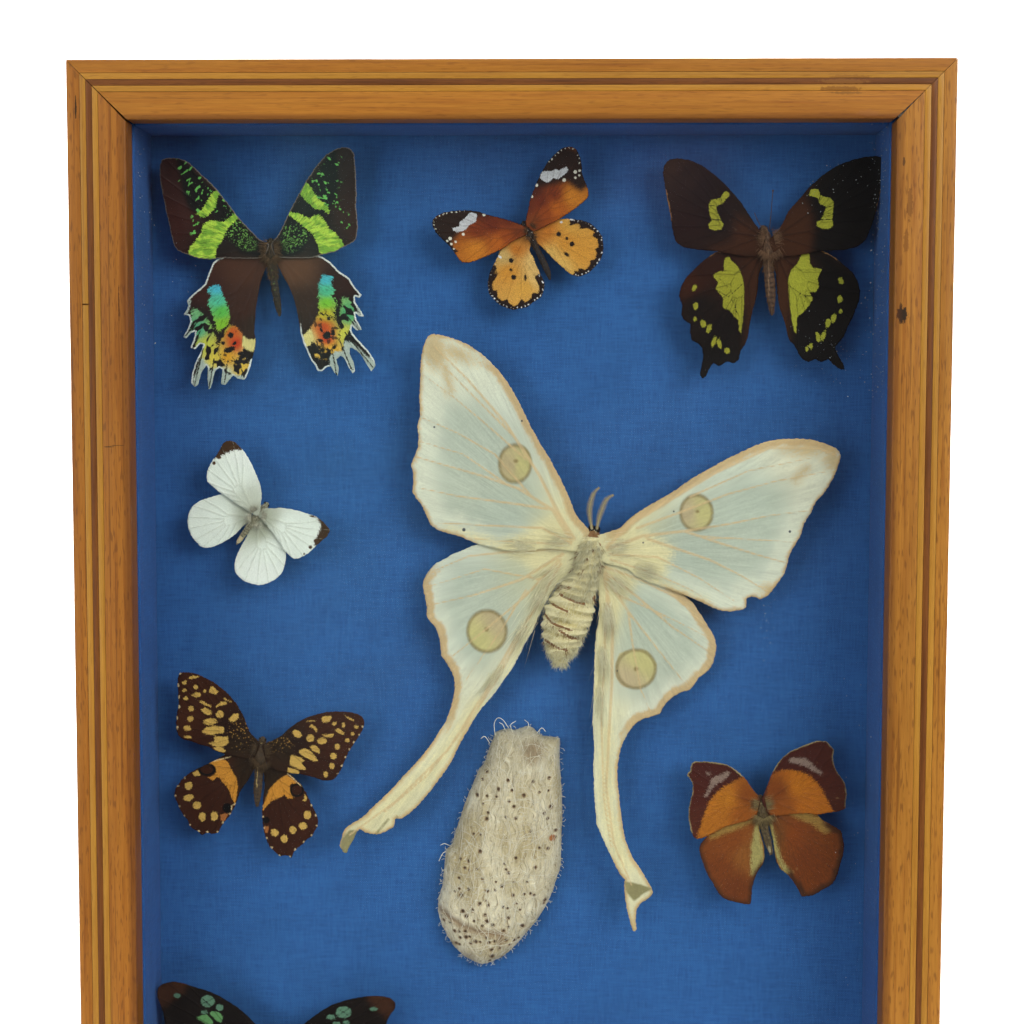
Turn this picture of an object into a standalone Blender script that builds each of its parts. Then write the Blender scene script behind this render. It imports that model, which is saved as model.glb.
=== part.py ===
"""Shadow-box frame holding eight spread butterflies and moths and one cocoon.

Metres, +Z up. The frame stands on its bottom rail: X runs to the right, Y runs
back from the glass and Z runs up. The origin is the middle of the box's base.
"""
import math

import bmesh
import bpy
from mathutils import Matrix, Vector

MM = 0.001

# ---- driving dimensions, in millimetres -------------------------------------
FRAME_W = 320.0          # outer width
FRAME_H = 440.0          # outer height
FACE_W = 21.5            # width of the rail's front face
FRONT_Y = -26.0          # front of the rails
LIP_BACK_Y = -16.0       # back of the lip that the glass bears on
WOOD_BACK_Y = 24.0       # back of the rails
WALL_W = 17.2            # width of the rail behind the lip
ARRIS = 0.6              # small chamfer along the front edges
MITRE_GAP = 0.3          # open joint at each corner
BAND_IN = 4.8            # outer edge of the inlaid banding, from the frame's edge
BAND_W = 6.8             # width of the inlaid banding
BAND_T = 1.5             # thickness of the inlaid banding
GAP = 0.3                # clearance between pieces that touch
INNER_EDGE = 17.5        # edge of everything held in the rebate
GLASS_Y = (-15.7, -13.7)
LINER_Y = (-13.4, 14.9)
LINER_FACE = 21.8        # inner face of the lining strips, from the frame's edge
CLOTH_Y = (15.2, 15.9)
BOARD_Y = (16.2, 20.2)
PANEL_Y = (20.5, 23.0)
FOREWING_Y = (3.2, 3.8)
HINDWING_Y = (4.2, 4.8)
BODY_Y = 5.2             # depth of the middle of each body
BODY_GAP = 0.5           # clearance from a body to its wings
COCOON_DEPTH = 15.5      # how far the cocoon stands off the cloth
HANGER_W = 45.0
HANGER_T = 0.8
NAIL_X = 18.0

# Outlines of the specimens, in millimetres: x to the right and z up from the
# middle of each thorax. Each wing runs along its leading edge to the tip,
# down its outer margin and back along its inner edge to the body.
SPECIMENS = {
    "sunset_moth": {
        "centre": (-91.0, 69.0),
        "spine": [(-.2, 6.8, .9), (0, 5, 1.3), (0, 1.5, 2.0), (.3, -3, 1.8), (.9, -8, 1.5),
                  (1.8, -14, 1.4), (2.7, -19, 1.1), (3.1, -21.5, .4)],
        "forewing_left": [
            (-4, 5), (-5.3, 7.3), (-11.6, 14.8), (-15.9, 20.4), (-20.9, 26.7), (-26.6, 32), (-30.9, 36),
            (-34.7, 37.3), (-38.4, 37.4), (-40.6, 36.7), (-41.4, 33.6), (-41.3, 28.6), (-40.3, 22.9),
            (-39.4, 17.9), (-38.1, 12.3), (-37.3, 7.9), (-36.3, 4.5), (-34.7, 2.6), (-30.9, 1.1),
            (-26.6, -.3), (-22.2, -.5), (-19, .1), (-4, 0)],
        "forewing_right": [
            (2.5, 5.4), (3.4, 9.2), (6.6, 16), (10.3, 22.9), (14, 29.2), (17.8, 34.5), (21.6, 38.6),
            (24.7, 40.3), (27.8, 41.2), (30.3, 40.8), (31.9, 38.9), (32.3, 34.8), (32.6, 29.2),
            (32.7, 23.6), (32.5, 19.2), (32.9, 15.4), (33.2, 12.3), (32.8, 8.6), (32.3, 6.8),
            (30.3, 5.4), (27.8, 4.1), (24.1, 2.3), (20.3, 1.4), (14.7, .1), (3.4, .4)],
        "hindwing_left": [
            (-4, 1.5), (-10, 2.2), (-17, 1.2), (-22, -1.5), (-25.3, -9.6), (-28.4, -12.4), (-30.9, -14.6),
            (-32.1, -16.1), (-31.6, -17.7), (-32.2, -19.6), (-33.3, -21.1), (-31.3, -21.8),
            (-30.9, -23.9), (-31.9, -26.8), (-33.6, -29.6), (-32.5, -30.2), (-30.6, -28.3),
            (-29.1, -27.7), (-29.7, -30.8), (-30.8, -33.6), (-29.1, -34.4), (-27.2, -32.4),
            (-25.9, -32.7), (-27.2, -35.8), (-29.1, -39.6), (-30.3, -43.3), (-30.8, -47.1),
            (-29.4, -48.6), (-28.1, -47.7), (-26.9, -43.3), (-25, -40.5), (-24.4, -41.4),
            (-24.6, -45.2), (-24.1, -49.6), (-23.1, -48.3), (-21.6, -42.7), (-20, -41.4),
            (-18.8, -42.1), (-19.1, -44.6), (-19.4, -47.4), (-17.8, -47.9), (-16.3, -46.1),
            (-14.7, -44.3), (-12.8, -45.5), (-10.3, -45.8), (-9.1, -43.6), (-8.1, -40.8),
            (-7.2, -37.1), (-6.3, -33.9), (-6.1, -30.2), (-6.6, -27.7), (-6.3, -23.9),
            (-5.9, -18.9), (-5, -13.9), (-4.1, -8.9)],
        "hindwing_right": [
            (4, 2), (10, 2.4), (15, 1.8), (19.5, .6), (22.6, -1.5), (25.9, -4.9), (29.7, -7.4),
            (30.9, -9.6), (33.1, -12.4), (34.4, -13.8), (33.4, -14.9), (31.9, -14.3), (31.9, -16.4),
            (33.8, -19.3), (35.2, -21.8), (33.4, -21.8), (31.9, -20.5), (32.5, -23.3), (34.4, -26.8),
            (32.5, -27.1), (30.6, -25.5), (30.6, -27.7), (32.8, -30.5), (36.6, -34.6), (39.1, -38.3),
            (39.6, -40.5), (38.1, -42.6), (36.6, -40.5), (34.1, -36.4), (32.2, -34.6), (30, -33.6),
            (29.7, -35.8), (31.3, -39.3), (31.8, -42.4), (30.9, -43.3), (29.4, -41.1), (27.8, -37.7),
            (26.3, -36.8), (24.7, -38.3), (25.6, -41.4), (25.2, -44.4), (23.8, -43), (22.5, -40.8),
            (20.9, -41.1), (19.1, -42.7), (17.5, -42.4), (16.6, -40.5), (15, -38.3), (13.4, -34.6),
            (12.2, -32.1), (11.3, -28.9), (10.6, -24.6), (9.7, -19.6), (8.4, -14.6), (6.6, -10.2),
            (4.4, -6.4)],
    },
    "plain_tiger": {
        "centre": (7.0, 60.0),
        "spine": [(-2.2, 4.4, .8), (-1.4, 2.8, 1.2), (0, 0, 1.6), (1.2, -2.4, 1.4), (2.5, -5, 1.0),
                  (4.8, -9.5, 1.25), (6.8, -14, 1.15), (7.6, -16.6, .5)],
        "forewing_left": [
            (-2.6, 2.2), (-6.2, 4.6), (-10.7, 6), (-15.3, 7.1), (-19.8, 8.5), (-24.4, 8.9), (-28.9, 8.6),
            (-32.1, 8), (-34.8, 6.9), (-36.5, 5.1), (-36.6, 3.3), (-35.5, .8), (-33.5, -1.5),
            (-30.7, -4), (-28.5, -6.7), (-26.6, -9.5), (-25.3, -10.6), (-23, -10.8), (-19.8, -9.9),
            (-16.2, -8.3), (-12.5, -6.7), (-8.9, -4.7), (-6.2, -2.6), (-2.2, -.8)],
        "forewing_right": [
            (.4, 4), (-.3, 6.5), (-.5, 9.6), (.2, 13.3), (1.5, 16.5), (2.9, 20), (4.7, 23.7), (6.8, 26.9),
            (9.3, 29.6), (11.5, 31.5), (13.8, 32.3), (15.9, 32.3), (17.7, 31), (18.8, 28.5),
            (19.5, 25.5), (19.7, 22.4), (20.9, 19.2), (21.8, 16.9), (22.1, 14.4), (21.1, 12.8),
            (18.4, 10.5), (14.7, 7.8), (11.1, 5.5), (7.5, 3.7), (2.6, 1.4)],
        "hindwing_left": [
            (-2, -1.2), (-6.6, -2), (-8.9, -3.8), (-11.2, -6.4), (-13, -10.4), (-14.8, -13.8),
            (-15.6, -16.7), (-15.8, -19.5), (-15.3, -22.2), (-13.5, -24.5), (-11.2, -26.5),
            (-8.9, -27.6), (-6.2, -28.3), (-3.5, -27.9), (-.7, -27.2), (1.5, -25.4), (4.3, -23.5),
            (5.4, -21.3), (5.7, -18.5), (4.4, -15.4), (2.8, -12.2), (1.6, -9), (0, -6.3), (-.9, -3.6)],
        "hindwing_right": [
            (2.5, 1), (4.4, 3.2), (7.6, 4.9), (11.1, 5.7), (14.3, 5.9), (17, 5.6), (20.2, 5.1),
            (22.9, 4), (25.6, 1.7), (27.2, -.8), (27.8, -3.5), (27.7, -6.3), (27, -9), (25.2, -11.7),
            (22.5, -14.2), (19.7, -15.6), (17.5, -15.7), (15.2, -14.7), (12.5, -12.4), (9.7, -9.9),
            (7, -7.2), (4.3, -4.5), (3, -2.6)],
    },
    "green_patch_swallowtail": {
        "centre": (97.0, 67.0),
        "spine": [(-2.2, 9.5, 1.0), (-1.6, 7.5, 1.5), (-.5, 3, 2.3), (0, -1, 2.2), (.1, -5, 1.7),
                  (.6, -11, 2.0), (1.1, -17, 1.7), (1.5, -21.5, .9), (1.6, -23, .4)],
        "forewing_left": [
            (-3.8, 5.5), (-4.8, 7.9), (-7.1, 13.3), (-10.8, 18.9), (-15.2, 23.9), (-20.2, 28.6),
            (-25.2, 32.3), (-30.2, 34.5), (-34.6, 35.1), (-37.7, 34.5), (-39.6, 32.6), (-40, 29.5),
            (-39.3, 24.5), (-38.3, 19.5), (-37.1, 13.9), (-36.4, 8.9), (-35.2, 4.5), (-32.7, 2.3),
            (-28.9, 1.4), (-23.9, .9), (-18.9, .4), (-10.8, -1.1), (-3.2, -1)],
        "forewing_right": [
            (2.6, 5), (4.5, 9.5), (7.3, 15.8), (11.1, 20.1), (14.8, 24.5), (19.8, 28.9), (24.8, 32.3),
            (29.8, 34.2), (34.6, 35.4), (38, 35.8), (39.8, 35.1), (40.4, 32), (40.2, 27.6), (39.6, 22),
            (38.8, 15.8), (37.9, 9.5), (36.1, 5.1), (32.9, 2.3), (27.9, 1.1), (22.3, .8), (17.3, .4),
            (9.8, -1.1), (3, -1)],
        "hindwing_left": [
            (-3.2, 1), (-9, 1.6), (-15.5, 1.4), (-20.2, .2), (-23.9, -2.4), (-27.7, -5.8), (-30.8, -8.9),
            (-32.7, -12.4), (-33.6, -16.1), (-32.4, -19.6), (-32.7, -23), (-31.8, -24.9),
            (-29.3, -26.8), (-29.3, -29.9), (-28.6, -32.7), (-26.4, -33.9), (-24.9, -35.5),
            (-24.3, -38.6), (-24.9, -42.4), (-25.5, -45.5), (-24.6, -47.1), (-23.3, -46.4),
            (-22.1, -43.6), (-20.5, -41.4), (-18.3, -42.4), (-15.2, -40.8), (-12.7, -41.3),
            (-10.8, -39.9), (-10.2, -36.8), (-8.3, -33.9), (-7.4, -31.1), (-6.8, -26.8), (-5.8, -21.8),
            (-4.6, -17.4), (-3.9, -13), (-3.6, -8)],
        "hindwing_right": [
            (3, 1), (9, 1.8), (15, 2), (20, 1), (24.8, -1.6), (28.6, -4.6), (31.7, -7.4), (33.6, -10.5),
            (34.5, -14.3), (34.2, -18), (32.9, -21.1), (31.7, -24.3), (29.8, -28), (28.6, -31.1),
            (26.7, -33.6), (25.4, -35.5), (26.7, -38.6), (28.6, -41.8), (28.9, -43.6), (27.3, -43.6),
            (24.8, -41.8), (22.9, -39.9), (20.4, -40.8), (17.9, -39.9), (15.4, -40.8), (12.9, -39.6),
            (11.1, -36.8), (9.8, -34.3), (7.9, -32.4), (7, -28.6), (5.8, -24.3), (4.2, -19.9),
            (3.4, -14.3), (2.9, -8)],
    },
    "comet_moth": {
        "centre": (28.0, 189.0),
        "spine": [(3.9, 17.6, .9), (3.6, 16, 2.4), (2.8, 13, 3.9), (2.3, 9.5, 4.5), (1.7, 5.5, 5.0),
                  (1.1, 1.5, 5.2), (-.7, -3, 5.9), (-3.2, -8, 7.6), (-5.2, -14, 9.0), (-7, -20, 8.7),
                  (-8, -25, 7.5), (-8.6, -29, 6.1), (-8.8, -32.3, 3.2)],
        "forewing_left": [
            (-2.4, 15.5), (-1.6, 18.3), (-2.2, 21.5), (-3.8, 24.6), (-5.4, 28.8), (-7.5, 33.6),
            (-10.1, 38.8), (-13.3, 44.6), (-16.9, 50.4), (-20.1, 56.2), (-22.7, 61.5), (-25.9, 67.8),
            (-29.1, 73.1), (-32.2, 77.3), (-35.9, 81.2), (-40.1, 84.9), (-44.8, 87.8), (-50.1, 89.9),
            (-53.8, 90.9), (-56.9, 91.4), (-58.8, 90.9), (-60.4, 88.8), (-61.2, 85.7), (-61.9, 82.5),
            (-62.3, 78.3), (-62.3, 73.1), (-62.6, 67.3), (-62.4, 63.1), (-62.6, 59.9), (-63.4, 56.2),
            (-63, 52), (-63.4, 48.3), (-64.6, 45.2), (-65.8, 42), (-65.1, 38.8), (-65.1, 35.2),
            (-65.4, 32), (-64.1, 29.4), (-61.7, 26.2), (-59.8, 22), (-58.5, 19.1), (-55.4, 17),
            (-51.7, 15.8), (-46.9, 14.4), (-43.8, 13.1), (-40.1, 11.7), (-35, 10.5), (-30, 9.4),
            (-25, 9), (-20, 9.3), (-15, 10.1), (-10, 9.8), (-5.5, 9.5)],
        "forewing_right": [
            (8.6, 12.6), (9.8, 14), (13.4, 17.9), (16.6, 21.1), (20, 23.7), (25, 26.9), (30.1, 29.8),
            (35.3, 33), (40, 36.5), (45, 39.5), (50.1, 42.4), (55.3, 45.3), (60, 47.5), (65, 49.8),
            (70, 51.4), (75.3, 52.2), (80, 52.3), (85, 52), (88, 51.3), (92, 50), (94.5, 48.9),
            (96, 47.5), (96.6, 46), (96.4, 44), (95.5, 41.8), (95, 39.8), (94.2, 37.8), (93, 35.5),
            (91.6, 33.2), (90, 31), (88, 28.8), (86.8, 26.5), (86, 24.3), (84.3, 21.7), (83.2, 19.5),
            (82.2, 15.6), (79.8, 11.4), (77.9, 7.5), (76.9, 3), (75.9, .5), (73.7, -2.8), (71.4, -6),
            (69.5, -7.9), (66.9, -8.9), (65.6, -8.2), (63.8, -7.8), (61.8, -9), (61.9, -11.6),
            (60.5, -12.8), (55.9, -13.6), (52.1, -13.2), (48.2, -11.8), (44.3, -9.9), (40, -8.1),
            (35.3, -6.3), (30.1, -4.4), (25, -2.8), (20, -.2), (16.6, 2.4), (13.4, 3.7), (9, 6)],
        "hindwing_left": [
            (-5.5, 7), (-8.5, 12), (-15, 15.2), (-25, 16), (-34.6, 14.6), (-40.8, 11.6), (-49.8, 7.8),
            (-53.5, 5.7), (-56.6, 4.1), (-58.5, 2.3), (-60.1, -.1), (-61.4, -2.5), (-61.6, -5.1),
            (-60.8, -8.8), (-60.1, -13), (-60.1, -16.2), (-58.7, -18.3), (-56.6, -20.9), (-55.3, -24.6),
            (-54.8, -28.3), (-54.5, -31.4), (-52.4, -34.6), (-50.6, -37.7), (-49.6, -40.4),
            (-49.4, -43.5), (-49.9, -47.2), (-50.8, -50.9), (-52.8, -56.8), (-55.5, -61.1),
            (-58.1, -65.3), (-61.3, -69.5), (-64.9, -73.7), (-69.7, -78.9), (-74.9, -84.7),
            (-80.2, -89.5), (-84.9, -94.2), (-89.2, -96.8), (-91.8, -98.9), (-93.1, -102.1),
            (-93.8, -105.3), (-92.6, -107.6), (-91.3, -108.3), (-89.9, -105.3), (-88.1, -102.1),
            (-86.3, -98.8), (-83.9, -100), (-80.7, -100.8), (-78.6, -100.8), (-76, -99.7),
            (-72.8, -97.9), (-72.3, -95), (-69.7, -94.5), (-67.1, -92.9), (-63.9, -90), (-60.2, -85.8),
            (-56, -80.3), (-52.8, -75.8), (-51.3, -73.7), (-49.7, -70.5), (-47.6, -65.8), (-44.4, -60.5),
            (-40.2, -53.2), (-37.1, -49.5), (-32.8, -44.2), (-30.2, -40.2), (-27.2, -36.2),
            (-24.5, -30.9), (-21.9, -25.6), (-19.3, -21.4), (-17.8, -17.2), (-15.5, -12.5),
            (-12.8, -7.7), (-10, -3.5), (-8.2, -.6)],
        "hindwing_right": [
            (8, 3), (13, 4.5), (20, 2.5), (27, -.5), (33, -3.8), (38.6, -7.7), (41.8, -10.9),
            (44.4, -14.6), (47.1, -18.8), (49.7, -23), (50.7, -26.7), (50.5, -30.4), (49.4, -34.1),
            (47.6, -36.9), (44.4, -39.3), (42.6, -41.9), (40.7, -44.3), (37.6, -45.1), (34.4, -46.9),
            (31.8, -49.3), (30.5, -51.4), (29.4, -53.5), (26.5, -54.5), (23.4, -55.4), (20.2, -57.2),
            (18.1, -59.8), (16.8, -61.9), (15, -65.6), (13.9, -70), (13.3, -75), (13.3, -80),
            (13.9, -85), (14.4, -90), (15.3, -96.1), (16.1, -101.1), (17.8, -106.1), (19.7, -110),
            (22.8, -114.4), (25, -118.3), (26.7, -121.4), (27.1, -123.1), (25.8, -125), (23.3, -126.7),
            (21.7, -128.3), (20.8, -130.6), (20.6, -134.4), (20.9, -137.8), (19.7, -138.3),
            (18.6, -135), (17.5, -131.1), (16.7, -126.7), (16.1, -122.2), (16.1, -119.4),
            (16.3, -117.9), (14.4, -115.8), (12.5, -112.2), (10.6, -108.3), (8.3, -103.3), (6.7, -99.4),
            (5.3, -96.1), (4.9, -90.6), (4.4, -85), (4.2, -80), (4, -75), (4.1, -70), (4.3, -66.1),
            (3.9, -60), (3.6, -57.2), (3.9, -49.8), (4, -42.5), (4.2, -34.6), (4.4, -28.3), (4.8, -23),
            (5.6, -17.7), (6, -13.5), (7, -5.6), (7.2, -2)],
    },
    "white_butterfly": {
        "centre": (-97.0, 167.0),
        "spine": [(3.6, 4.6, .8), (2.6, 3.4, 1.2), (1, 1.2, 1.6), (-1, -1.2, 1.6), (-3.2, -4, 1.2),
                  (-5.4, -7, 1.1), (-7.2, -9.5, .9), (-8, -10.6, .4)],
        "forewing_left": [
            (.5, 3.3), (1.2, 5.2), (1.9, 7.2), (1.8, 10), (1.2, 12.8), (.2, 15.4), (-1.2, 18.8), (-2.8, 22),
            (-4.4, 24.6), (-6, 26.4), (-7.8, 28.2), (-9.6, 29), (-11.2, 28.8), (-12.6, 27.8),
            (-13.6, 26), (-14.8, 24), (-16.2, 22), (-17.6, 19.8), (-18.6, 17.6), (-19, 15.6),
            (-18.8, 13.6), (-17.6, 12.2), (-15.6, 10.4), (-13.6, 8.8), (-11.6, 7.6), (-7.6, 4.8),
            (-1.5, 1.6)],
        "forewing_right": [
            (3.2, 1.6), (4.6, 2.5), (6, 3.1), (9.2, 3.4), (12.4, 3), (15.6, 2.3), (18.8, 1.4), (22, .4),
            (24, -.6), (26, -2.4), (27.6, -4.2), (28, -5.4), (27, -7.4), (25.2, -9), (22.8, -11),
            (20.8, -13), (18.8, -14.6), (16.4, -15.8), (14.4, -16.1), (12.8, -15.2), (11.2, -13.6),
            (10.2, -12.4), (8.4, -9.6), (5.2, -5.2), (2, -1)],
        "hindwing_left": [
            (-3, 1), (-7, 5.8), (-11.6, 8.6), (-14, 8.4), (-16.8, 7.6), (-20, 6.6), (-22.8, 5.4),
            (-25, 3.4), (-26.2, 1), (-26.7, -1.6), (-26.5, -4.4), (-25.4, -7.4), (-23.6, -9.8),
            (-21.6, -11.8), (-19.6, -12.1), (-17.2, -11.8), (-14.4, -10.6), (-11.6, -9.2),
            (-8.8, -7.2), (-6.8, -5.2), (-4.9, -2.8)],
        "hindwing_right": [
            (.8, -1.8), (-2, -5), (-4.6, -8.5), (-6.6, -12), (-8.2, -15.6), (-8.8, -18.6), (-8.6, -21.2),
            (-7.2, -23.2), (-4.8, -25), (-2, -26), (.8, -26.4), (3.6, -25.8), (6.4, -24.4), (8.6, -22.6),
            (10, -20.4), (10.6, -17.6), (10.9, -15.6), (10.9, -12.6), (9.4, -9.6), (6.8, -5.8),
            (3.2, -2)],
    },
    "citrus_swallowtail": {
        "centre": (-96.0, 260.0),
        "spine": [(.3, 6.7, 1.0), (0, 4.8, 1.5), (-.3, 1.5, 2.4), (-.7, -2.5, 2.2), (-1.2, -7, 1.6),
                  (-1.7, -12, 1.7), (-2, -17, 1.2), (-2.1, -19.5, .5)],
        "forewing_left": [
            (-3, 5), (-4.4, 9.6), (-6.5, 15.4), (-9.7, 21.2), (-13.4, 25.4), (-18.1, 29.1), (-21.3, 30.9),
            (-24.9, 32.5), (-28.1, 33), (-31, 32.8), (-31.8, 30.6), (-31.9, 27.5), (-31.7, 23.8),
            (-31.7, 20.1), (-32.3, 16.9), (-32.6, 13.8), (-32.6, 10.6), (-31.8, 8.5), (-30.2, 6.9),
            (-27.6, 6.2), (-23.9, 4.8), (-20.2, 3.8), (-17.6, 2.2), (-14.9, 1.2), (-12.8, .6), (-3.4, -1)],
        "forewing_right": [
            (2.4, 4.2), (5.1, 6.2), (7.7, 8.3), (10.8, 11.2), (14, 13.5), (17.2, 15.3), (21.4, 16.7),
            (25, 17.6), (29.8, 18), (34, 17.9), (37.2, 17.2), (39.3, 15.9), (40.1, 13.8), (39.5, 11.7),
            (37.9, 8.5), (36.1, 5.9), (34, 2.7), (32.4, -.9), (31.1, -4.1), (29.5, -6.7), (27.7, -8.6),
            (24.5, -9.1), (20.3, -7.8), (15.1, -6.6), (10.1, -6.1), (6.1, -5.2), (2.4, -3)],
        "hindwing_left": [
            (-3.2, 1), (-8, 1.8), (-13, 1), (-17, -1), (-20.2, -2.8), (-24.9, -4.9), (-28.1, -6.7),
            (-31.3, -9.4), (-33.4, -12.5), (-34, -15.2), (-32.8, -18.3), (-31.8, -20.9), (-30.5, -23.1),
            (-28.9, -25.2), (-28.1, -27.3), (-26.5, -28.8), (-24.9, -29.4), (-23.4, -30.9),
            (-21.3, -29.9), (-19.2, -30.4), (-17.3, -29.9), (-16, -27.8), (-14.9, -25.9),
            (-12.8, -23.6), (-11.3, -20.9), (-9.9, -17.8), (-8.6, -14.1), (-7.1, -11.5), (-5.5, -9.6),
            (-3.6, -6)],
        "hindwing_right": [
            (2, -1.6), (5, -3.4), (8, -4.6), (10.6, -6.4), (12.4, -8.3), (15.1, -10.9), (17.2, -14.6),
            (18.7, -17.8), (20.3, -20.9), (21.6, -24.1), (21.6, -26.7), (20.3, -29.1), (19.3, -30.9),
            (17.2, -32.3), (15.8, -34.1), (13.7, -35.7), (12.2, -37.3), (11.4, -39.6), (10.1, -38.6),
            (8.2, -38.6), (6.6, -38.8), (4.5, -36.7), (2.9, -35.2), (1.6, -32.5), (.6, -29.4),
            (.1, -25.7), (-.2, -22), (.3, -17), (.8, -11), (.9, -6)],
    },
    "orange_anteva": {
        "centre": (97.0, 278.0),
        "spine": [(-.7, 3.4, .8), (-.5, 1.6, 1.3), (0, -2, 2.1), (.4, -6, 1.9), (1.2, -10, 1.4),
                  (2.4, -14, 1.3), (3.3, -17.5, .8), (3.6, -19, .4)],
        "forewing_left": [
            (-2.2, 2.4), (-2.6, 3.3), (-3.5, 6.2), (-5.4, 9), (-7.3, 11.4), (-10.2, 14), (-13, 15.7),
            (-15.9, 16.7), (-19.7, 17.2), (-23.5, 17.5), (-26.4, 17.4), (-27.3, 16.7), (-27.8, 15.2),
            (-27.9, 14), (-29, 12.9), (-29, 11.9), (-27.8, 10.5), (-26.9, 8.6), (-26.9, 5.7),
            (-27.3, 3.8), (-28, 1), (-28.4, -1.9), (-28.3, -5.2), (-27.6, -9), (-26.4, -11.9),
            (-25, -12.6), (-22.6, -12.1), (-20.2, -11.2), (-16.4, -9), (-13, -7.6), (-9.7, -6.7),
            (-2.8, -4.4)],
        "forewing_right": [
            (1.2, 2.4), (.9, 4.8), (1.5, 7.6), (2.7, 11), (4.1, 14.3), (5.5, 16.7), (7.4, 19), (10.3, 21.4),
            (14.1, 23.3), (17.4, 24.8), (20.3, 25.7), (23.6, 25.7), (24.8, 24.8), (26, 23.3),
            (26.9, 22.4), (26.5, 20.5), (26.7, 17.6), (27.7, 14.8), (29.3, 12.1), (31, 10), (31.7, 7.6),
            (32, 4.8), (31.7, 1.4), (31.5, -.5), (29.3, -1.4), (25.5, -2.1), (20.8, -2.9), (17.4, -2.5),
            (10.8, -2.9), (3, -4)],
        "hindwing_left": [
            (-2.8, -3), (-8, -5), (-14, -7.2), (-19, -10.2), (-22.6, -13.8), (-23.8, -15.7), (-24, -17.6),
            (-23.3, -20.5), (-22.1, -23.8), (-20.7, -27.1), (-18.8, -30), (-17.3, -32.9), (-15.7, -35.2),
            (-13.5, -36.7), (-11.1, -37.4), (-8.3, -38.1), (-5.4, -38.5), (-4.2, -38.3), (-3.9, -36.2),
            (-3.5, -32.4), (-2.8, -29), (-1.6, -26.2), (0, -23.8), (1, -21.4), (1.1, -19), (.8, -15.7),
            (-.2, -12.4), (-1.2, -8)],
        "hindwing_right": [
            (3, -2.6), (10.8, -1.2), (17.4, -.8), (20.3, -2.6), (23.1, -5.2), (26.5, -7.1), (30.3, -9.5),
            (31, -11.9), (31.6, -15.2), (31.2, -19), (30, -22.9), (29.1, -26.2), (28.1, -28.8),
            (26.5, -30.7), (23.6, -32.4), (20.3, -34.5), (17.9, -35), (15.5, -35.2), (14.1, -32.4),
            (12.2, -29.5), (9.8, -26.7), (7.4, -24.8), (5.9, -22.3), (5.2, -20), (4.9, -17.5),
            (4.5, -14), (3.6, -10.5), (3, -6)],
    },
    "dark_swallowtail": {
        "centre": (-91.0, 380.0),
        "spine": [(.6, 10.5, .9), (.6, 8.5, 1.4), (.4, 4, 2.4), (.2, -1, 2.1), (.1, -7, 1.8),
                  (0, -14, 1.5), (0, -19, .9), (0, -20.5, .4)],
        "forewing_left": [
            (-2.6, 6.6), (-4.3, 9.6), (-6.2, 12.2), (-8.9, 15.3), (-11.8, 18.4), (-14.9, 21.2),
            (-19.3, 24), (-23, 26.2), (-27.4, 28.1), (-31.1, 29.3), (-35.5, 30.8), (-39.9, 31.5),
            (-43.4, 30.8), (-45.6, 29.4), (-46.2, 27.5), (-46, 25.3), (-45.2, 22.8), (-44.2, 19.6),
            (-43.5, 14.6), (-43, 9), (-42.2, 3.6), (-40.8, -.6), (-38.4, -3.2), (-33, -4.3),
            (-26, -4.6), (-18, -4.4), (-10, -4), (-3.2, -2.6)],
        "forewing_right": [
            (3.4, 6.6), (5.4, 9.2), (8.2, 12.4), (11.4, 15.3), (14.5, 17.8), (18.3, 20.6), (22, 22.8),
            (26.4, 24.3), (31.4, 25.6), (36.4, 26.5), (40.8, 26.6), (44.5, 25.9), (46.5, 24),
            (46.4, 21.5), (44.6, 19), (43.3, 16.5), (42.4, 13), (41.9, 8.6), (41, 3.6), (39.6, -.8),
            (37, -3.8), (32, -5), (25, -5.2), (17.5, -4.8), (10, -4.2), (3.2, -2.6)],
        "hindwing_left": [
            (-3, 0), (-10, .8), (-17, -.4), (-23, -3.4), (-27.5, -7.5), (-30, -11.5), (-30.5, -15),
            (-29.5, -17.5), (-29.2, -20), (-27, -21.5), (-26.3, -24), (-24, -25.2), (-23.2, -27.5),
            (-23.6, -30), (-22.6, -31.8), (-20.8, -31.5), (-19.9, -29), (-18.5, -27.6), (-16.2, -28.6),
            (-14.2, -27.8), (-12, -28.4), (-9.8, -27.5), (-8, -25), (-6.6, -20.5), (-5, -15), (-4, -9),
            (-3.5, -5)],
        "hindwing_right": [
            (3, 0), (10, .6), (17, -.8), (23.2, -4), (27.6, -8.2), (30.2, -12.4), (30.5, -16),
            (29.4, -18.4), (29, -20.8), (26.8, -22.2), (26, -24.6), (23.8, -25.8), (23, -28),
            (23.2, -30.4), (22.2, -32), (20.5, -31.6), (19.6, -29.2), (18.2, -28), (16, -29),
            (14, -28.2), (11.8, -28.8), (9.6, -27.8), (8, -25.4), (6.6, -20.8), (5.2, -15), (4.2, -9),
            (3.6, -5)],
    },
}
COCOON_CENTRE = (-3.0, 297.0)
COCOON = [
    (-3, 45), (-.5, 46), (2, 46.5), (4.5, 46), (7, 46.8), (9.5, 47.6), (12, 46.6), (14, 44.2), (18, 43.5),
    (21.6, 43), (22.3, 41.5), (22, 37), (22.3, 30), (23, 22), (23.2, 13), (22.9, 5), (22.8, -2),
    (22.6, -8), (21.3, -12), (20, -16.5), (18.5, -20.5), (15.8, -25.5), (13, -30), (10, -33.5),
    (7, -37.3), (3.5, -41), (-.3, -44), (-4.5, -46), (-8, -46.9), (-12, -45.5), (-16, -43),
    (-19.5, -39.5), (-22, -35.5), (-24.3, -31), (-25.5, -26), (-25.3, -21), (-23.8, -16),
    (-23.2, -10), (-22.7, -5), (-22, -1.5), (-20, .5), (-18.5, 6), (-16.5, 12), (-14.5, 18),
    (-12, 24), (-10, 29), (-7, 34), (-5, 40), (-3.7, 43)]


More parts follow.
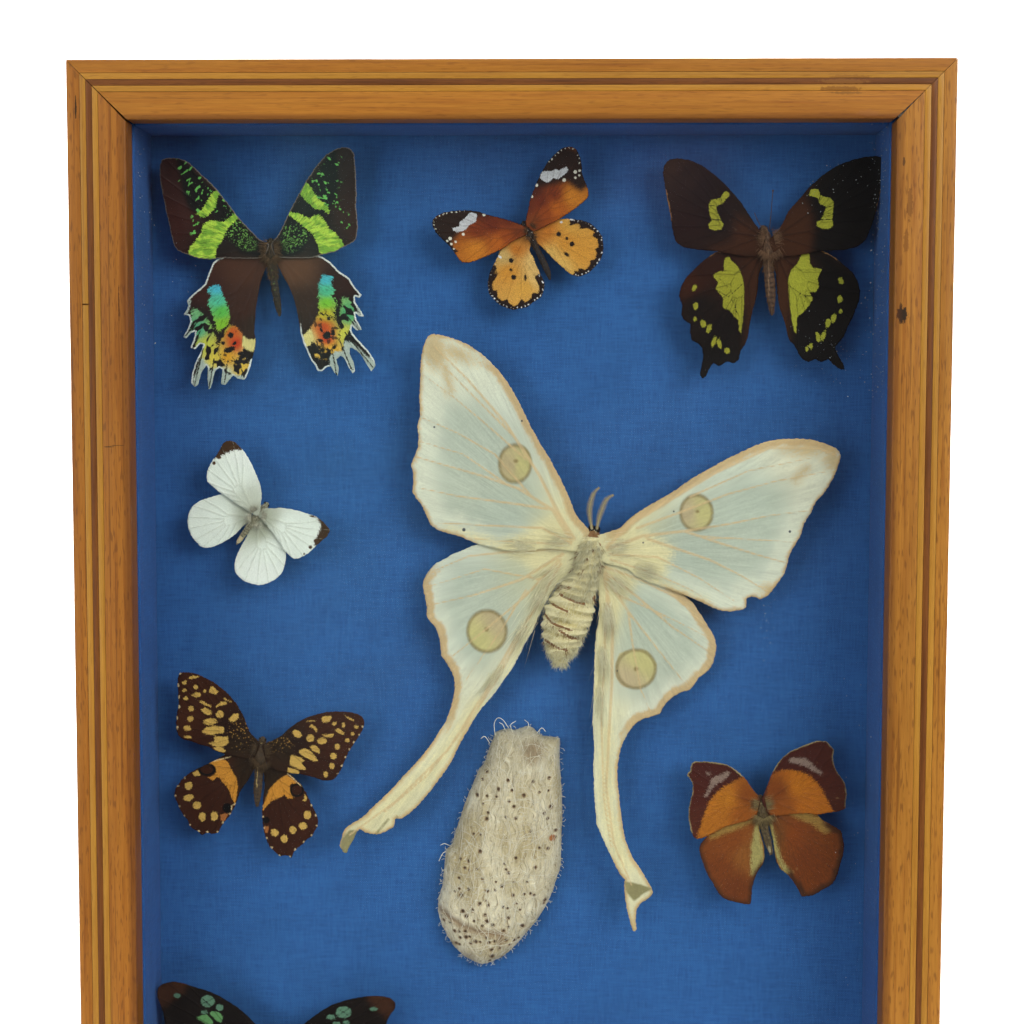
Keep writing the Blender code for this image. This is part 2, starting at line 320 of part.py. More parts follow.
# ---- helpers ---------------------------------------------------------------
def clear_scene():
    for obj in list(bpy.data.objects):
        bpy.data.objects.remove(obj, do_unlink=True)


MATERIALS = {
    "oak": ((0.36, 0.16, 0.06, 1), 0.45, 0.0),
    "banding": ((0.40, 0.20, 0.07, 1), 0.45, 0.0),
    "glass": ((0.95, 0.97, 0.97, 1), 0.03, 0.0),
    "blue_cloth": ((0.03, 0.09, 0.24, 1), 0.9, 0.0),
    "board": ((0.75, 0.73, 0.68, 1), 0.9, 0.0),
    "hardboard": ((0.22, 0.13, 0.07, 1), 0.8, 0.0),
    "steel": ((0.6, 0.6, 0.6, 1), 0.35, 1.0),
    "cocoon": ((0.60, 0.55, 0.44, 1), 0.9, 0.0),
    "sunset_moth": ((0.03, 0.09, 0.03, 1), 0.5, 0.0),
    "plain_tiger": ((0.36, 0.16, 0.04, 1), 0.7, 0.0),
    "green_patch_swallowtail": ((0.05, 0.05, 0.02, 1), 0.7, 0.0),
    "comet_moth": ((0.60, 0.62, 0.50, 1), 0.8, 0.0),
    "white_butterfly": ((0.62, 0.66, 0.58, 1), 0.8, 0.0),
    "citrus_swallowtail": ((0.05, 0.02, 0.01, 1), 0.7, 0.0),
    "orange_anteva": ((0.34, 0.10, 0.02, 1), 0.6, 0.0),
    "dark_swallowtail": ((0.03, 0.02, 0.01, 1), 0.7, 0.0),
}


def add_object(name, bm, kind, smooth=False):
    """Make an object of its own, with its own Principled material."""
    bmesh.ops.recalc_face_normals(bm, faces=bm.faces)
    mesh = bpy.data.meshes.new(name)
    bm.to_mesh(mesh)
    bm.free()
    if smooth:
        mesh.shade_smooth()
        mesh.set_sharp_from_angle(angle=math.radians(40))
    colour, rough, metal = MATERIALS[kind]
    mat = bpy.data.materials.new(name)
    mat.use_nodes = True
    shader = mat.node_tree.nodes["Principled BSDF"]
    shader.inputs["Base Color"].default_value = colour
    shader.inputs["Roughness"].default_value = rough
    shader.inputs["Metallic"].default_value = metal
    mat.diffuse_color = colour
    mesh.materials.append(mat)
    obj = bpy.data.objects.new(name, mesh)
    bpy.context.scene.collection.objects.link(obj)
    return obj


def box(name, x0, x1, y0, y1, z0, z1, kind):
    bm = bmesh.new()
    bmesh.ops.create_cube(bm, size=1.0)
    bmesh.ops.scale(bm, vec=((x1 - x0) * MM, (y1 - y0) * MM, (z1 - z0) * MM), verts=bm.verts)
    bmesh.ops.translate(bm, vec=((x0 + x1) / 2 * MM, (y0 + y1) / 2 * MM, (z0 + z1) / 2 * MM),
                        verts=bm.verts)
    return add_object(name, bm, kind)


def side_point(side, u, y, end, set_back):
    """A point u inside the outer edge of one side, at one of its two mitred ends."""
    half_w, mid, half_h = FRAME_W / 2, FRAME_H / 2, FRAME_H / 2
    if side in ("top", "bottom"):
        x = end * (half_w - u - set_back)
        z = mid + (half_h - u) * (1 if side == "top" else -1)
    else:
        x = (half_w - u) * (1 if side == "right" else -1)
        z = mid + end * (half_h - u - set_back)
    return Vector((x * MM, y * MM, z * MM))


def mitred_length(name, side, profile, kind):
    """A straight length whose section is given as (distance in from the edge, y)."""
    set_back = MITRE_GAP / 2 * math.sqrt(2)
    bm = bmesh.new()
    ends = []
    for end in (-1, 1):
        ends.append([bm.verts.new(side_point(side, u, y, end, set_back)) for u, y in profile])
    count = len(profile)
    for i in range(count):
        j = (i + 1) % count
        bm.faces.new((ends[0][i], ends[0][j], ends[1][j], ends[1][i]))
    bm.faces.new(ends[0])
    bm.faces.new(list(reversed(ends[1])))
    return add_object(name, bm, kind)


def rail_profile():
    """An L section with a rebate behind the lip and a groove for the banding."""
    g0, g1 = BAND_IN - GAP / 2, BAND_IN + BAND_W + GAP / 2
    floor = FRONT_Y + BAND_T + GAP
    return [
        (0, FRONT_Y + ARRIS), (ARRIS, FRONT_Y), (g0, FRONT_Y), (g0, floor), (g1, floor),
        (g1, FRONT_Y), (FACE_W - ARRIS, FRONT_Y), (FACE_W, FRONT_Y + ARRIS), (FACE_W, LIP_BACK_Y),
        (WALL_W, LIP_BACK_Y), (WALL_W, WOOD_BACK_Y), (0, WOOD_BACK_Y)]


def band_profile():
    a, b = BAND_IN + GAP / 2, BAND_IN + BAND_W - GAP / 2
    return [(a, FRONT_Y), (b, FRONT_Y), (b, FRONT_Y + BAND_T), (a, FRONT_Y + BAND_T)]


def cut(target, cutter):
    mod = target.modifiers.new("hole", "BOOLEAN")
    mod.operation = "DIFFERENCE"
    mod.solver = "EXACT"
    mod.object = cutter
    cutter.hide_render = True
    cutter.display_type = "WIRE"


def cylinder_along_y(bm, radius, x, z, y0, y1, segments):
    made = bmesh.ops.create_cone(bm, cap_ends=True, segments=segments, radius1=radius * MM,
                                 radius2=radius * MM, depth=(y1 - y0) * MM)
    bmesh.ops.rotate(bm, verts=made["verts"], cent=(0, 0, 0),
                     matrix=Matrix.Rotation(math.radians(90), 3, 'X'))
    bmesh.ops.translate(bm, verts=made["verts"], vec=(x * MM, (y0 + y1) / 2 * MM, z * MM))
    return made["verts"]


def cylinder(name, radius, x, z, y0, y1, segments, kind):
    bm = bmesh.new()
    cylinder_along_y(bm, radius, x, z, y0, y1, segments)
    return add_object(name, bm, kind, smooth=True)


def hanger(name, z_top):
    """A sawtooth strip, its middle raised off the wood and toothed along its lower edge."""
    rows = []
    stations = [(-HANGER_W / 2, 0.0, 9.0), (-15.0, 0.0, 9.0), (-13.0, 0.9, 9.0)]
    for k in range(13):
        stations.append((-12.0 + 2.0 * k, 0.9, 9.0 if k % 2 else 7.4))
    stations += [(13.0, 0.9, 9.0), (15.0, 0.0, 9.0), (HANGER_W / 2, 0.0, 9.0)]
    bm = bmesh.new()
    for x, lift, deep in stations:
        y0 = WOOD_BACK_Y + GAP + lift
        corners = [(x, y0, z_top), (x, y0 + HANGER_T, z_top), (x, y0 + HANGER_T, z_top - deep),
                   (x, y0, z_top - deep)]
        rows.append([bm.verts.new(Vector(c) * MM) for c in corners])
    for a, b in zip(rows, rows[1:]):
        for i in range(4):
            j = (i + 1) % 4
            bm.faces.new((a[i], a[j], b[j], b[i]))
    bm.faces.new(rows[0])
    bm.faces.new(list(reversed(rows[-1])))
    return add_object(name, bm, "steel")


def nail(name, x, z):
    """A round-headed pin: its head stands behind the hanger, its shank sits in the rail."""
    profile = [(0.0, WOOD_BACK_Y + 2.0), (1.2, WOOD_BACK_Y + 1.95), (1.8, WOOD_BACK_Y + 1.7),
               (1.8, WOOD_BACK_Y + 1.4), (0.6, WOOD_BACK_Y + 1.4), (0.6, WOOD_BACK_Y - 8.0),
               (0.0, WOOD_BACK_Y - 9.2)]
    sides = 12
    bm = bmesh.new()
    rings = []
    for r, y in profile:
        if r == 0.0:
            rings.append([bm.verts.new((x * MM, y * MM, z * MM))])
        else:
            rings.append([bm.verts.new(((x + r * math.cos(2 * math.pi * k / sides)) * MM, y * MM,
                                        (z + r * math.sin(2 * math.pi * k / sides)) * MM))
                          for k in range(sides)])
    for a, b in zip(rings, rings[1:]):
        for k in range(sides):
            m = (k + 1) % sides
            if len(a) == 1:
                bm.faces.new((a[0], b[k], b[m]))
            elif len(b) == 1:
                bm.faces.new((a[k], a[m], b[0]))
            else:
                bm.faces.new((a[k], a[m], b[m], b[k]))
    return add_object(name, bm, "steel", smooth=True)


# ---- insects ---------------------------------------------------------------
def nearest_on_spine(spine, px, pz):
    """Closest point of a body's axis, with the body's half width there."""
    best = None
    for (ax, az, ar), (bx, bz, br) in zip(spine, spine[1:]):
        dx, dz = bx - ax, bz - az
        t = max(0.0, min(1.0, ((px - ax) * dx + (pz - az) * dz) / (dx * dx + dz * dz)))
        qx, qz, qr = ax + dx * t, az + dz * t, ar + (br - ar) * t
        d = math.hypot(px - qx, pz - qz)
        if best is None or d - qr < best[0]:
            best = (d - qr, qx, qz, qr, d)
    return best


def clear_of_body(spine, points):
    """Move the points of a wing's root outward until they clear the body."""
    out = []
    for px, pz in points:
        _, qx, qz, qr, d = nearest_on_spine(spine, px, pz)
        need = qr + BODY_GAP
        if d < need:
            px, pz = qx + (px - qx) / d * need, qz + (pz - qz) / d * need
        out.append((px, pz))
    return out


def wing(name, centre, points, depth, kind):
    """A flat plate cut to the wing's outline."""
    cx, cz = centre[0], FRAME_H - centre[1]
    bm = bmesh.new()
    face = bm.faces.new([bm.verts.new(((cx + x) * MM, depth[0] * MM, (cz + z) * MM))
                         for x, z in points])
    made = bmesh.ops.extrude_face_region(bm, geom=[face])
    verts = [v for v in made["geom"] if isinstance(v, bmesh.types.BMVert)]
    bmesh.ops.translate(bm, verts=verts, vec=(0, (depth[1] - depth[0]) * MM, 0))
    return add_object(name, bm, kind)


def insect_body(name, centre, spine, kind, sides=10):
    """A tapering body: head, thorax and abdomen lofted along a gently curved axis."""
    cx, cz = centre[0], FRAME_H - centre[1]
    bm = bmesh.new()
    rings = []
    last = len(spine) - 1
    for i, (x, z, r) in enumerate(spine):
        ax, az = spine[max(i - 1, 0)][:2]
        bx, bz = spine[min(i + 1, last)][:2]
        along = Vector((bx - ax, 0, bz - az)).normalized()
        across = Vector((-along.z, 0, along.x))
        ring = []
        for k in range(sides):
            a = 2 * math.pi * k / sides
            p = Vector((cx + x, BODY_Y, cz + z)) + across * (r * math.cos(a))
            p.y += 0.9 * r * math.sin(a)
            ring.append(bm.verts.new(p * MM))
        rings.append(ring)
    for a, b in zip(rings, rings[1:]):
        for k in range(sides):
            m = (k + 1) % sides
            bm.faces.new((a[k], a[m], b[m], b[k]))
    bm.faces.new(rings[0])
    bm.faces.new(list(reversed(rings[-1])))
    return add_object(name, bm, kind, smooth=True)


def insect(prefix, data):
    spine = data["spine"]
    insect_body(prefix + "_body", data["centre"], spine, prefix)
    for part, depth in (("forewing_left", FOREWING_Y), ("forewing_right", FOREWING_Y),
                        ("hindwing_left", HINDWING_Y), ("hindwing_right", HINDWING_Y)):
        wing(prefix + "_" + part, data["centre"], clear_of_body(spine, data[part]), depth, prefix)


def cocoon(name):
    """A flattened bag lying on the cloth: the outline drawn in towards a rounded crown."""
    cx, cz = COCOON_CENTRE[0], FRAME_H - COCOON_CENTRE[1]
    back = LINER_Y[1]
    steps = [(1.0, 0.0), (1.0, 0.30), (0.93, 0.62), (0.76, 0.85), (0.50, 0.97)]
    mid_z = -1.0
    bm = bmesh.new()
    rings = []
    for inset, rise in steps:
        rings.append([bm.verts.new(((cx + x * inset) * MM, (back - COCOON_DEPTH * rise) * MM,
                                    (cz + mid_z + (z - mid_z) * (0.35 + 0.65 * inset)) * MM))
                      for x, z in COCOON])
    count = len(COCOON)
    for a, b in zip(rings, rings[1:]):
        for i in range(count):
            j = (i + 1) % count
            bm.faces.new((a[i], a[j], b[j], b[i]))
    bm.faces.new(rings[0])
    bm.faces.new(list(reversed(rings[-1])))
    return add_object(name, bm, "cocoon", smooth=True)


# ---- build -----------------------------------------------------------------
def build():
    clear_scene()
    in_x, in_z0, in_z1 = FRAME_W / 2 - INNER_EDGE, INNER_EDGE, FRAME_H - INNER_EDGE
    face_x, face_z0, face_z1 = FRAME_W / 2 - LINER_FACE, LINER_FACE, FRAME_H - LINER_FACE

    # timber frame and its inlaid banding
    rails = {}
    for side, word in (("top", "top_rail"), ("bottom", "bottom_rail"), ("left", "left_stile"),
                       ("right", "right_stile")):
        rails[side] = mitred_length("frame_" + word, side, rail_profile(), "oak")
        mitred_length("inlay_" + side, side, band_profile(), "banding")

    # glazing, lining strips, cloth, board and back
    box("glass_pane", -in_x, in_x, *GLASS_Y, in_z0, in_z1, "glass")
    box("lining_left", -in_x, -face_x, *LINER_Y, in_z0, in_z1, "blue_cloth")
    box("lining_right", face_x, in_x, *LINER_Y, in_z0, in_z1, "blue_cloth")
    box("lining_top", -face_x + GAP, face_x - GAP, *LINER_Y, face_z1, in_z1, "blue_cloth")
    box("lining_bottom", -face_x + GAP, face_x - GAP, *LINER_Y, in_z0, face_z0, "blue_cloth")
    box("backing_cloth", -in_x, in_x, *CLOTH_Y, in_z0, in_z1, "blue_cloth")
    box("backing_board", -in_x, in_x, *BOARD_Y, in_z0, in_z1, "board")
    box("back_panel", -in_x, in_x, *PANEL_Y, in_z0, in_z1, "hardboard")

    # hanger on the back of the top rail, with its two nails
    z_top = FRAME_H - 4.0
    strip = hanger("sawtooth_hanger", z_top)
    for n, x in (("left", -NAIL_X), ("right", NAIL_X)):
        z = z_top - 4.5
        cutter = cylinder("cut_nail_" + n, 0.9, x, z, WOOD_BACK_Y - 9.6, WOOD_BACK_Y + 4.0, 12, "steel")
        cut(strip, cutter)
        cut(rails["top"], cutter)
        nail("hanger_nail_" + n, x, z)

    for prefix, data in SPECIMENS.items():
        insect(prefix, data)
    cocoon("silk_cocoon")


build()
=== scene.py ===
import math

import bmesh
import bpy
import numpy as np
from mathutils import Matrix, Vector, noise
from mathutils.geometry import delaunay_2d_cdt


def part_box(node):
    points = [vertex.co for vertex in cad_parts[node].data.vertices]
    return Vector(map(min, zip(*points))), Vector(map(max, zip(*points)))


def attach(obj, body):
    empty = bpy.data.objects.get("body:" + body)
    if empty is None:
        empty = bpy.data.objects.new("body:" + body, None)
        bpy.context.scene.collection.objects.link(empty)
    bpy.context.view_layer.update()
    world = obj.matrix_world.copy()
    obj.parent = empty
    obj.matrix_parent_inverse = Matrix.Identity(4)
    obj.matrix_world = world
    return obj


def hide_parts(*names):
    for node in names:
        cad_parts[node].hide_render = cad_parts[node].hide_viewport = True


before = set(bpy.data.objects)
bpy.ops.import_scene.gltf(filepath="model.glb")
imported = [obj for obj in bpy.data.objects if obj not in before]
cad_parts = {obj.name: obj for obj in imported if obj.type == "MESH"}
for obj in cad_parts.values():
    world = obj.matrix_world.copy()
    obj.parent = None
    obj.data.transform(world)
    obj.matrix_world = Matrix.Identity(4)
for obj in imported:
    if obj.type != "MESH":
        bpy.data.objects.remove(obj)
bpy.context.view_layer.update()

MM = 0.001
ROOT = "root"

# ---------------------------------------------------------------------------
# Everything below is written in millimetres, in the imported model's own frame:
# x to the right, y into the frame (the front face is at -26), z up from the
# foot of the frame.

FRAME_W, FRAME_H = 320.0, 440.0
FRONT_Y, LIP_BACK_Y, WOOD_BACK_Y = -26.0, -16.0, 24.0
FACE_W, WALL_W = 21.5, 17.2
BAND_IN, BAND_W, BAND_T = 4.8, 6.8, 1.5
GLASS_Y = (-15.7, -13.7)
LINER_Y = (-13.4, 14.9)
INNER_EDGE, LINER_FACE = 17.5, 21.8
CLOTH_Y = (15.2, 15.9)


def srgb(r, g, b):
    """A display colour, 0 to 255, as linear light."""
    out = []
    for c in (r, g, b):
        c = max(0.0, c) / 255.0
        out.append(c / 12.92 if c <= 0.04045 else ((c + 0.055) / 1.055) ** 2.4)
    return (out[0], out[1], out[2], 1.0)


# ---------------------------------------------------------------------------
# Node material helper

class Mat:
    def __init__(self, name, colour=(0.5, 0.5, 0.5, 1), rough=0.5, spec=0.5, **kw):
        self.m = bpy.data.materials.new(name)
        self.m.use_nodes = True
        self.t = self.m.node_tree
        self.t.nodes.clear()
        self.out = self.t.nodes.new("ShaderNodeOutputMaterial")
        self.p = self.t.nodes.new("ShaderNodeBsdfPrincipled")
        self.t.links.new(self.p.outputs[0], self.out.inputs[0])
        self.p.inputs["Base Color"].default_value = colour
        self.p.inputs["Roughness"].default_value = rough
        self.p.inputs["Specular IOR Level"].default_value = spec
        for k, v in kw.items():
            self.p.inputs[k.replace("_", " ")].default_value = v
        self.m.diffuse_color = colour
        self._obj = None

    def node(self, kind, **props):
        n = self.t.nodes.new("ShaderNode" + kind)
        for k, v in props.items():
            setattr(n, k, v)
        return n

    def put(self, socket, v):
        if isinstance(v, bpy.types.NodeSocket):
            self.t.links.new(v, socket)
        elif isinstance(v, (tuple, list)) and len(v) == 3 and socket.type == "RGBA":
            socket.default_value = (*v, 1.0)
        else:
            socket.default_value = v

    def at(self):
        """The piece's own coordinates, in metres."""
        if self._obj is None:
            self._obj = self.node("TexCoord").outputs["Object"]
        return self._obj

    def scaled(self, sx, sy, sz, vec=None, off=(0, 0, 0)):
        n = self.node("Mapping", vector_type="POINT")
        self.put(n.inputs["Vector"], vec or self.at())
        n.inputs["Scale"].default_value = (sx, sy, sz)
        n.inputs["Location"].default_value = off
        return n.outputs[0]

    def axes(self, vec=None):
        n = self.node("SeparateXYZ")
        self.put(n.inputs[0], vec or self.at())
        return n.outputs

    def noise(self, vec, detail=2.0, rough=0.5, scale=1.0, dist=0.0, colour=False):
        n = self.node("TexNoise", noise_dimensions="3D")
        self.put(n.inputs["Vector"], vec)
        n.inputs["Scale"].default_value = scale
        n.inputs["Detail"].default_value = detail
        n.inputs["Roughness"].default_value = rough
        n.inputs["Distortion"].default_value = dist
        return n.outputs["Color" if colour else "Fac"]

    def voronoi(self, vec, feature="F1", rand=1.0, out="Distance"):
        n = self.node("TexVoronoi", feature=feature)
        self.put(n.inputs["Vector"], vec)
        n.inputs["Scale"].default_value = 1.0
        n.inputs["Randomness"].default_value = rand
        return n.outputs[out]

    def attr(self, name, out="Fac"):
        n = self.node("Attribute", attribute_type="GEOMETRY", attribute_name=name)
        return n.outputs[out]

    def math(self, op, a, b=0.0, c=0.0, clamp=False):
        n = self.node("Math", operation=op, use_clamp=clamp)
        self.put(n.inputs[0], a)
        if len(n.inputs) > 1:
            self.put(n.inputs[1], b)
        if len(n.inputs) > 2:
            self.put(n.inputs[2], c)
        return n.outputs[0]

    def span(self, v, a, b, lo=0.0, hi=1.0, smooth=False):
        n = self.node("MapRange", interpolation_type="SMOOTHSTEP" if smooth else "LINEAR")
        self.put(n.inputs["Value"], v)
        n.inputs["From Min"].default_value = a
        n.inputs["From Max"].default_value = b
        n.inputs["To Min"].default_value = lo
        n.inputs["To Max"].default_value = hi
        return n.outputs["Result"]

    def mix(self, f, a, b, blend="MIX"):
        n = self.node("Mix", data_type="RGBA", blend_type=blend, clamp_factor=True)
        self.put(n.inputs[0], f)
        self.put(n.inputs[6], a)
        self.put(n.inputs[7], b)
        return n.outputs[2]

    def gamma(self, colour, g):
        n = self.node("Gamma")
        self.put(n.inputs["Color"], colour)
        n.inputs["Gamma"].default_value = g
        return n.outputs[0]

    def grey(self, v):
        n = self.node("CombineColor")
        for i in range(3):
            self.put(n.inputs[i], v)
        return n.outputs[0]

    def tone(self, colour, value):
        """colour multiplied by a value."""
        return self.mix(1.0, colour, self.grey(value), "MULTIPLY")

    def bump(self, height, distance, strength=1.0, normal=None):
        n = self.node("Bump")
        n.inputs["Strength"].default_value = strength
        n.inputs["Distance"].default_value = distance
        self.put(n.inputs["Height"], height)
        if normal is not None:
            self.put(n.inputs["Normal"], normal)
        return n.outputs[0]

    def set(self, **kw):
        for k, v in kw.items():
            self.put(self.p.inputs[k.replace("_", " ")], v)
        return self.m


# ---------------------------------------------------------------------------
# Mesh helpers

def piece(name, verts, faces, mat, smooth=True, slot=None, replaces=None, sharp=None, attrs=None):
    """A mesh piece that rides on the one body. verts are in millimetres."""
    me = bpy.data.meshes.new(name)
    v = np.asarray(verts, float) * MM
    me.from_pydata([tuple(p) for p in v], [], [tuple(int(i) for i in f) for f in faces])
    me.validate(verbose=False)
    if smooth:
        me.shade_smooth()
        if sharp is not None:
            me.set_sharp_from_angle(angle=math.radians(sharp))
    ob = bpy.data.objects.new(name, me)
    bpy.context.scene.collection.objects.link(ob)
    for m in (mat if isinstance(mat, (list, tuple)) else [mat]):
        me.materials.append(m)
    for k, (kind, data) in (attrs or {}).items():
        a = me.attributes.new(k, kind, "POINT")
        if kind == "FLOAT":
            a.data.foreach_set("value", np.asarray(data, np.float32).ravel())
        elif kind == "FLOAT_COLOR":
            a.data.foreach_set("color", np.asarray(data, np.float32).ravel())
        else:
            a.data.foreach_set("vector", np.asarray(data, np.float32).ravel())
    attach(ob, ROOT)
    if replaces:
        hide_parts(*([replaces] if isinstance(replaces, str) else replaces))
    return ob


class Parts:
    """Gathers many small closed meshes into one piece."""
    def __init__(self):
        self.v, self.f, self.a, self.n = [], [], [], 0

    def add(self, verts, faces, value=0.0):
        verts = np.asarray(verts, float)
        self.v.append(verts)
        self.f += [tuple(i + self.n for i in f) for f in faces]
        self.a.append(np.full(len(verts), value) if np.isscalar(value) else np.asarray(value, float))
        self.n += len(verts)

    def done(self, name, mat, attr="tone", **kw):
        at = {attr: ("FLOAT", np.concatenate(self.a))}
        return piece(name, np.concatenate(self.v), self.f, mat, attrs=at, **kw)


def tube(points, radii, sides=8, cap=True, flat=None):
    """A closed tube along points. flat squashes its section along y."""
    p = np.asarray(points, float)
    r = np.broadcast_to(np.asarray(radii, float), (len(p),)).copy()
    t = np.gradient(p, axis=0)
    t /= np.linalg.norm(t, axis=1)[:, None] + 1e-12
    up = np.array([0.0, 1.0, 0.0])
    if abs(t[0] @ up) > 0.9:
        up = np.array([1.0, 0.0, 0.0])
    vs, fs = [], []
    a = None
    for i in range(len(p)):
        if a is None:
            a = np.cross(t[i], up)
        a = a - (a @ t[i]) * t[i]
        a /= np.linalg.norm(a) + 1e-12
        b = np.cross(t[i], a)
        for k in range(sides):
            w = 2 * math.pi * k / sides
            d = a * math.cos(w) + b * math.sin(w)
            if flat:
                d = d * np.array([1.0, flat, 1.0])
            vs.append(p[i] + d * r[i])
    n = len(p)
    for i in range(n - 1):
        for k in range(sides):
            q = (k + 1) % sides
            fs.append((i * sides + k, i * sides + q, (i + 1) * sides + q, (i + 1) * sides + k))
    fs.append(tuple(range(sides - 1, -1, -1)))
    fs.append(tuple((n - 1) * sides + k for k in range(sides)))
    vs = np.array(vs)
    return vs, fs


def outward(verts, faces):
    """Turns the faces outward if the closed mesh is inside out."""
    v = np.asarray(verts, float)
    vol = 0.0
    for f in faces:
        for i in range(1, len(f) - 1):
            vol += v[f[0]] @ np.cross(v[f[i]], v[f[i + 1]])
    return faces if vol > 0 else [tuple(reversed(f)) for f in faces]


def smooth_line(points, step):
    """Points about step apart along a smooth curve through the given ones."""
    p = np.asarray(points, float)
    out = []
    n = len(p)
    for i in range(n - 1):
        p0, p1, p2, p3 = p[max(i - 1, 0)], p[i], p[i + 1], p[min(i + 2, n - 1)]
        k = max(1, int(round(np.linalg.norm(p2 - p1) / step)))
        for j in range(k):
            t = j / k
            out.append(0.5 * ((2 * p1) + (p2 - p0) * t + (2 * p0 - 5 * p1 + 4 * p2 - p3) * t * t
                              + (3 * p1 - p0 - 3 * p2 + p3) * t ** 3))
    out.append(p[-1])
    return np.array(out)


def closed_line(points, step, soft=0.5):
    """A closed outline resampled about step apart; soft is 0 for straight runs to 1 for full curves."""
    p = np.asarray(points, float)
    out = []
    n = len(p)
    for i in range(n):
        p0, p1, p2, p3 = p[i - 1], p[i], p[(i + 1) % n], p[(i + 2) % n]
        k = max(1, int(round(np.linalg.norm(p2 - p1) / step)))
        for j in range(k):
            t = j / k
            c = 0.5 * ((2 * p1) + (p2 - p0) * t + (2 * p0 - 5 * p1 + 4 * p2 - p3) * t * t
                       + (3 * p1 - p0 - 3 * p2 + p3) * t ** 3)
            out.append(c * soft + (p1 + (p2 - p1) * t) * (1 - soft))
    return np.array(out)


def wobble(x, z, scale, seed):
    """Smooth noise in about -1 to 1 over arrays, from summed sines."""
    r = np.random.default_rng(seed)
    out = np.zeros_like(x, float)
    for k in range(6):
        a, ph = r.uniform(0, 2 * math.pi, 2)
        f = (0.6 + 0.35 * k) * 2 * math.pi / scale
        out += np.sin((x * math.cos(a) + z * math.sin(a)) * f + ph) / (1 + 0.5 * k)
    return out / 2.4
# ---------------------------------------------------------------------------
# Camera, backdrop and light

cam_data = bpy.data.cameras.new("camera")
cam = bpy.data.objects.new("camera", cam_data)
bpy.context.scene.collection.objects.link(cam)
bpy.context.scene.camera = cam
cam_data.sensor_width = 36.0
cam_data.lens = 63.28
cam_data.clip_start, cam_data.clip_end = 0.02, 50.0
_p, _y, _r = math.radians(4.033), math.radians(-1.244), math.radians(0.100)
_f = Vector((math.sin(_y) * math.cos(_p), math.cos(_y) * math.cos(_p), -math.sin(_p)))
_x = Vector((math.cos(_y), -math.sin(_y), 0.0))
_u = _x.cross(_f)
_x2 = _x * math.cos(_r) + _u * math.sin(_r)
_u2 = _u * math.cos(_r) - _x * math.sin(_r)
cam.matrix_world = Matrix((
    (_x2.x, _u2.x, -_f.x, 0.01538),
    (_x2.y, _u2.y, -_f.y, -0.68027),
    (_x2.z, _u2.z, -_f.z, 0.32325),
    (0, 0, 0, 1)))

sc = bpy.context.scene
sc.view_settings.view_transform = "Standard"
sc.view_settings.look = "None"
sc.view_settings.exposure = 0.0
sc.view_settings.gamma = 1.0

world = bpy.data.worlds.new("studio")
sc.world = world
world.use_nodes = True
wt = world.node_tree
wt.nodes.clear()
w_out = wt.nodes.new("ShaderNodeOutputWorld")
w_bg = wt.nodes.new("ShaderNodeBackground")
wt.links.new(w_bg.outputs[0], w_out.inputs[0])
w_co = wt.nodes.new("ShaderNodeTexCoord")
w_se = wt.nodes.new("ShaderNodeSeparateXYZ")
wt.links.new(w_co.outputs["Generated"], w_se.inputs[0])
w_mr = wt.nodes.new("ShaderNodeMapRange")           # dimmer room in front of the glass
w_mr.interpolation_type = "SMOOTHSTEP"
w_mr.inputs["From Min"].default_value = -0.97
w_mr.inputs["From Max"].default_value = -0.55
w_mr.inputs["To Min"].default_value = 0.07
w_mr.inputs["To Max"].default_value = 0.21
wt.links.new(w_se.outputs["Y"], w_mr.inputs["Value"])
w_lp = wt.nodes.new("ShaderNodeLightPath")
w_mx = wt.nodes.new("ShaderNodeMix")
wt.links.new(w_lp.outputs["Is Camera Ray"], w_mx.inputs[0])
wt.links.new(w_mr.outputs["Result"], w_mx.inputs[2])
w_mx.inputs[3].default_value = 1.05
wt.links.new(w_mx.outputs[0], w_bg.inputs["Strength"])
w_bg.inputs["Color"].default_value = (1.0, 1.0, 1.0, 1.0)

if hasattr(sc, "cycles"):
    sc.cycles.max_bounces = 6
    sc.cycles.diffuse_bounces = 2
    sc.cycles.glossy_bounces = 2
    sc.cycles.transparent_max_bounces = 12


def softbox(name, at, aim, size, power, colour=(1, 1, 1)):
    d = bpy.data.lights.new(name, "AREA")
    d.shape = "RECTANGLE"
    d.size, d.size_y = size
    d.energy = power
    d.color = colour
    o = bpy.data.objects.new(name, d)
    sc.collection.objects.link(o)
    o.location = at
    o.rotation_euler = (Vector(aim) - Vector(at)).to_track_quat("-Z", "Y").to_euler()
    return o


softbox("key_light", (1.0, -1.2, 0.85), (0, 0, 0.26), (1.0, 0.9), 19.5, (1.0, 0.99, 0.97))
softbox("fill_light", (-1.0, -1.2, 0.35), (0, 0, 0.25), (0.9, 1.0), 9.0, (0.98, 0.99, 1.0))
softbox("top_light", (-0.2, -1.2, 1.35), (0, 0, 0.26), (1.2, 0.8), 6.0, (1.0, 0.99, 0.97))
softbox("floor_light_left", (-1.3, 1.0, 1.5), (-0.5, 1.1, 0), (1.2, 1.2), 60.0)
softbox("floor_light_right", (1.3, 1.0, 1.5), (0.5, 1.1, 0), (1.2, 1.2), 60.0)

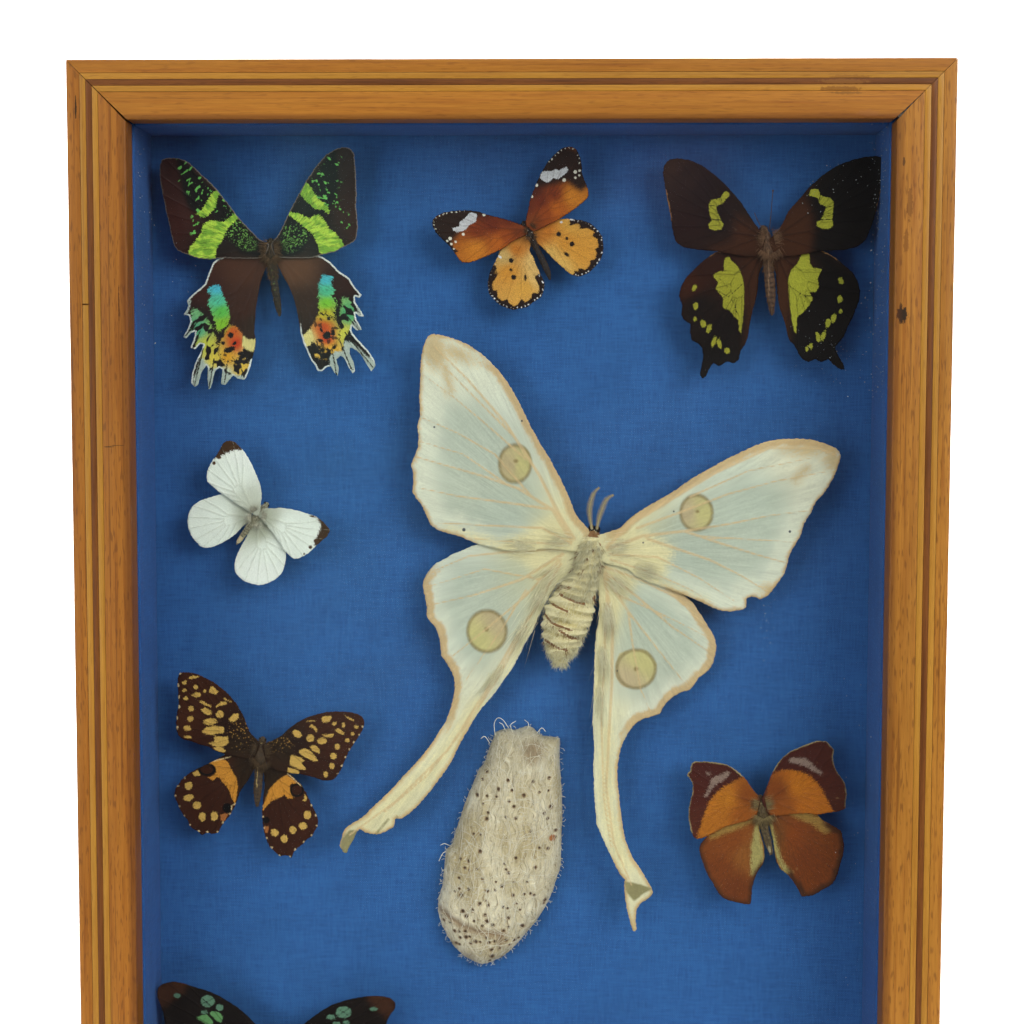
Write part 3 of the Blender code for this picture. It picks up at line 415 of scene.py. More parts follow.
m = Mat("studio_floor", srgb(246, 246, 245), rough=0.8, spec=0.2)
tone = m.noise(m.scaled(6, 6, 6), detail=3)
m.set(Base_Color=m.mix(tone, srgb(250, 250, 250), srgb(244, 244, 243)))
bm = bmesh.new()
prof = [(-0.2, 0.0), (0.6, 0.0)]
prof += [(0.6 + 1.2 * math.sin(a), 1.2 - 1.2 * math.cos(a)) for a in np.linspace(0.1, math.pi / 2, 16)]
prof += [(1.8, 3.2)]
rows = []
for y, z in prof:
    rows.append([bm.verts.new((x, y, z - 0.0006)) for x in (-3.5, 3.5)])
for i in range(len(rows) - 1):
    bm.faces.new((rows[i][0], rows[i][1], rows[i + 1][1], rows[i + 1][0]))
me = bpy.data.meshes.new("studio_sweep")
bm.to_mesh(me)
bm.free()
me.shade_smooth()
sweep = bpy.data.objects.new("studio_sweep", me)
me.materials.append(m.m)
sc.collection.objects.link(sweep)


# ---------------------------------------------------------------------------
# Wood

def wood(name, axis, base, dark, spots=(), rough=0.42, fine=1.0, lines=1.0, cracks=(), edge=None):
    """Straight-grained wood. axis is the way the grain runs, x or z. spots are (x, z, rx, rz, colour, strength)."""
    base, dark = ((c[0] * 0.80, c[1] * 0.76, c[2] * 0.43, 1.0) for c in (base, dark))
    m = Mat(name, base, rough=rough, spec=0.2)
    m.p.inputs["Coat Weight"].default_value = 0.03
    m.p.inputs["Coat Roughness"].default_value = 0.3

    def along(long, cross, off=(0, 0, 0)):
        s = (1000 / long, 1000 / cross, 1000 / cross) if axis == "x" else (1000 / cross, 1000 / cross, 1000 / long)
        return m.scaled(*s, off=off)

    broad = m.noise(along(140, 9), detail=0)
    streak = m.noise(along(46, 1.5, (3, 1, 7)), detail=2, rough=0.6)
    fibre = m.noise(along(9, 0.42, (9, 5, 2)), detail=1, rough=0.6)
    pore = m.noise(along(4.5, 0.55, (1, 8, 4)), detail=0)
    tone = m.math("ADD", m.span(broad, 0.3, 0.7, -0.07, 0.07), m.span(streak, 0.25, 0.75, -0.09, 0.09))
    tone = m.math("ADD", tone, m.span(fibre, 0.25, 0.75, -0.10 * fine, 0.10 * fine))
    tone = m.math("ADD", tone, 1.0)
    colour = m.mix(m.span(streak, 0.42, 0.75), base, dark)
    colour = m.mix(m.math("MULTIPLY", m.span(pore, 0.62, 0.74), 0.5 * lines), colour, srgb(92, 52, 20))
    lines_n = m.noise(along(75, 0.9, (5, 2, 1)), detail=0)
    colour = m.mix(m.math("MULTIPLY", m.span(lines_n, 0.67, 0.74), 0.45 * lines), colour, srgb(88, 48, 18))
    colour = m.tone(colour, tone)
    ax = m.axes()
    for x, z, rx, rz, col, k in spots:
        dx = m.math("MULTIPLY", m.math("SUBTRACT", ax[0], x * MM), 1 / (rx * MM))
        dz = m.math("MULTIPLY", m.math("SUBTRACT", ax[2], z * MM), 1 / (rz * MM))
        d = m.math("SQRT", m.math("ADD", m.math("MULTIPLY", dx, dx), m.math("MULTIPLY", dz, dz)))
        d = m.math("ADD", d, m.span(m.noise(m.scaled(900, 900, 900), detail=2), 0.3, 0.7, -0.3, 0.3))
        colour = m.mix(m.math("MULTIPLY", m.span(d, 1.15, 0.75, smooth=True), k), colour, (col[0] * 0.60, col[1] * 0.57, col[2] * 0.32, 1.0))
    if edge:
        for side, where, far in edge:      # painted shade: darker towards the face's inner edge and down the lip side, where the recess is in shade; axis index, from, to
            f = m.span(ax[side], where * MM, far * MM, 0.55, 0.0, smooth=True)
            colour = m.mix(f, colour, srgb(82, 42, 18))
    h = m.math("ADD", m.math("MULTIPLY", fibre, 0.6), m.math("MULTIPLY", streak, 0.8))
    m.set(Base_Color=colour, Roughness=m.span(fibre, 0.2, 0.8, rough - 0.06, rough + 0.12),
          Normal=m.bump(h, 0.00012, 0.55))
    return m.m


def side_point(side, along, u, y):
    """A point on one of the frame's four sides: along its length, u in from its outer edge."""
    if side == "left":
        return (-FRAME_W / 2 + u, y, along)
    if side == "right":
        return (FRAME_W / 2 - u, y, along)
    if side == "top":
        return (along, y, FRAME_H - u)
    return (along, y, u)


def rounded(corners, steps=4):
    """A closed section from (u, y, radius) corners."""
    out = []
    n = len(corners)
    for i in range(n):
        a, b, c = (np.array(corners[j % n][:2], float) for j in (i - 1, i, i + 1))
        r = corners[i][2]
        if r <= 0:
            out.append(tuple(b))
            continue
        da, dc = (a - b), (c - b)
        da, dc = da / np.linalg.norm(da), dc / np.linalg.norm(dc)
        for k in range(steps + 1):
            t = k / steps
            p = b + da * r * (1 - t) ** 2 + dc * r * t ** 2
            out.append(tuple(p))
    return out


def split_long(section, most):
    out = []
    n = len(section)
    for i in range(n):
        a, b = np.array(section[i]), np.array(section[(i + 1) % n])
        k = max(1, int(math.ceil(np.linalg.norm(b - a) / most)))
        for j in range(k):
            out.append(tuple(a + (b - a) * j / k))
    return out


def rail(name, side, section, end_a, end_b, mat, step=4.0, wear=0.0, seed=1, lo=None, hi=None, **kw):
    """Sweeps a section along one side. end_a and end_b say how far in the section's point at u starts and ends."""
    length = FRAME_W if side in ("top", "bottom") else FRAME_H
    base = -FRAME_W / 2 if side in ("top", "bottom") else 0.0
    n = max(2, int(round(((hi or length) - (lo or 0)) / step)))
    k = len(section)
    verts = []
    for i in range(n + 1):
        t = i / n
        for u, y in section:
            s0 = end_a(u) if lo is None else lo
            s1 = length - end_b(u) if hi is None else hi
            s = s0 + (s1 - s0) * t
            uu, yy = u, y
            if wear:
                w = noise.noise(Vector((s * 0.07, u * 0.4 + seed * 7.1, y * 0.3)))
                w2 = noise.noise(Vector((s * 0.35, u * 0.9 + seed * 3.3, y * 0.9)))
                if y < LIP_BACK_Y - 1:
                    yy += max(0.0, wear * (0.5 * w + 0.35 * w2) + 0.02)
                    if u > 20.5:
                        uu -= wear * 0.9 * max(0.0, w2)
                    if u < 0.8:
                        uu += wear * 0.9 * max(0.0, w)
            verts.append(side_point(side, base + s, uu, yy))
    faces = []
    for i in range(n):
        for j in range(k):
            q = (j + 1) % k
            faces.append((i * k + j, i * k + q, (i + 1) * k + q, (i + 1) * k + j))
    faces.append(tuple(range(k - 1, -1, -1)))
    faces.append(tuple(n * k + j for j in range(k)))
    faces = outward(verts, faces)
    return piece(name, verts, faces, mat, sharp=32, **kw)


def mitre(g0, g1=0.0, start=0.0):
    """The mitred end's gap to the true mitre line, opening from start towards the inner corner."""
    return lambda u: u + g0 + g1 * max(0.0, (u - start) / (FACE_W - start)) ** 1.6


TL, TR = mitre(0.10, 0.42, 4.0), mitre(0.10, 0.62, 12.0)
BL, BR = mitre(0.12, 0.15), mitre(0.12, 0.15)
wood_section = split_long(rounded([
    (0, FRONT_Y, 0.9), (BAND_IN, FRONT_Y, 0.12), (BAND_IN, FRONT_Y + BAND_T, 0), (BAND_IN + BAND_W, FRONT_Y + BAND_T, 0),
    (BAND_IN + BAND_W, FRONT_Y, 0.12), (FACE_W, FRONT_Y, 0.9), (FACE_W, LIP_BACK_Y, 0.3), (WALL_W, LIP_BACK_Y, 0),
    (WALL_W, WOOD_BACK_Y, 0.3), (0, WOOD_BACK_Y, 0.6)]), 6.0)

soot = srgb(38, 24, 14)
wood_mats = {
    "left": wood("wood_left", "z", srgb(178, 116, 53), srgb(142, 84, 34), edge=[(0, -139.6, -142.2)],
                 spots=[(-156.5, 423, 0.35, 4.2, soot, 0.9), (-146.3, 300.5, 1.7, 0.22, soot, 0.7), (-143.2, 301.0, 2.6, 0.2, soot, 0.55),
                        (-141.8, 352, 0.3, 7, srgb(96, 52, 20), 0.7), (-144.9, 398, 0.25, 9, srgb(96, 52, 20), 0.6)]),
    "right": wood("wood_right", "z", srgb(184, 126, 62), srgb(146, 90, 40), edge=[(0, 139.4, 142.4)],
                  spots=[(141.6, 348.8, 1.9, 2.9, srgb(46, 34, 26), 0.97), (141.0, 351.8, 0.6, 1.4, srgb(60, 40, 26), 0.8),
                         (143.6, 388, 1.0, 6, srgb(128, 76, 34), 0.6), (142.5, 375, 1.0, 4, srgb(126, 74, 34), 0.5),
                         (141.3, 403, 0.5, 1.6, srgb(70, 44, 26), 0.7)]),
    "top": wood("wood_top", "x", srgb(186, 124, 56), srgb(158, 98, 42), lines=0.5, edge=[(2, 419.2, 421.2)],
                spots=[(128.5, 420.5, 4.2, 1.2, srgb(196, 128, 84), 0.5), (121, 427.6, 6, 0.5, srgb(96, 66, 40), 0.45)]),
    "bottom": wood("wood_bottom", "x", srgb(180, 118, 54), srgb(150, 92, 38), lines=0.8, edge=[(2, 20.8, 18.8)]),
}
ends = {"left": (BL, TL), "right": (BR, TR), "top": (TL, TR), "bottom": (BL, BR)}
cad_side = {"left": "frame_left_stile", "right": "frame_right_stile", "top": "frame_top_rail", "bottom": "frame_bottom_rail"}
for n_, side in enumerate(("left", "right", "top", "bottom")):
    rail("wood_" + cad_side[side].split("_", 1)[1], side, wood_section, *ends[side], wood_mats[side],
         wear=0.09, seed=n_ + 1, slot="frame_wood", replaces=cad_side[side])

# Inlaid banding: light, dark, light. The left side's outer light strip has a butt joint.
light_z = wood("boxwood_upright", "z", srgb(192, 140, 70), srgb(168, 114, 54), rough=0.38, lines=0.35, fine=0.8)
light_x = wood("boxwood_level", "x", srgb(194, 140, 68), srgb(170, 116, 54), rough=0.38, lines=0.35, fine=0.8,
               spots=[(121.5, 435.5 - 2.4, 7.5, 0.9, srgb(176, 120, 66), 0.75), (118.0, 429.0, 7.5, 1.0, srgb(150, 96, 48), 0.7)])
dark_z = wood("walnut_upright", "z", srgb(128, 76, 36), srgb(84, 44, 20), rough=0.45, lines=1.2, fine=1.3)
dark_x = wood("walnut_level", "x", srgb(128, 76, 38), srgb(84, 46, 22), rough=0.45, lines=1.2, fine=1.3,
              spots=[(119.0, 431.6, 9, 0.9, srgb(160, 106, 60), 0.8)])
STRIPS = [("outer_light", BAND_IN + 0.10, BAND_IN + 2.26, True), ("dark", BAND_IN + 2.34, BAND_IN + 4.48, False),
          ("inner_light", BAND_IN + 4.56, BAND_IN + BAND_W - 0.10, True)]
for side in ("left", "right", "top", "bottom"):
    upright = side in ("left", "right")
    for label, u0, u1, light in STRIPS:
        sec = rounded([(u0, FRONT_Y + 0.03, 0.1), (u1, FRONT_Y + 0.03, 0.1), (u1, FRONT_Y + BAND_T - 0.03, 0), (u0, FRONT_Y + BAND_T - 0.03, 0)], 2)
        mt = (light_z if upright else light_x) if light else (dark_z if upright else dark_x)
        kw = dict(step=5.0, wear=0.05, seed=len(label) + 3 * len(side), slot="banding",
                  replaces="inlay_" + side)
        if side == "left" and label == "outer_light":
            rail("strip_left_outer_light_lower", side, sec, ends[side][0], None, mt, hi=352.0, **kw)
            rail("strip_left_outer_light_upper", side, sec, None, ends[side][1], mt, lo=352.5, **kw)
        else:
            rail("strip_%s_%s" % (side, label), side, sec, *ends[side], mt, **kw)

# A dark filling in the open part of the top right mitre.
m = Mat("dark_mitre_filler", srgb(52, 48, 42), rough=0.6, spec=0.3)
m.set(Base_Color=m.mix(m.span(m.noise(m.scaled(700, 700, 700), detail=3), 0.35, 0.65), srgb(34, 28, 22), srgb(84, 80, 74)),
      Normal=m.bump(m.noise(m.scaled(1500, 1500, 1500), detail=3), 0.0002, 0.6))
vs, fs = [], []
gap_pts = np.linspace(13.0, 20.9, 14)
for i, u in enumerate(gap_pts):
    g = (TR(u) - u) * 0.82
    y = FRONT_Y + 0.55 + 0.25 * math.sin(i * 1.9)
    mid = np.array([FRAME_W / 2 - u, 0, FRAME_H - u])
    off = np.array([-1, 0, 1]) * g * 0.7
    for sgn, yy in ((-1, y), (1, y), (1, y + 2.2), (-1, y + 2.2)):
        p = mid + off * sgn
        vs.append((p[0], yy, p[2]))
for i in range(len(gap_pts) - 1):
    for j in range(4):
        q = (j + 1) % 4
        fs.append((i * 4 + j, i * 4 + q, (i + 1) * 4 + q, (i + 1) * 4 + j))
fs.append((3, 2, 1, 0))
e_ = (len(gap_pts) - 1) * 4
fs.append((e_, e_ + 1, e_ + 2, e_ + 3))
piece("mitre_filler_top_right", vs, outward(vs, fs), m.m, smooth=False, slot="frame_wood")


# ---------------------------------------------------------------------------
# Blue cloth: on the back, and over the lining boards

def cloth(name, across, up, dull=1.0, base=(46, 99, 164), dim=(39, 85, 146)):
    """Plain weave. across and up are the axes its threads run along: 0 x, 1 y, 2 z."""
    m = Mat(name, srgb(*base), rough=0.85, spec=0.25)
    m.p.inputs["Sheen Weight"].default_value = 0.06
    m.p.inputs["Sheen Roughness"].default_value = 0.5
    ax = m.axes()
    wob = m.noise(m.scaled(60, 60, 60), detail=0)
    u = m.math("ADD", ax[across], m.math("MULTIPLY", wob, 0.0006))
    v = m.math("ADD", ax[up], m.math("MULTIPLY", wob, 0.0006))
    pitch = 0.00088
    su = m.math("SINE", m.math("MULTIPLY", u, 2 * math.pi / pitch))
    sv = m.math("SINE", m.math("MULTIPLY", v, 2 * math.pi / pitch))
    weave = m.math("MULTIPLY", su, sv)

    def slub(long_axis, long, cross, off):
        s = [1000 / cross] * 3
        s[long_axis] = 1000 / long
        return m.noise(m.scaled(*s, off=off), detail=1, rough=0.6)

    s1, s2 = slub(across, 6, 0.6, (2, 5, 1)), slub(up, 6, 0.6, (7, 3, 9))
    h = m.math("ADD", m.math("MULTIPLY", weave, 0.25), m.math("ADD", s1, s2))
    colour = m.mix(m.span(s1, 0.28, 0.72), srgb(*dim), srgb(*base))
    colour = m.mix(m.math("MULTIPLY", m.span(s2, 0.3, 0.72), 0.55), colour, srgb(base[0] * 1.12, base[1] * 1.1, base[2] * 1.06))
    colour = m.tone(colour, m.span(weave, -1, 1, 0.9 * dull, 1.08 * dull))
    colour = m.tone(colour, m.span(wob, 0.3, 0.7, 0.95, 1.05))
    m.set(Base_Color=colour, Normal=m.bump(h, 0.0002, 0.45))
    return m.m


cloth_back = cloth("blue_cloth_back", 0, 2)
cloth_side = cloth("blue_cloth_side", 1, 2, base=(34, 92, 162), dim=(28, 78, 142))
cloth_level = cloth("blue_cloth_level", 0, 1, base=(34, 92, 162), dim=(28, 78, 142))

lo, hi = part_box("backing_cloth")
x0, x1, z0, z1 = lo[0] / MM, hi[0] / MM, lo[2] / MM, hi[2] / MM
nx, nz = int((x1 - x0) / 4.0), int((z1 - z0) / 4.0)
gx, gz = np.linspace(x0, x1, nx + 1), np.linspace(z0, z1, nz + 1)
GX, GZ = np.meshgrid(gx, gz)
edge_in = np.minimum(np.minimum(GX - x0, x1 - GX), np.minimum(GZ - z0, z1 - GZ))
ripple = 0.10 * wobble(GX, GZ, 55.0, 3) * np.clip((edge_in - 5) / 14, 0, 1)
front = np.stack([GX, CLOTH_Y[0] + 0.12 + ripple, GZ], -1).reshape(-1, 3)
back = np.stack([GX, CLOTH_Y[0] + 0.52 + ripple, GZ], -1).reshape(-1, 3)
n = (nx + 1) * (nz + 1)
faces = []
for j in range(nz):
    for i in range(nx):
        a = j * (nx + 1) + i
        faces.append((a, a + 1, a + nx + 2, a + nx + 1))
        faces.append((n + a, n + a + nx + 1, n + a + nx + 2, n + a + 1))
rim = [i for i in range(nx)] + [j * (nx + 1) + nx for j in range(nz)] + \
      [nz * (nx + 1) + i for i in range(nx, 0, -1)] + [j * (nx + 1) for j in range(nz, 0, -1)]
for a, b in zip(rim, rim[1:] + rim[:1]):
    faces.append((b, a, n + a, n + b))
sheet = piece("blue_backing_cloth", np.vstack([front, back]), faces, cloth_back, slot="blue_cloth", replaces="backing_cloth", sharp=50)

for side in ("left", "right", "top", "bottom"):
    lo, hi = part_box("lining_" + side)
    if side in ("left", "right"):
        a0, a1 = lo[2] / MM, hi[2] / MM
        mt = cloth_side
    else:
        a0, a1 = lo[0] / MM + FRAME_W / 2, hi[0] / MM + FRAME_W / 2
        mt = cloth_level
    sec = split_long(rounded([(INNER_EDGE + 0.05, LINER_Y[0], 0.3), (LINER_FACE - 0.05, LINER_Y[0], 1.0), (LINER_FACE - 0.05, LINER_Y[1], 0.4),
                   (INNER_EDGE + 0.05, LINER_Y[1], 0)], 4), 7.0)
    rail("cloth_lining_" + side, side, sec, None, None, mt, step=5.0, lo=a0, hi=a1, slot="blue_cloth", replaces="lining_" + side)

# ---------------------------------------------------------------------------
# Glass: a pane with softened edges. A faint veil lies on its face: dust towards the edges, and soft green and pink
# bands that are painted reflections.

m = Mat("window_glass", rough=0.05, spec=0.5)
m.t.nodes.remove(m.p)
clear = m.node("BsdfTransparent")
clear.inputs["Color"].default_value = (0.952, 0.962, 0.956, 1)
gloss = m.node("BsdfGlossy")
gloss.inputs["Color"].default_value = (1, 1, 1, 1)
gloss.inputs["Roughness"].default_value = 0.02
fres = m.node("Fresnel")
fres.inputs["IOR"].default_value = 1.5
geo = m.node("NewGeometry")                      # the far face would turn to a mirror at a slant
front_only = m.math("MULTIPLY", fres.outputs[0], m.math("SUBTRACT", 1.0, geo.outputs["Backfacing"]))
mixed = m.node("MixShader")
m.put(mixed.inputs[0], front_only)
m.put(mixed.inputs[1], clear.outputs[0])
m.put(mixed.inputs[2], gloss.outputs[0])
# a lit diffuse veil over the glass: dust, and bands coloured as painted reflection
dust_and_painted_reflection = m.node("BsdfDiffuse")
m.put(dust_and_painted_reflection.inputs["Color"], m.attr("painted_reflection_tint", "Color"))
veil = m.node("MixShader")
m.put(veil.inputs[0], m.attr("dust_and_painted_reflection"))
m.put(veil.inputs[1], mixed.outputs[0])
m.put(veil.inputs[2], dust_and_painted_reflection.outputs[0])
m.put(m.out.inputs[0], veil.outputs[0])
glass_mat = m.m

lo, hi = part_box("glass_pane")
x0, x1, z0, z1 = lo[0] / MM, hi[0] / MM, lo[2] / MM, hi[2] / MM
nx, nz = 56, 80
gx, gz = np.linspace(x0 + 0.4, x1 - 0.4, nx + 1), np.linspace(z0 + 0.4, z1 - 0.4, nz + 1)
GX, GZ = np.meshgrid(gx, gz)
n = (nx + 1) * (nz + 1)
front = np.stack([GX, np.full_like(GX, GLASS_Y[0]), GZ], -1).reshape(-1, 3)
dust_and_reflection_amount = 0.003 + 0.0 * GX
# soft upright bands and patches of painted reflection, and a bloom of dust towards the edges
for cx, cz, rx, rz, k in ((-72, 400, 16, 60, .035), (-20, 405, 30, 26, .020), (62, 398, 30, 22, .022), (-60, 255, 34, 60, .030),
                          (70, 265, 46, 70, .018), (-96, 330, 30, 40, .010), (-20, 190, 60, 60, .012), (20, 300, 90, 30, .010)):
    dust_and_reflection_amount += k * np.exp(-(((GX - cx) / rx) ** 2 + ((GZ - cz) / rz) ** 2))
near = np.minimum(np.minimum(GX - x0, x1 - GX), np.minimum(GZ - z0, z1 - GZ))
dust_and_reflection_amount += 0.03 * np.exp(-((near - 4.5) / 2.2) ** 2) * (0.6 + 0.4 * wobble(GX, GZ, 30.0, 5))
dust_and_reflection_amount *= 0.6 * (1 + 0.25 * wobble(GX, GZ, 24.0, 8))
# where the painted reflection turns from green to pink
warm = np.clip(0.5 + 0.9 * np.exp(-(((GX - 58) / 26) ** 2 + ((GZ - 400) / 26) ** 2)) + 0.8 * np.exp(-(((GX + 128) / 12) ** 2 + ((GZ - 380) / 40) ** 2))
               - 0.6 * np.exp(-(((GX + 66) / 40) ** 2 + ((GZ - 330) / 120) ** 2)), 0, 1)
green_reflection_c, pink_reflection_c = np.array(srgb(150, 205, 190)), np.array(srgb(205, 170, 190))
reflection_tint_v = green_reflection_c + (pink_reflection_c - green_reflection_c) * warm.reshape(-1, 1)
zeros = np.zeros(4)
back = np.array([(x0 + 0.4, GLASS_Y[1], z0 + 0.4), (x1 - 0.4, GLASS_Y[1], z0 + 0.4), (x1 - 0.4, GLASS_Y[1], z1 - 0.4), (x0 + 0.4, GLASS_Y[1], z1 - 0.4)])
ring1 = np.array([(x0, GLASS_Y[0] + 0.4, z0), (x1, GLASS_Y[0] + 0.4, z0), (x1, GLASS_Y[0] + 0.4, z1), (x0, GLASS_Y[0] + 0.4, z1)])
ring2 = ring1.copy()
ring2[:, 1] = GLASS_Y[1] - 0.4
verts = np.vstack([front, ring1, ring2, back])
faces = []
for j in range(nz):
    for i in range(nx):
        a = j * (nx + 1) + i
        faces.append((a, a + 1, a + nx + 2, a + nx + 1))
sides_ = [[i for i in range(nx + 1)], [j * (nx + 1) + nx for j in range(nz + 1)],
          [nz * (nx + 1) + i for i in range(nx, -1, -1)], [j * (nx + 1) for j in range(nz, -1, -1)]]
for k, line in enumerate(sides_):
    a, b = n + k, n + (k + 1) % 4
    faces.append(tuple([*reversed(line), a, b]))
    faces.append((n + k, n + 4 + k, n + 4 + (k + 1) % 4, n + (k + 1) % 4))
    faces.append((n + 4 + k, n + 8 + k, n + 8 + (k + 1) % 4, n + 4 + (k + 1) % 4))
faces.append((n + 8, n + 11, n + 10, n + 9))
faces = outward(verts, faces)
piece("glass_window_pane", verts, faces, glass_mat, smooth=False, slot="glass", replaces="glass_pane",
      attrs={"dust_and_painted_reflection": ("FLOAT", np.concatenate([dust_and_reflection_amount.ravel(), np.zeros(12)])),
             "painted_reflection_tint": ("FLOAT_COLOR", np.vstack([reflection_tint_v.reshape(-1, 4), np.ones((12, 4))]))})
# ---------------------------------------------------------------------------
# Wings. Each is a dense closed shell, and its markings are smooth distances to
# drawn shapes, kept on the points and cut crisp in the material.

def seg_dist(P, a, b):
    a, b = np.asarray(a, float), np.asarray(b, float)
    d = b - a
    t = np.clip(((P - a) @ d) / max(d @ d, 1e-9), 0, 1)
    return np.linalg.norm(P - (a + t[:, None] * d), axis=1), t


def poly_sdf(P, pts):
    """Distance inside a closed outline, negative outside."""
    pts = np.asarray(pts, float)
    inside = np.zeros(len(P), bool)
    best = np.full(len(P), 1e9)
    n = len(pts)
    x, z = P[:, 0], P[:, 1]
    for i in range(n):
        a, b = pts[i], pts[(i + 1) % n]
        d, _ = seg_dist(P, a, b)
        best = np.minimum(best, d)
        if a[1] != b[1]:
            cross = ((a[1] > z) != (b[1] > z)) & (x < (b[0] - a[0]) * (z - a[1]) / (b[1] - a[1]) + a[0])
            inside ^= cross
    return np.where(inside, best, -best)


def shape_sdf(P, s):
    k = s[0]
    if k == "p":
        return poly_sdf(P, closed_line(s[1], 1.5, 0.35))
    if k == "c":
        return s[3] - np.linalg.norm(P - np.array(s[1:3]), axis=1)
    if k == "e":
        _, cx, cz, w, h = s[:5]
        a = math.radians(s[5] if len(s) > 5 else 0)
        dx, dz = P[:, 0] - cx, P[:, 1] - cz
        u = dx * math.cos(a) + dz * math.sin(a)
        v = -dx * math.sin(a) + dz * math.cos(a)
        q = np.sqrt((u / (w / 2)) ** 2 + (v / (h / 2)) ** 2)
        return (1 - q) * min(w, h) / 2
    if k == "r":                       # ring: x, z, radius x, radius z, half width
        _, cx, cz, rx, rz, hw = s
        q = np.sqrt(((P[:, 0] - cx) / rx) ** 2 + ((P[:, 1] - cz) / rz) ** 2)
        return hw - np.abs(q - 1) * min(rx, rz)
    pts, w0 = s[1], s[2]               # stroke: points, width at start, width at end
    w1 = s[3] if len(s) > 3 else w0
    best = np.full(len(P), -1e9)
    n = len(pts) - 1
    for i in range(n):
        d, t = seg_dist(P, pts[i], pts[i + 1])
        w = w0 + (w1 - w0) * (i + t) / n
        best = np.maximum(best, w / 2 - d)
    return best


def sdf(P, shapes):
    best = np.full(len(P), -30.0)
    for s in shapes:
        best = np.maximum(best, shape_sdf(P, s))
    return best


def dabs(P, spots, power=3.0):
    """A smooth blend between a few given colours: (x, z, (r, g, b))."""
    w = np.stack([1.0 / (((P[:, 0] - x) ** 2 + (P[:, 1] - z) ** 2) ** (power / 2) + 1.0) for x, z, _ in spots], 1)
    w /= w.sum(1)[:, None]
    c = np.array([srgb(*rgb)[:3] for _, _, rgb in spots])
    out = np.ones((len(P), 4))
    out[:, :3] = w @ c
    return out


def wing_net(outline, root, tip_share=(0.33, 0.80), veins=8, cell=0.46):
    """Vein lines: two run from the root round the middle cell, and the rest fan from it to the margin."""
    o = np.asarray(outline, float)
    d = np.linalg.norm(np.roll(o, -1, 0) - o, axis=1)
    s = np.concatenate([[0], np.cumsum(d)[:-1]]) / d.sum()
    root = np.asarray(root, float)
    ends = []
    for f in np.linspace(*tip_share, veins):
        ends.append(o[int(np.argmin(np.abs(s - f)))])
    first, last = ends[0] - root, ends[-1] - root
    mid = sum(e - root for e in ends) / len(ends)
    lines = []
    cells = []
    for i, e in enumerate(ends):
        v = e - root
        k = i / (len(ends) - 1)
        bulge = 0.55
        w = v / np.linalg.norm(v) * (1 - bulge) + mid / np.linalg.norm(mid) * bulge
        w /= np.linalg.norm(w)
        reach = cell * (0.95 + 0.12 * math.sin(k * math.pi)) * min(np.linalg.norm(v), np.linalg.norm(mid) * 1.1)
        c = root + w * reach
        cells.append(c)
        bend = (c + e) / 2 + np.array([-(e - c)[1], (e - c)[0]]) * 0.03 * (k - 0.5) * 2
        lines.append(([c, bend, e], 1.0, 0.6))
    lines.append(([root, (root + cells[0]) / 2 + np.array([0.0, 0.0]), cells[0]], 1.7, 1.1))
    lines.append(([root, (root + cells[-1]) / 2, cells[-1]], 1.6, 1.1))
    for a, b in zip(cells, cells[1:]):
        lines.append(([a, (a + b) / 2 + (root - (a + b) / 2) * 0.03, b], 0.7, 0.7))
    lines.append(([root + (ends[-1] - root) * 0.05, root + (o[int(np.argmin(np.abs(s - min(0.93, tip_share[1] + 0.07))))] - root)], 1.2, 0.6))
    return lines


def vein_field(P, lines):
    """Distance past the nearest vein's own half width, in units of about a millimetre."""
    best = np.full(len(P), 9.0)
    for pts, w0, w1 in lines:
        n = len(pts) - 1
        for i in range(n):
            d, t = seg_dist(P, pts[i], pts[i + 1])
            w = w0 + (w1 - w0) * (i + t) / n
            best = np.minimum(best, d / w)
    return best


def border(width, tooth=0.0, share=(0.0, 1.0), wander=0.0):
    """A band along the margin, with teeth at the veins, between two shares of the outline's length."""
    def f(c):
        v = width + tooth * np.exp(-(c["vein"] / 1.3) ** 2) - c["rim"]
        if wander:
            v = v + wander * wobble(c["P"][:, 0], c["P"][:, 1], 6.0, 4)
        a = c["arc_share"]
        gate = np.minimum(a - share[0], share[1] - a) * 60.0
        return np.minimum(v, gate)
    return f


def dotted(pitch, depth, r, share=(0.0, 1.0), also=()):
    """A row of dots along the margin."""
    def f(c):
        u = (c["arc"] % pitch) - pitch / 2
        v = r - np.hypot(u, c["rim"] - depth)
        a = c["arc_share"]
        v = np.where((a > share[0]) & (a < share[1]), v, -5.0)
        if also:
            v = np.maximum(v, sdf(c["P"], also))
        return v
    return f


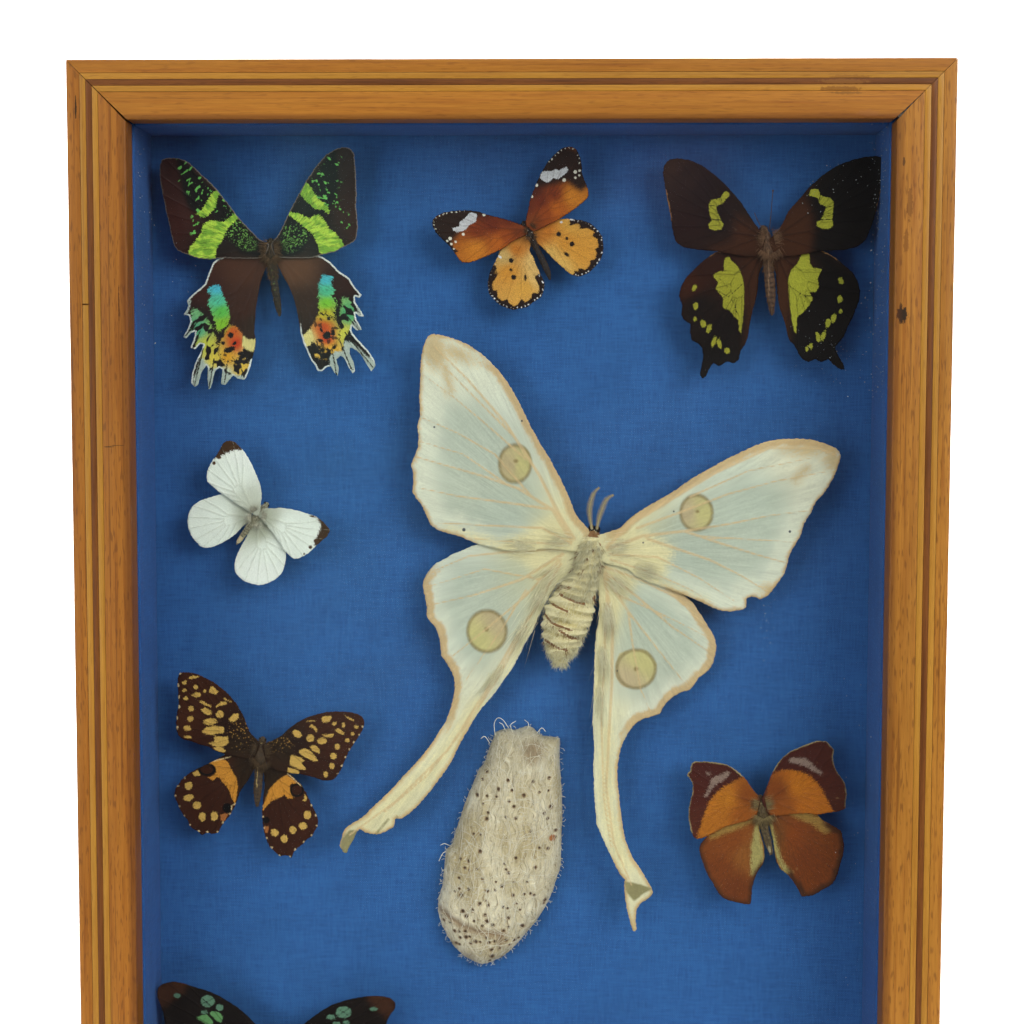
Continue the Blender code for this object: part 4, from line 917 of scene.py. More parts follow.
def wing(name, centre, outline, root, y_mid, mat, layers=(), base=None, tint=None, step=0.56, fringe=0.12, bow=1.0,
         thick=0.3, lines=None, net=None, seed=1, slot=None, replaces=None, extra=(), fold=None, curl=0.35, soft=0.55, bend=None):
    """layers are (attribute, shapes). base and tint are colour dabs. The wing's front faces -y."""
    outline = np.asarray(outline, float)
    rim = closed_line(outline, 0.42 if step < 0.8 else 0.6, soft)
    n = len(rim)
    nxt, prv = np.roll(rim, -1, 0), np.roll(rim, 1, 0)
    tan = nxt - prv
    tan /= np.linalg.norm(tan, axis=1)[:, None] + 1e-9
    nor = np.stack([tan[:, 1], -tan[:, 0]], 1)
    r = np.random.default_rng(seed)
    jag = r.uniform(-1, 1, n)
    rim = rim + nor * (jag * fringe)[:, None]
    lo, hi = rim.min(0), rim.max(0)
    gx = np.arange(lo[0], hi[0], step)
    gz = np.arange(lo[1], hi[1], step * 0.87)
    X, Z = np.meshgrid(gx, gz)
    X = X + (np.arange(len(gz)) % 2)[:, None] * step * 0.5
    pts = np.stack([X.ravel(), Z.ravel()], 1)
    pts += r.uniform(-0.12, 0.12, pts.shape) * step
    keep = poly_sdf(pts, rim) > step * 0.42
    pts = pts[keep]
    more = []
    for s in extra:                      # finer points round small marks
        cx, cz, rr = s
        more.append((cx, cz))
        for a in np.linspace(0, 2 * math.pi, 7)[:-1]:
            more.append((cx + rr * math.cos(a), cz + rr * math.sin(a)))
    if more:
        more = np.array(more)
        more = more[poly_sdf(more, rim) > 0.15]
        if len(more):
            d = np.min(np.linalg.norm(pts[:, None, :] - more[None], axis=2), axis=1) if len(more) < 200 else np.full(len(pts), 9)
            pts = np.vstack([pts[d > step * 0.4], more])
    allp = np.vstack([rim, pts])
    res = delaunay_2d_cdt([Vector(p) for p in allp], [(i, (i + 1) % n) for i in range(n)], [], 1, 1e-4)
    V2 = np.array([tuple(v) for v in res[0]])
    tris = [tuple(f) for f in res[2]]
    origin = res[3]
    # the outline's edges in the result are those used by one triangle
    count = {}
    for f in tris:
        for a, b in ((f[0], f[1]), (f[1], f[2]), (f[2], f[0])):
            count[(a, b)] = count.get((a, b), 0) + 1
    edges = [(a, b) for (a, b) in count if (b, a) not in count]
    m_ = len(V2)
    root = np.asarray(root, float)
    rim_in = poly_sdf(V2, rim)
    rel = V2 - root
    R = np.hypot(rel[:, 0], rel[:, 1])
    TH = np.arctan2(rel[:, 1], rel[:, 0])
    mean_dir = math.atan2(*(V2.mean(0) - root)[::-1])
    TH = (TH - mean_dir + math.pi) % (2 * math.pi) - math.pi
    lines = lines if lines is not None else wing_net(rim, root, **(net or {}))
    VN = vein_field(V2, lines)
    far = R / R.max()
    y = np.full(m_, y_mid)
    y += bow * (-1.1 * far ** 2.2 + 0.45 * wobble(V2[:, 0], V2[:, 1], 34.0, seed) * np.clip(far * 2.2, 0, 1)
                + 0.12 * wobble(V2[:, 0], V2[:, 1], 11.0, seed + 5) * np.clip(far * 3, 0, 1))
    y -= 0.10 * np.exp(-(VN / 0.55) ** 2)
    if curl:
        y -= curl * np.exp(-(np.maximum(rim_in, 0) / 1.6) ** 2) * np.clip(far * 1.6 - 0.5, 0, 1) * (0.4 + 0.6 * wobble(V2[:, 0], V2[:, 1], 15.0, seed + 9))
    if bend is not None:
        y += bend(V2)
    t = thick * (0.45 + 0.55 * np.clip(rim_in / 0.8, 0, 1))
    f3 = np.stack([V2[:, 0], y - t / 2, V2[:, 1]], 1)
    b3 = np.stack([V2[:, 0], y + t / 2, V2[:, 1]], 1)
    if fold is not None:
        f3, b3 = fold(f3, V2), fold(b3, V2)
    cx, cz = centre[0], FRAME_H - centre[1]
    off = np.array([cx, 0, cz])
    # triangles seen from -y: x right, z up, so anticlockwise ones face -y
    a, b, c = V2[tris[0][0]], V2[tris[0][1]], V2[tris[0][2]]
    ccw = (b[0] - a[0]) * (c[1] - a[1]) - (b[1] - a[1]) * (c[0] - a[0]) > 0
    F = tris if ccw else [tuple(reversed(f)) for f in tris]
    faces = list(F) + [tuple(i + m_ for i in reversed(f)) for f in F]
    for a, b in edges:
        q = (b, a, a + m_, b + m_)
        faces.append(q if ccw else tuple(reversed(q)))
    at = {}
    here = {"P": V2, "rim": rim_in, "vein": VN, "far": far}
    if any(callable(sh) for _, sh in layers):
        step_len = np.linalg.norm(np.roll(rim, -1, 0) - rim, axis=1)
        arc = np.concatenate([[0], np.cumsum(step_len)[:-1]])
        near = np.array([int(np.argmin(((rim - q) ** 2).sum(1))) for q in V2])
        here["arc"] = arc[near]
        here["arc_share"] = arc[near] / step_len.sum()
    for key, shapes in layers:
        v = sdf(V2, shapes) if not callable(shapes) else shapes(here)
        at[key] = ("FLOAT", np.concatenate([v, v]))
    for key, spots in (("base", base), ("tint", tint)):
        if spots:
            c = dabs(V2, spots)
            at[key] = ("FLOAT_COLOR", np.vstack([c, c]))
    at["rim"] = ("FLOAT", np.concatenate([rim_in, rim_in]))
    at["vein"] = ("FLOAT", np.concatenate([VN, VN]))
    fan = np.stack([TH * 26.0, R, np.full(m_, seed * 3.7)], 1)
    at["fan"] = ("FLOAT_VECTOR", np.vstack([fan, fan]))
    ob = piece(name, np.vstack([f3, b3]) + off, faces, mat, slot=slot, replaces=replaces, attrs=at)
    return ob


def wing_mat(name, layers, fringe=None, vein=None, rough=0.62, shine=0.35, grain=0.16, streak=0.14, sheen=0.0, bump=0.5, worn=None,
             deep=1.3, warm=(1, 1, 1)):
    """layers are (attribute, colour or None for the tint, softness, jitter)."""
    m = Mat(name, rough=rough, spec=shine * 0.5)
    if sheen:
        m.p.inputs["Sheen Weight"].default_value = sheen
        m.p.inputs["Sheen Roughness"].default_value = 0.4
    fan = m.attr("fan", "Vector")
    fine = m.noise(m.scaled(2.6, 0.55, 1.0, vec=fan), detail=1, rough=0.6)
    scales = m.noise(m.scaled(3000, 3000, 3000), detail=0)
    colour = m.attr("base", "Color")
    wavy = m.math("ADD", m.math("SUBTRACT", fine, 0.5), m.math("MULTIPLY", m.math("SUBTRACT", scales, 0.5), 1.1))
    for key, col, soft, jit in layers:
        v = m.math("ADD", m.attr(key), m.math("MULTIPLY", wavy, jit)) if jit else m.attr(key)
        f = m.span(v, -soft, soft, smooth=True)
        if key == "freckle":                     # fine dots, only inside the area
            f = m.math("MULTIPLY", f, m.span(m.voronoi(m.scaled(1150, 300, 1150)), .30, .20, smooth=True))
        if isinstance(col, tuple) and len(col) == 2 and isinstance(col[0], float):   # (strength, colour)
            f = m.math("MULTIPLY", f, col[0])
            col = col[1]
        colour = m.mix(f, colour, m.attr("tint", "Color") if col is None else srgb(*col))
    if vein:
        width, col, k = vein
        f = m.math("MULTIPLY", m.span(m.attr("vein"), width, width * 0.35, smooth=True), k)
        colour = m.mix(f, colour, srgb(*col))
    if fringe:
        width, col, k = fringe
        f = m.math("MULTIPLY", m.span(m.math("ADD", m.attr("rim"), m.math("MULTIPLY", wavy, 0.5)), width, width * 0.4, smooth=True), k)
        colour = m.mix(f, colour, srgb(*col))
    tone = m.math("ADD", m.span(fine, 0.25, 0.75, 1 - streak, 1 + streak), m.span(scales, 0.3, 0.7, -grain, grain))
    colour = m.tone(m.gamma(colour, deep), tone)
    if warm != (1, 1, 1):
        colour = m.mix(1.0, colour, (*warm, 1.0), "MULTIPLY")
    if worn:
        w = m.noise(m.scaled(420, 420, 420, off=(3, 1, 2)), detail=2)
        colour = m.mix(m.math("MULTIPLY", m.span(w, 0.7, 0.78), worn[1]), colour, srgb(*worn[0]))
    h = m.math("ADD", m.math("MULTIPLY", fine, 0.5), m.math("MULTIPLY", m.span(m.attr("vein"), 0.7, 0.0, smooth=True), 1.4))
    m.set(Base_Color=colour, Roughness=m.span(fine, 0.2, 0.8, rough - 0.07, rough + 0.1), Normal=m.bump(h, 0.00016, bump))
    return m.m
# Outlines of the specimens, in millimetres: x to the right and z up from the
# middle of each thorax. Each wing runs along its leading edge to the tip,
# down its outer margin and back along its inner edge to the body.
SPECIMENS = {
    "sunset_moth": {
        "centre": (-91.0, 69.0),
        "spine": [(-.2, 6.8, .9), (0, 5, 1.3), (0, 1.5, 2.0), (.3, -3, 1.8), (.9, -8, 1.5),
                  (1.8, -14, 1.4), (2.7, -19, 1.1), (3.1, -21.5, .4)],
        "forewing_left": [
            (-4, 5), (-5.3, 7.3), (-11.6, 14.8), (-15.9, 20.4), (-20.9, 26.7), (-26.6, 32), (-30.9, 36),
            (-34.7, 37.3), (-38.4, 37.4), (-40.6, 36.7), (-41.4, 33.6), (-41.3, 28.6), (-40.3, 22.9),
            (-39.4, 17.9), (-38.1, 12.3), (-37.3, 7.9), (-36.3, 4.5), (-34.7, 2.6), (-30.9, 1.1),
            (-26.6, -.3), (-22.2, -.5), (-19, .1), (-4, 0)],
        "forewing_right": [
            (2.5, 5.4), (3.4, 9.2), (6.6, 16), (10.3, 22.9), (14, 29.2), (17.8, 34.5), (21.6, 38.6),
            (24.7, 40.3), (27.8, 41.2), (30.3, 40.8), (31.9, 38.9), (32.3, 34.8), (32.6, 29.2),
            (32.7, 23.6), (32.5, 19.2), (32.9, 15.4), (33.2, 12.3), (32.8, 8.6), (32.3, 6.8),
            (30.3, 5.4), (27.8, 4.1), (24.1, 2.3), (20.3, 1.4), (14.7, .1), (3.4, .4)],
        "hindwing_left": [
            (-4, 1.5), (-10, 2.2), (-17, 1.2), (-22, -1.5), (-25.3, -9.6), (-28.4, -12.4), (-30.9, -14.6),
            (-32.1, -16.1), (-31.6, -17.7), (-32.2, -19.6), (-33.3, -21.1), (-31.3, -21.8),
            (-30.9, -23.9), (-31.9, -26.8), (-33.6, -29.6), (-32.5, -30.2), (-30.6, -28.3),
            (-29.1, -27.7), (-29.7, -30.8), (-30.8, -33.6), (-29.1, -34.4), (-27.2, -32.4),
            (-25.9, -32.7), (-27.2, -35.8), (-29.1, -39.6), (-30.3, -43.3), (-30.8, -47.1),
            (-29.4, -48.6), (-28.1, -47.7), (-26.9, -43.3), (-25, -40.5), (-24.4, -41.4),
            (-24.6, -45.2), (-24.1, -49.6), (-23.1, -48.3), (-21.6, -42.7), (-20, -41.4),
            (-18.8, -42.1), (-19.1, -44.6), (-19.4, -47.4), (-17.8, -47.9), (-16.3, -46.1),
            (-14.7, -44.3), (-12.8, -45.5), (-10.3, -45.8), (-9.1, -43.6), (-8.1, -40.8),
            (-7.2, -37.1), (-6.3, -33.9), (-6.1, -30.2), (-6.6, -27.7), (-6.3, -23.9),
            (-5.9, -18.9), (-5, -13.9), (-4.1, -8.9)],
        "hindwing_right": [
            (4, 2), (10, 2.4), (15, 1.8), (19.5, .6), (22.6, -1.5), (25.9, -4.9), (29.7, -7.4),
            (30.9, -9.6), (33.1, -12.4), (34.4, -13.8), (33.4, -14.9), (31.9, -14.3), (31.9, -16.4),
            (33.8, -19.3), (35.2, -21.8), (33.4, -21.8), (31.9, -20.5), (32.5, -23.3), (34.4, -26.8),
            (32.5, -27.1), (30.6, -25.5), (30.6, -27.7), (32.8, -30.5), (36.6, -34.6), (39.1, -38.3),
            (39.6, -40.5), (38.1, -42.6), (36.6, -40.5), (34.1, -36.4), (32.2, -34.6), (30, -33.6),
            (29.7, -35.8), (31.3, -39.3), (31.8, -42.4), (30.9, -43.3), (29.4, -41.1), (27.8, -37.7),
            (26.3, -36.8), (24.7, -38.3), (25.6, -41.4), (25.2, -44.4), (23.8, -43), (22.5, -40.8),
            (20.9, -41.1), (19.1, -42.7), (17.5, -42.4), (16.6, -40.5), (15, -38.3), (13.4, -34.6),
            (12.2, -32.1), (11.3, -28.9), (10.6, -24.6), (9.7, -19.6), (8.4, -14.6), (6.6, -10.2),
            (4.4, -6.4)],
    },
    "plain_tiger": {
        "centre": (7.0, 60.0),
        "spine": [(-2.2, 4.4, .8), (-1.4, 2.8, 1.2), (0, 0, 1.6), (1.2, -2.4, 1.4), (2.5, -5, 1.0),
                  (4.8, -9.5, 1.25), (6.8, -14, 1.15), (7.6, -16.6, .5)],
        "forewing_left": [
            (-2.6, 2.2), (-6.2, 4.6), (-10.7, 6), (-15.3, 7.1), (-19.8, 8.5), (-24.4, 8.9), (-28.9, 8.6),
            (-32.1, 8), (-34.8, 6.9), (-36.5, 5.1), (-36.6, 3.3), (-35.5, .8), (-33.5, -1.5),
            (-30.7, -4), (-28.5, -6.7), (-26.6, -9.5), (-25.3, -10.6), (-23, -10.8), (-19.8, -9.9),
            (-16.2, -8.3), (-12.5, -6.7), (-8.9, -4.7), (-6.2, -2.6), (-2.2, -.8)],
        "forewing_right": [
            (.4, 4), (-.3, 6.5), (-.5, 9.6), (.2, 13.3), (1.5, 16.5), (2.9, 20), (4.7, 23.7), (6.8, 26.9),
            (9.3, 29.6), (11.5, 31.5), (13.8, 32.3), (15.9, 32.3), (17.7, 31), (18.8, 28.5),
            (19.5, 25.5), (19.7, 22.4), (20.9, 19.2), (21.8, 16.9), (22.1, 14.4), (21.1, 12.8),
            (18.4, 10.5), (14.7, 7.8), (11.1, 5.5), (7.5, 3.7), (2.6, 1.4)],
        "hindwing_left": [
            (-2, -1.2), (-6.6, -2), (-8.9, -3.8), (-11.2, -6.4), (-13, -10.4), (-14.8, -13.8),
            (-15.6, -16.7), (-15.8, -19.5), (-15.3, -22.2), (-13.5, -24.5), (-11.2, -26.5),
            (-8.9, -27.6), (-6.2, -28.3), (-3.5, -27.9), (-.7, -27.2), (1.5, -25.4), (4.3, -23.5),
            (5.4, -21.3), (5.7, -18.5), (4.4, -15.4), (2.8, -12.2), (1.6, -9), (0, -6.3), (-.9, -3.6)],
        "hindwing_right": [
            (2.5, 1), (4.4, 3.2), (7.6, 4.9), (11.1, 5.7), (14.3, 5.9), (17, 5.6), (20.2, 5.1),
            (22.9, 4), (25.6, 1.7), (27.2, -.8), (27.8, -3.5), (27.7, -6.3), (27, -9), (25.2, -11.7),
            (22.5, -14.2), (19.7, -15.6), (17.5, -15.7), (15.2, -14.7), (12.5, -12.4), (9.7, -9.9),
            (7, -7.2), (4.3, -4.5), (3, -2.6)],
    },
    "green_patch_swallowtail": {
        "centre": (97.0, 67.0),
        "spine": [(-2.2, 9.5, 1.0), (-1.6, 7.5, 1.5), (-.5, 3, 2.3), (0, -1, 2.2), (.1, -5, 1.7),
                  (.6, -11, 2.0), (1.1, -17, 1.7), (1.5, -21.5, .9), (1.6, -23, .4)],
        "forewing_left": [
            (-3.8, 5.5), (-4.8, 7.9), (-7.1, 13.3), (-10.8, 18.9), (-15.2, 23.9), (-20.2, 28.6),
            (-25.2, 32.3), (-30.2, 34.5), (-34.6, 35.1), (-37.7, 34.5), (-39.6, 32.6), (-40, 29.5),
            (-39.3, 24.5), (-38.3, 19.5), (-37.1, 13.9), (-36.4, 8.9), (-35.2, 4.5), (-32.7, 2.3),
            (-28.9, 1.4), (-23.9, .9), (-18.9, .4), (-10.8, -1.1), (-3.2, -1)],
        "forewing_right": [
            (2.6, 5), (4.5, 9.5), (7.3, 15.8), (11.1, 20.1), (14.8, 24.5), (19.8, 28.9), (24.8, 32.3),
            (29.8, 34.2), (34.8, 35.4), (39.2, 35.8), (41.7, 35.1), (42.3, 32), (42, 27.6), (41.1, 22),
            (39.8, 15.8), (37.9, 9.5), (36.1, 5.1), (32.9, 2.3), (27.9, 1.1), (22.3, .8), (17.3, .4),
            (9.8, -1.1), (3, -1)],
        "hindwing_left": [
            (-3.2, 1), (-9, 1.6), (-15.5, 1.4), (-20.2, .2), (-23.9, -2.4), (-27.7, -5.8), (-30.8, -8.9),
            (-32.7, -12.4), (-33.6, -16.1), (-32.4, -19.6), (-32.7, -23), (-31.8, -24.9),
            (-29.3, -26.8), (-29.3, -29.9), (-28.6, -32.7), (-26.4, -33.9), (-24.9, -35.5),
            (-24.3, -38.6), (-24.9, -42.4), (-25.5, -45.5), (-24.6, -47.1), (-23.3, -46.4),
            (-22.1, -43.6), (-20.5, -41.4), (-18.3, -42.4), (-15.2, -40.8), (-12.7, -41.3),
            (-10.8, -39.9), (-10.2, -36.8), (-8.3, -33.9), (-7.4, -31.1), (-6.8, -26.8), (-5.8, -21.8),
            (-4.6, -17.4), (-3.9, -13), (-3.6, -8)],
        "hindwing_right": [
            (3, 1), (9, 1.8), (15, 2), (20, 1), (24.8, -1.6), (28.6, -4.6), (31.7, -7.4), (33.6, -10.5),
            (34.5, -14.3), (34.2, -18), (32.9, -21.1), (31.7, -24.3), (29.8, -28), (28.6, -31.1),
            (26.7, -33.6), (25.4, -35.5), (26.7, -38.6), (28.6, -41.8), (28.9, -43.6), (27.3, -43.6),
            (24.8, -41.8), (22.9, -39.9), (20.4, -40.8), (17.9, -39.9), (15.4, -40.8), (12.9, -39.6),
            (11.1, -36.8), (9.8, -34.3), (7.9, -32.4), (7, -28.6), (5.8, -24.3), (4.2, -19.9),
            (3.4, -14.3), (2.9, -8)],
    },
    "comet_moth": {
        "centre": (28.0, 189.0),
        "spine": [(3.9, 17.6, .9), (3.6, 16, 2.4), (2.8, 13, 3.9), (2.3, 9.5, 4.5), (1.7, 5.5, 5.0),
                  (1.1, 1.5, 5.2), (-.7, -3, 5.9), (-3.2, -8, 7.6), (-5.2, -14, 9.0), (-7, -20, 8.7),
                  (-8, -25, 7.5), (-8.6, -29, 6.1), (-8.8, -32.3, 3.2)],
        "forewing_left": [
            (-2.4, 15.5), (-1.6, 18.3), (-2.2, 21.5), (-3.8, 24.6), (-5.4, 28.8), (-7.5, 33.6),
            (-10.1, 38.8), (-13.3, 44.6), (-16.9, 50.4), (-20.1, 56.2), (-22.7, 61.5), (-25.9, 67.8),
            (-29.1, 73.1), (-32.2, 77.3), (-35.9, 81.2), (-40.1, 84.9), (-44.8, 87.8), (-50.1, 89.9),
            (-53.8, 90.9), (-56.9, 91.4), (-58.8, 90.9), (-60.4, 88.8), (-61.2, 85.7), (-61.9, 82.5),
            (-62.3, 78.3), (-62.3, 73.1), (-62.6, 67.3), (-62.4, 63.1), (-62.6, 59.9), (-63.4, 56.2),
            (-63, 52), (-63.4, 48.3), (-64.6, 45.2), (-65.8, 42), (-65.1, 38.8), (-65.1, 35.2),
            (-65.4, 32), (-64.1, 29.4), (-61.7, 26.2), (-59.8, 22), (-58.5, 19.1), (-55.4, 17),
            (-51.7, 15.8), (-46.9, 14.4), (-43.8, 13.1), (-40.1, 11.7), (-35, 10.5), (-30, 9.4),
            (-25, 9), (-20, 9.3), (-15, 10.1), (-10, 9.8), (-5.5, 9.5)],
        "forewing_right": [
            (8.6, 12.6), (9.8, 14), (13.4, 17.9), (16.6, 21.1), (20, 23.7), (25, 26.9), (30.1, 29.8),
            (35.3, 33), (40, 36.5), (45, 39.5), (50.1, 42.4), (55.3, 45.3), (60, 47.5), (65, 49.8),
            (70, 51.4), (75.3, 52.2), (80, 52.3), (85, 52), (88, 51.3), (92, 50), (94.5, 48.9),
            (96, 47.5), (96.6, 46), (96.4, 44), (95.5, 41.8), (95, 39.8), (94.2, 37.8), (93, 35.5),
            (91.6, 33.2), (90, 31), (88, 28.8), (86.8, 26.5), (86, 24.3), (84.3, 21.7), (83.2, 19.5),
            (82.2, 15.6), (79.8, 11.4), (77.9, 7.5), (76.9, 3), (75.9, .5), (73.7, -2.8), (71.4, -6),
            (69.5, -7.9), (66.9, -8.9), (65.6, -8.2), (63.8, -7.8), (61.8, -9), (61.9, -11.6),
            (60.5, -12.8), (55.9, -13.6), (52.1, -13.2), (48.2, -11.8), (44.3, -9.9), (40, -8.1),
            (35.3, -6.3), (30.1, -4.4), (25, -2.8), (20, -.2), (16.6, 2.4), (13.4, 3.7), (9, 6)],
        "hindwing_left": [
            (-5.5, 7), (-8.5, 12), (-15, 15.2), (-25, 16), (-34.6, 14.6), (-40.8, 11.6), (-49.8, 7.8),
            (-53.5, 5.7), (-56.6, 4.1), (-58.5, 2.3), (-60.1, -.1), (-61.4, -2.5), (-61.6, -5.1),
            (-60.8, -8.8), (-60.1, -13), (-60.1, -16.2), (-58.7, -18.3), (-56.6, -20.9), (-55.3, -24.6),
            (-54.8, -28.3), (-54.5, -31.4), (-52.4, -34.6), (-50.6, -37.7), (-49.6, -40.4),
            (-49.4, -43.5), (-49.9, -47.2), (-50.8, -50.9), (-52.8, -56.8), (-55.5, -61.1),
            (-58.1, -65.3), (-61.3, -69.5), (-64.9, -73.7), (-69.7, -78.9), (-74.9, -84.7),
            (-80.2, -89.5), (-84.9, -94.2), (-89.2, -96.8), (-91.8, -98.9), (-93.1, -102.1),
            (-93.8, -105.3), (-92.6, -107.6), (-91.3, -108.3), (-89.9, -105.3), (-88.1, -102.1),
            (-86.3, -98.8), (-83.9, -100), (-80.7, -100.8), (-78.6, -100.8), (-76, -99.7),
            (-72.8, -97.9), (-72.3, -95), (-69.7, -94.5), (-67.1, -92.9), (-63.9, -90), (-60.2, -85.8),
            (-56, -80.3), (-52.8, -75.8), (-51.3, -73.7), (-49.7, -70.5), (-47.6, -65.8), (-44.4, -60.5),
            (-40.2, -53.2), (-37.1, -49.5), (-32.8, -44.2), (-30.2, -40.2), (-27.2, -36.2),
            (-24.5, -30.9), (-21.9, -25.6), (-19.3, -21.4), (-17.8, -17.2), (-15.5, -12.5),
            (-12.8, -7.7), (-10, -3.5), (-8.2, -.6)],
        "hindwing_right": [
            (8, 3), (13, 4.5), (20, 2.5), (27, -.5), (33, -3.8), (38.6, -7.7), (41.8, -10.9),
            (44.4, -14.6), (47.1, -18.8), (49.7, -23), (50.7, -26.7), (50.5, -30.4), (49.4, -34.1),
            (47.6, -36.9), (44.4, -39.3), (42.6, -41.9), (40.7, -44.3), (37.6, -45.1), (34.4, -46.9),
            (31.8, -49.3), (30.5, -51.4), (29.4, -53.5), (26.5, -54.5), (23.4, -55.4), (20.2, -57.2),
            (18.1, -59.8), (16.8, -61.9), (15, -65.6), (13.9, -70), (13.3, -75), (13.3, -80),
            (13.9, -85), (14.4, -90), (15.3, -96.1), (16.1, -101.1), (17.8, -106.1), (19.7, -110),
            (22.8, -114.4), (25, -118.3), (26.7, -121.4), (27.1, -123.1), (25.8, -125), (23.3, -126.7),
            (21.7, -128.3), (20.8, -130.6), (20.6, -134.4), (20.9, -137.8), (19.7, -138.3),
            (18.6, -135), (17.5, -131.1), (16.7, -126.7), (16.1, -122.2), (16.1, -119.4),
            (16.3, -117.9), (14.4, -115.8), (12.5, -112.2), (10.6, -108.3), (8.3, -103.3), (6.7, -99.4),
            (5.3, -96.1), (4.9, -90.6), (4.4, -85), (4.2, -80), (4, -75), (4.1, -70), (4.3, -66.1),
            (3.9, -60), (3.6, -57.2), (3.9, -49.8), (4, -42.5), (4.2, -34.6), (4.4, -28.3), (4.8, -23),
            (5.6, -17.7), (6, -13.5), (7, -5.6), (7.2, -2)],
    },
    "white_butterfly": {
        "centre": (-97.0, 167.0),
        "spine": [(3.6, 4.6, .8), (2.6, 3.4, 1.2), (1, 1.2, 1.6), (-1, -1.2, 1.6), (-3.2, -4, 1.2),
                  (-5.4, -7, 1.1), (-7.2, -9.5, .9), (-8, -10.6, .4)],
        "forewing_left": [
            (.5, 3.3), (1.2, 5.2), (1.9, 7.2), (1.8, 10), (1.2, 12.8), (.2, 15.4), (-1.2, 18.8), (-2.8, 22),
            (-4.4, 24.6), (-6, 26.4), (-7.8, 28.2), (-9.6, 29), (-11.2, 28.8), (-12.6, 27.8),
            (-13.6, 26), (-14.8, 24), (-16.2, 22), (-17.6, 19.8), (-18.6, 17.6), (-19, 15.6),
            (-18.8, 13.6), (-17.6, 12.2), (-15.6, 10.4), (-13.6, 8.8), (-11.6, 7.6), (-7.6, 4.8),
            (-1.5, 1.6)],
        "forewing_right": [
            (3.2, 1.6), (4.6, 2.5), (6, 3.1), (9.2, 3.4), (12.4, 3), (15.6, 2.3), (18.8, 1.4), (22, .4),
            (24, -.6), (26, -2.4), (27.6, -4.2), (28, -5.4), (27, -7.4), (25.2, -9), (22.8, -11),
            (20.8, -13), (18.8, -14.6), (16.4, -15.8), (14.4, -16.1), (12.8, -15.2), (11.2, -13.6),
            (10.2, -12.4), (8.4, -9.6), (5.2, -5.2), (2, -1)],
        "hindwing_left": [
            (-3, 1), (-7, 5.8), (-11.6, 8.6), (-14, 8.4), (-16.8, 7.6), (-20, 6.6), (-22.8, 5.4),
            (-25, 3.4), (-26.2, 1), (-26.7, -1.6), (-26.5, -4.4), (-25.4, -7.4), (-23.6, -9.8),
            (-21.6, -11.8), (-19.6, -12.1), (-17.2, -11.8), (-14.4, -10.6), (-11.6, -9.2),
            (-8.8, -7.2), (-6.8, -5.2), (-4.9, -2.8)],
        "hindwing_right": [
            (.8, -1.8), (-2, -5), (-4.6, -8.5), (-6.6, -12), (-8.2, -15.6), (-8.8, -18.6), (-8.6, -21.2),
            (-7.2, -23.2), (-4.8, -25), (-2, -26), (.8, -26.4), (3.6, -25.8), (6.4, -24.4), (8.6, -22.6),
            (10, -20.4), (10.6, -17.6), (10.9, -15.6), (10.9, -12.6), (9.4, -9.6), (6.8, -5.8),
            (3.2, -2)],
    },
    "citrus_swallowtail": {
        "centre": (-96.0, 260.0),
        "spine": [(.3, 6.7, 1.0), (0, 4.8, 1.5), (-.3, 1.5, 2.4), (-.7, -2.5, 2.2), (-1.2, -7, 1.6),
                  (-1.7, -12, 1.7), (-2, -17, 1.2), (-2.1, -19.5, .5)],
        "forewing_left": [
            (-3, 5), (-4.4, 9.6), (-6.5, 15.4), (-9.7, 21.2), (-13.4, 25.4), (-18.1, 29.1), (-21.3, 30.9),
            (-24.9, 32.5), (-28.1, 33), (-31, 32.8), (-31.8, 30.6), (-31.9, 27.5), (-31.7, 23.8),
            (-31.7, 20.1), (-32.3, 16.9), (-32.6, 13.8), (-32.6, 10.6), (-31.8, 8.5), (-30.2, 6.9),
            (-27.6, 6.2), (-23.9, 4.8), (-20.2, 3.8), (-17.6, 2.2), (-14.9, 1.2), (-12.8, .6), (-3.4, -1)],
        "forewing_right": [
            (2.4, 4.2), (5.1, 6.2), (7.7, 8.3), (10.8, 11.2), (14, 13.5), (17.2, 15.3), (21.4, 16.7),
            (25, 17.6), (29.8, 18), (34, 17.9), (37.2, 17.2), (39.3, 15.9), (40.1, 13.8), (39.5, 11.7),
            (37.9, 8.5), (36.1, 5.9), (34, 2.7), (32.4, -.9), (31.1, -4.1), (29.5, -6.7), (27.7, -8.6),
            (24.5, -9.1), (20.3, -7.8), (15.1, -6.6), (10.1, -6.1), (6.1, -5.2), (2.4, -3)],
        "hindwing_left": [
            (-3.2, 1), (-8, 1.8), (-13, 1), (-17, -1), (-20.2, -2.8), (-24.9, -4.9), (-28.1, -6.7),
            (-31.3, -9.4), (-33.4, -12.5), (-34, -15.2), (-32.8, -18.3), (-31.8, -20.9), (-30.5, -23.1),
            (-28.9, -25.2), (-28.1, -27.3), (-26.5, -28.8), (-24.9, -29.4), (-23.4, -30.9),
            (-21.3, -29.9), (-19.2, -30.4), (-17.3, -29.9), (-16, -27.8), (-14.9, -25.9),
            (-12.8, -23.6), (-11.3, -20.9), (-9.9, -17.8), (-8.6, -14.1), (-7.1, -11.5), (-5.5, -9.6),
            (-3.6, -6)],
        "hindwing_right": [
            (2, -1.6), (5, -3.4), (8, -4.6), (10.6, -6.4), (12.4, -8.3), (15.1, -10.9), (17.2, -14.6),
            (18.7, -17.8), (20.3, -20.9), (21.6, -24.1), (21.6, -26.7), (20.3, -29.1), (19.3, -30.9),
            (17.2, -32.3), (15.8, -34.1), (13.7, -35.7), (12.2, -37.3), (11.4, -39.6), (10.1, -38.6),
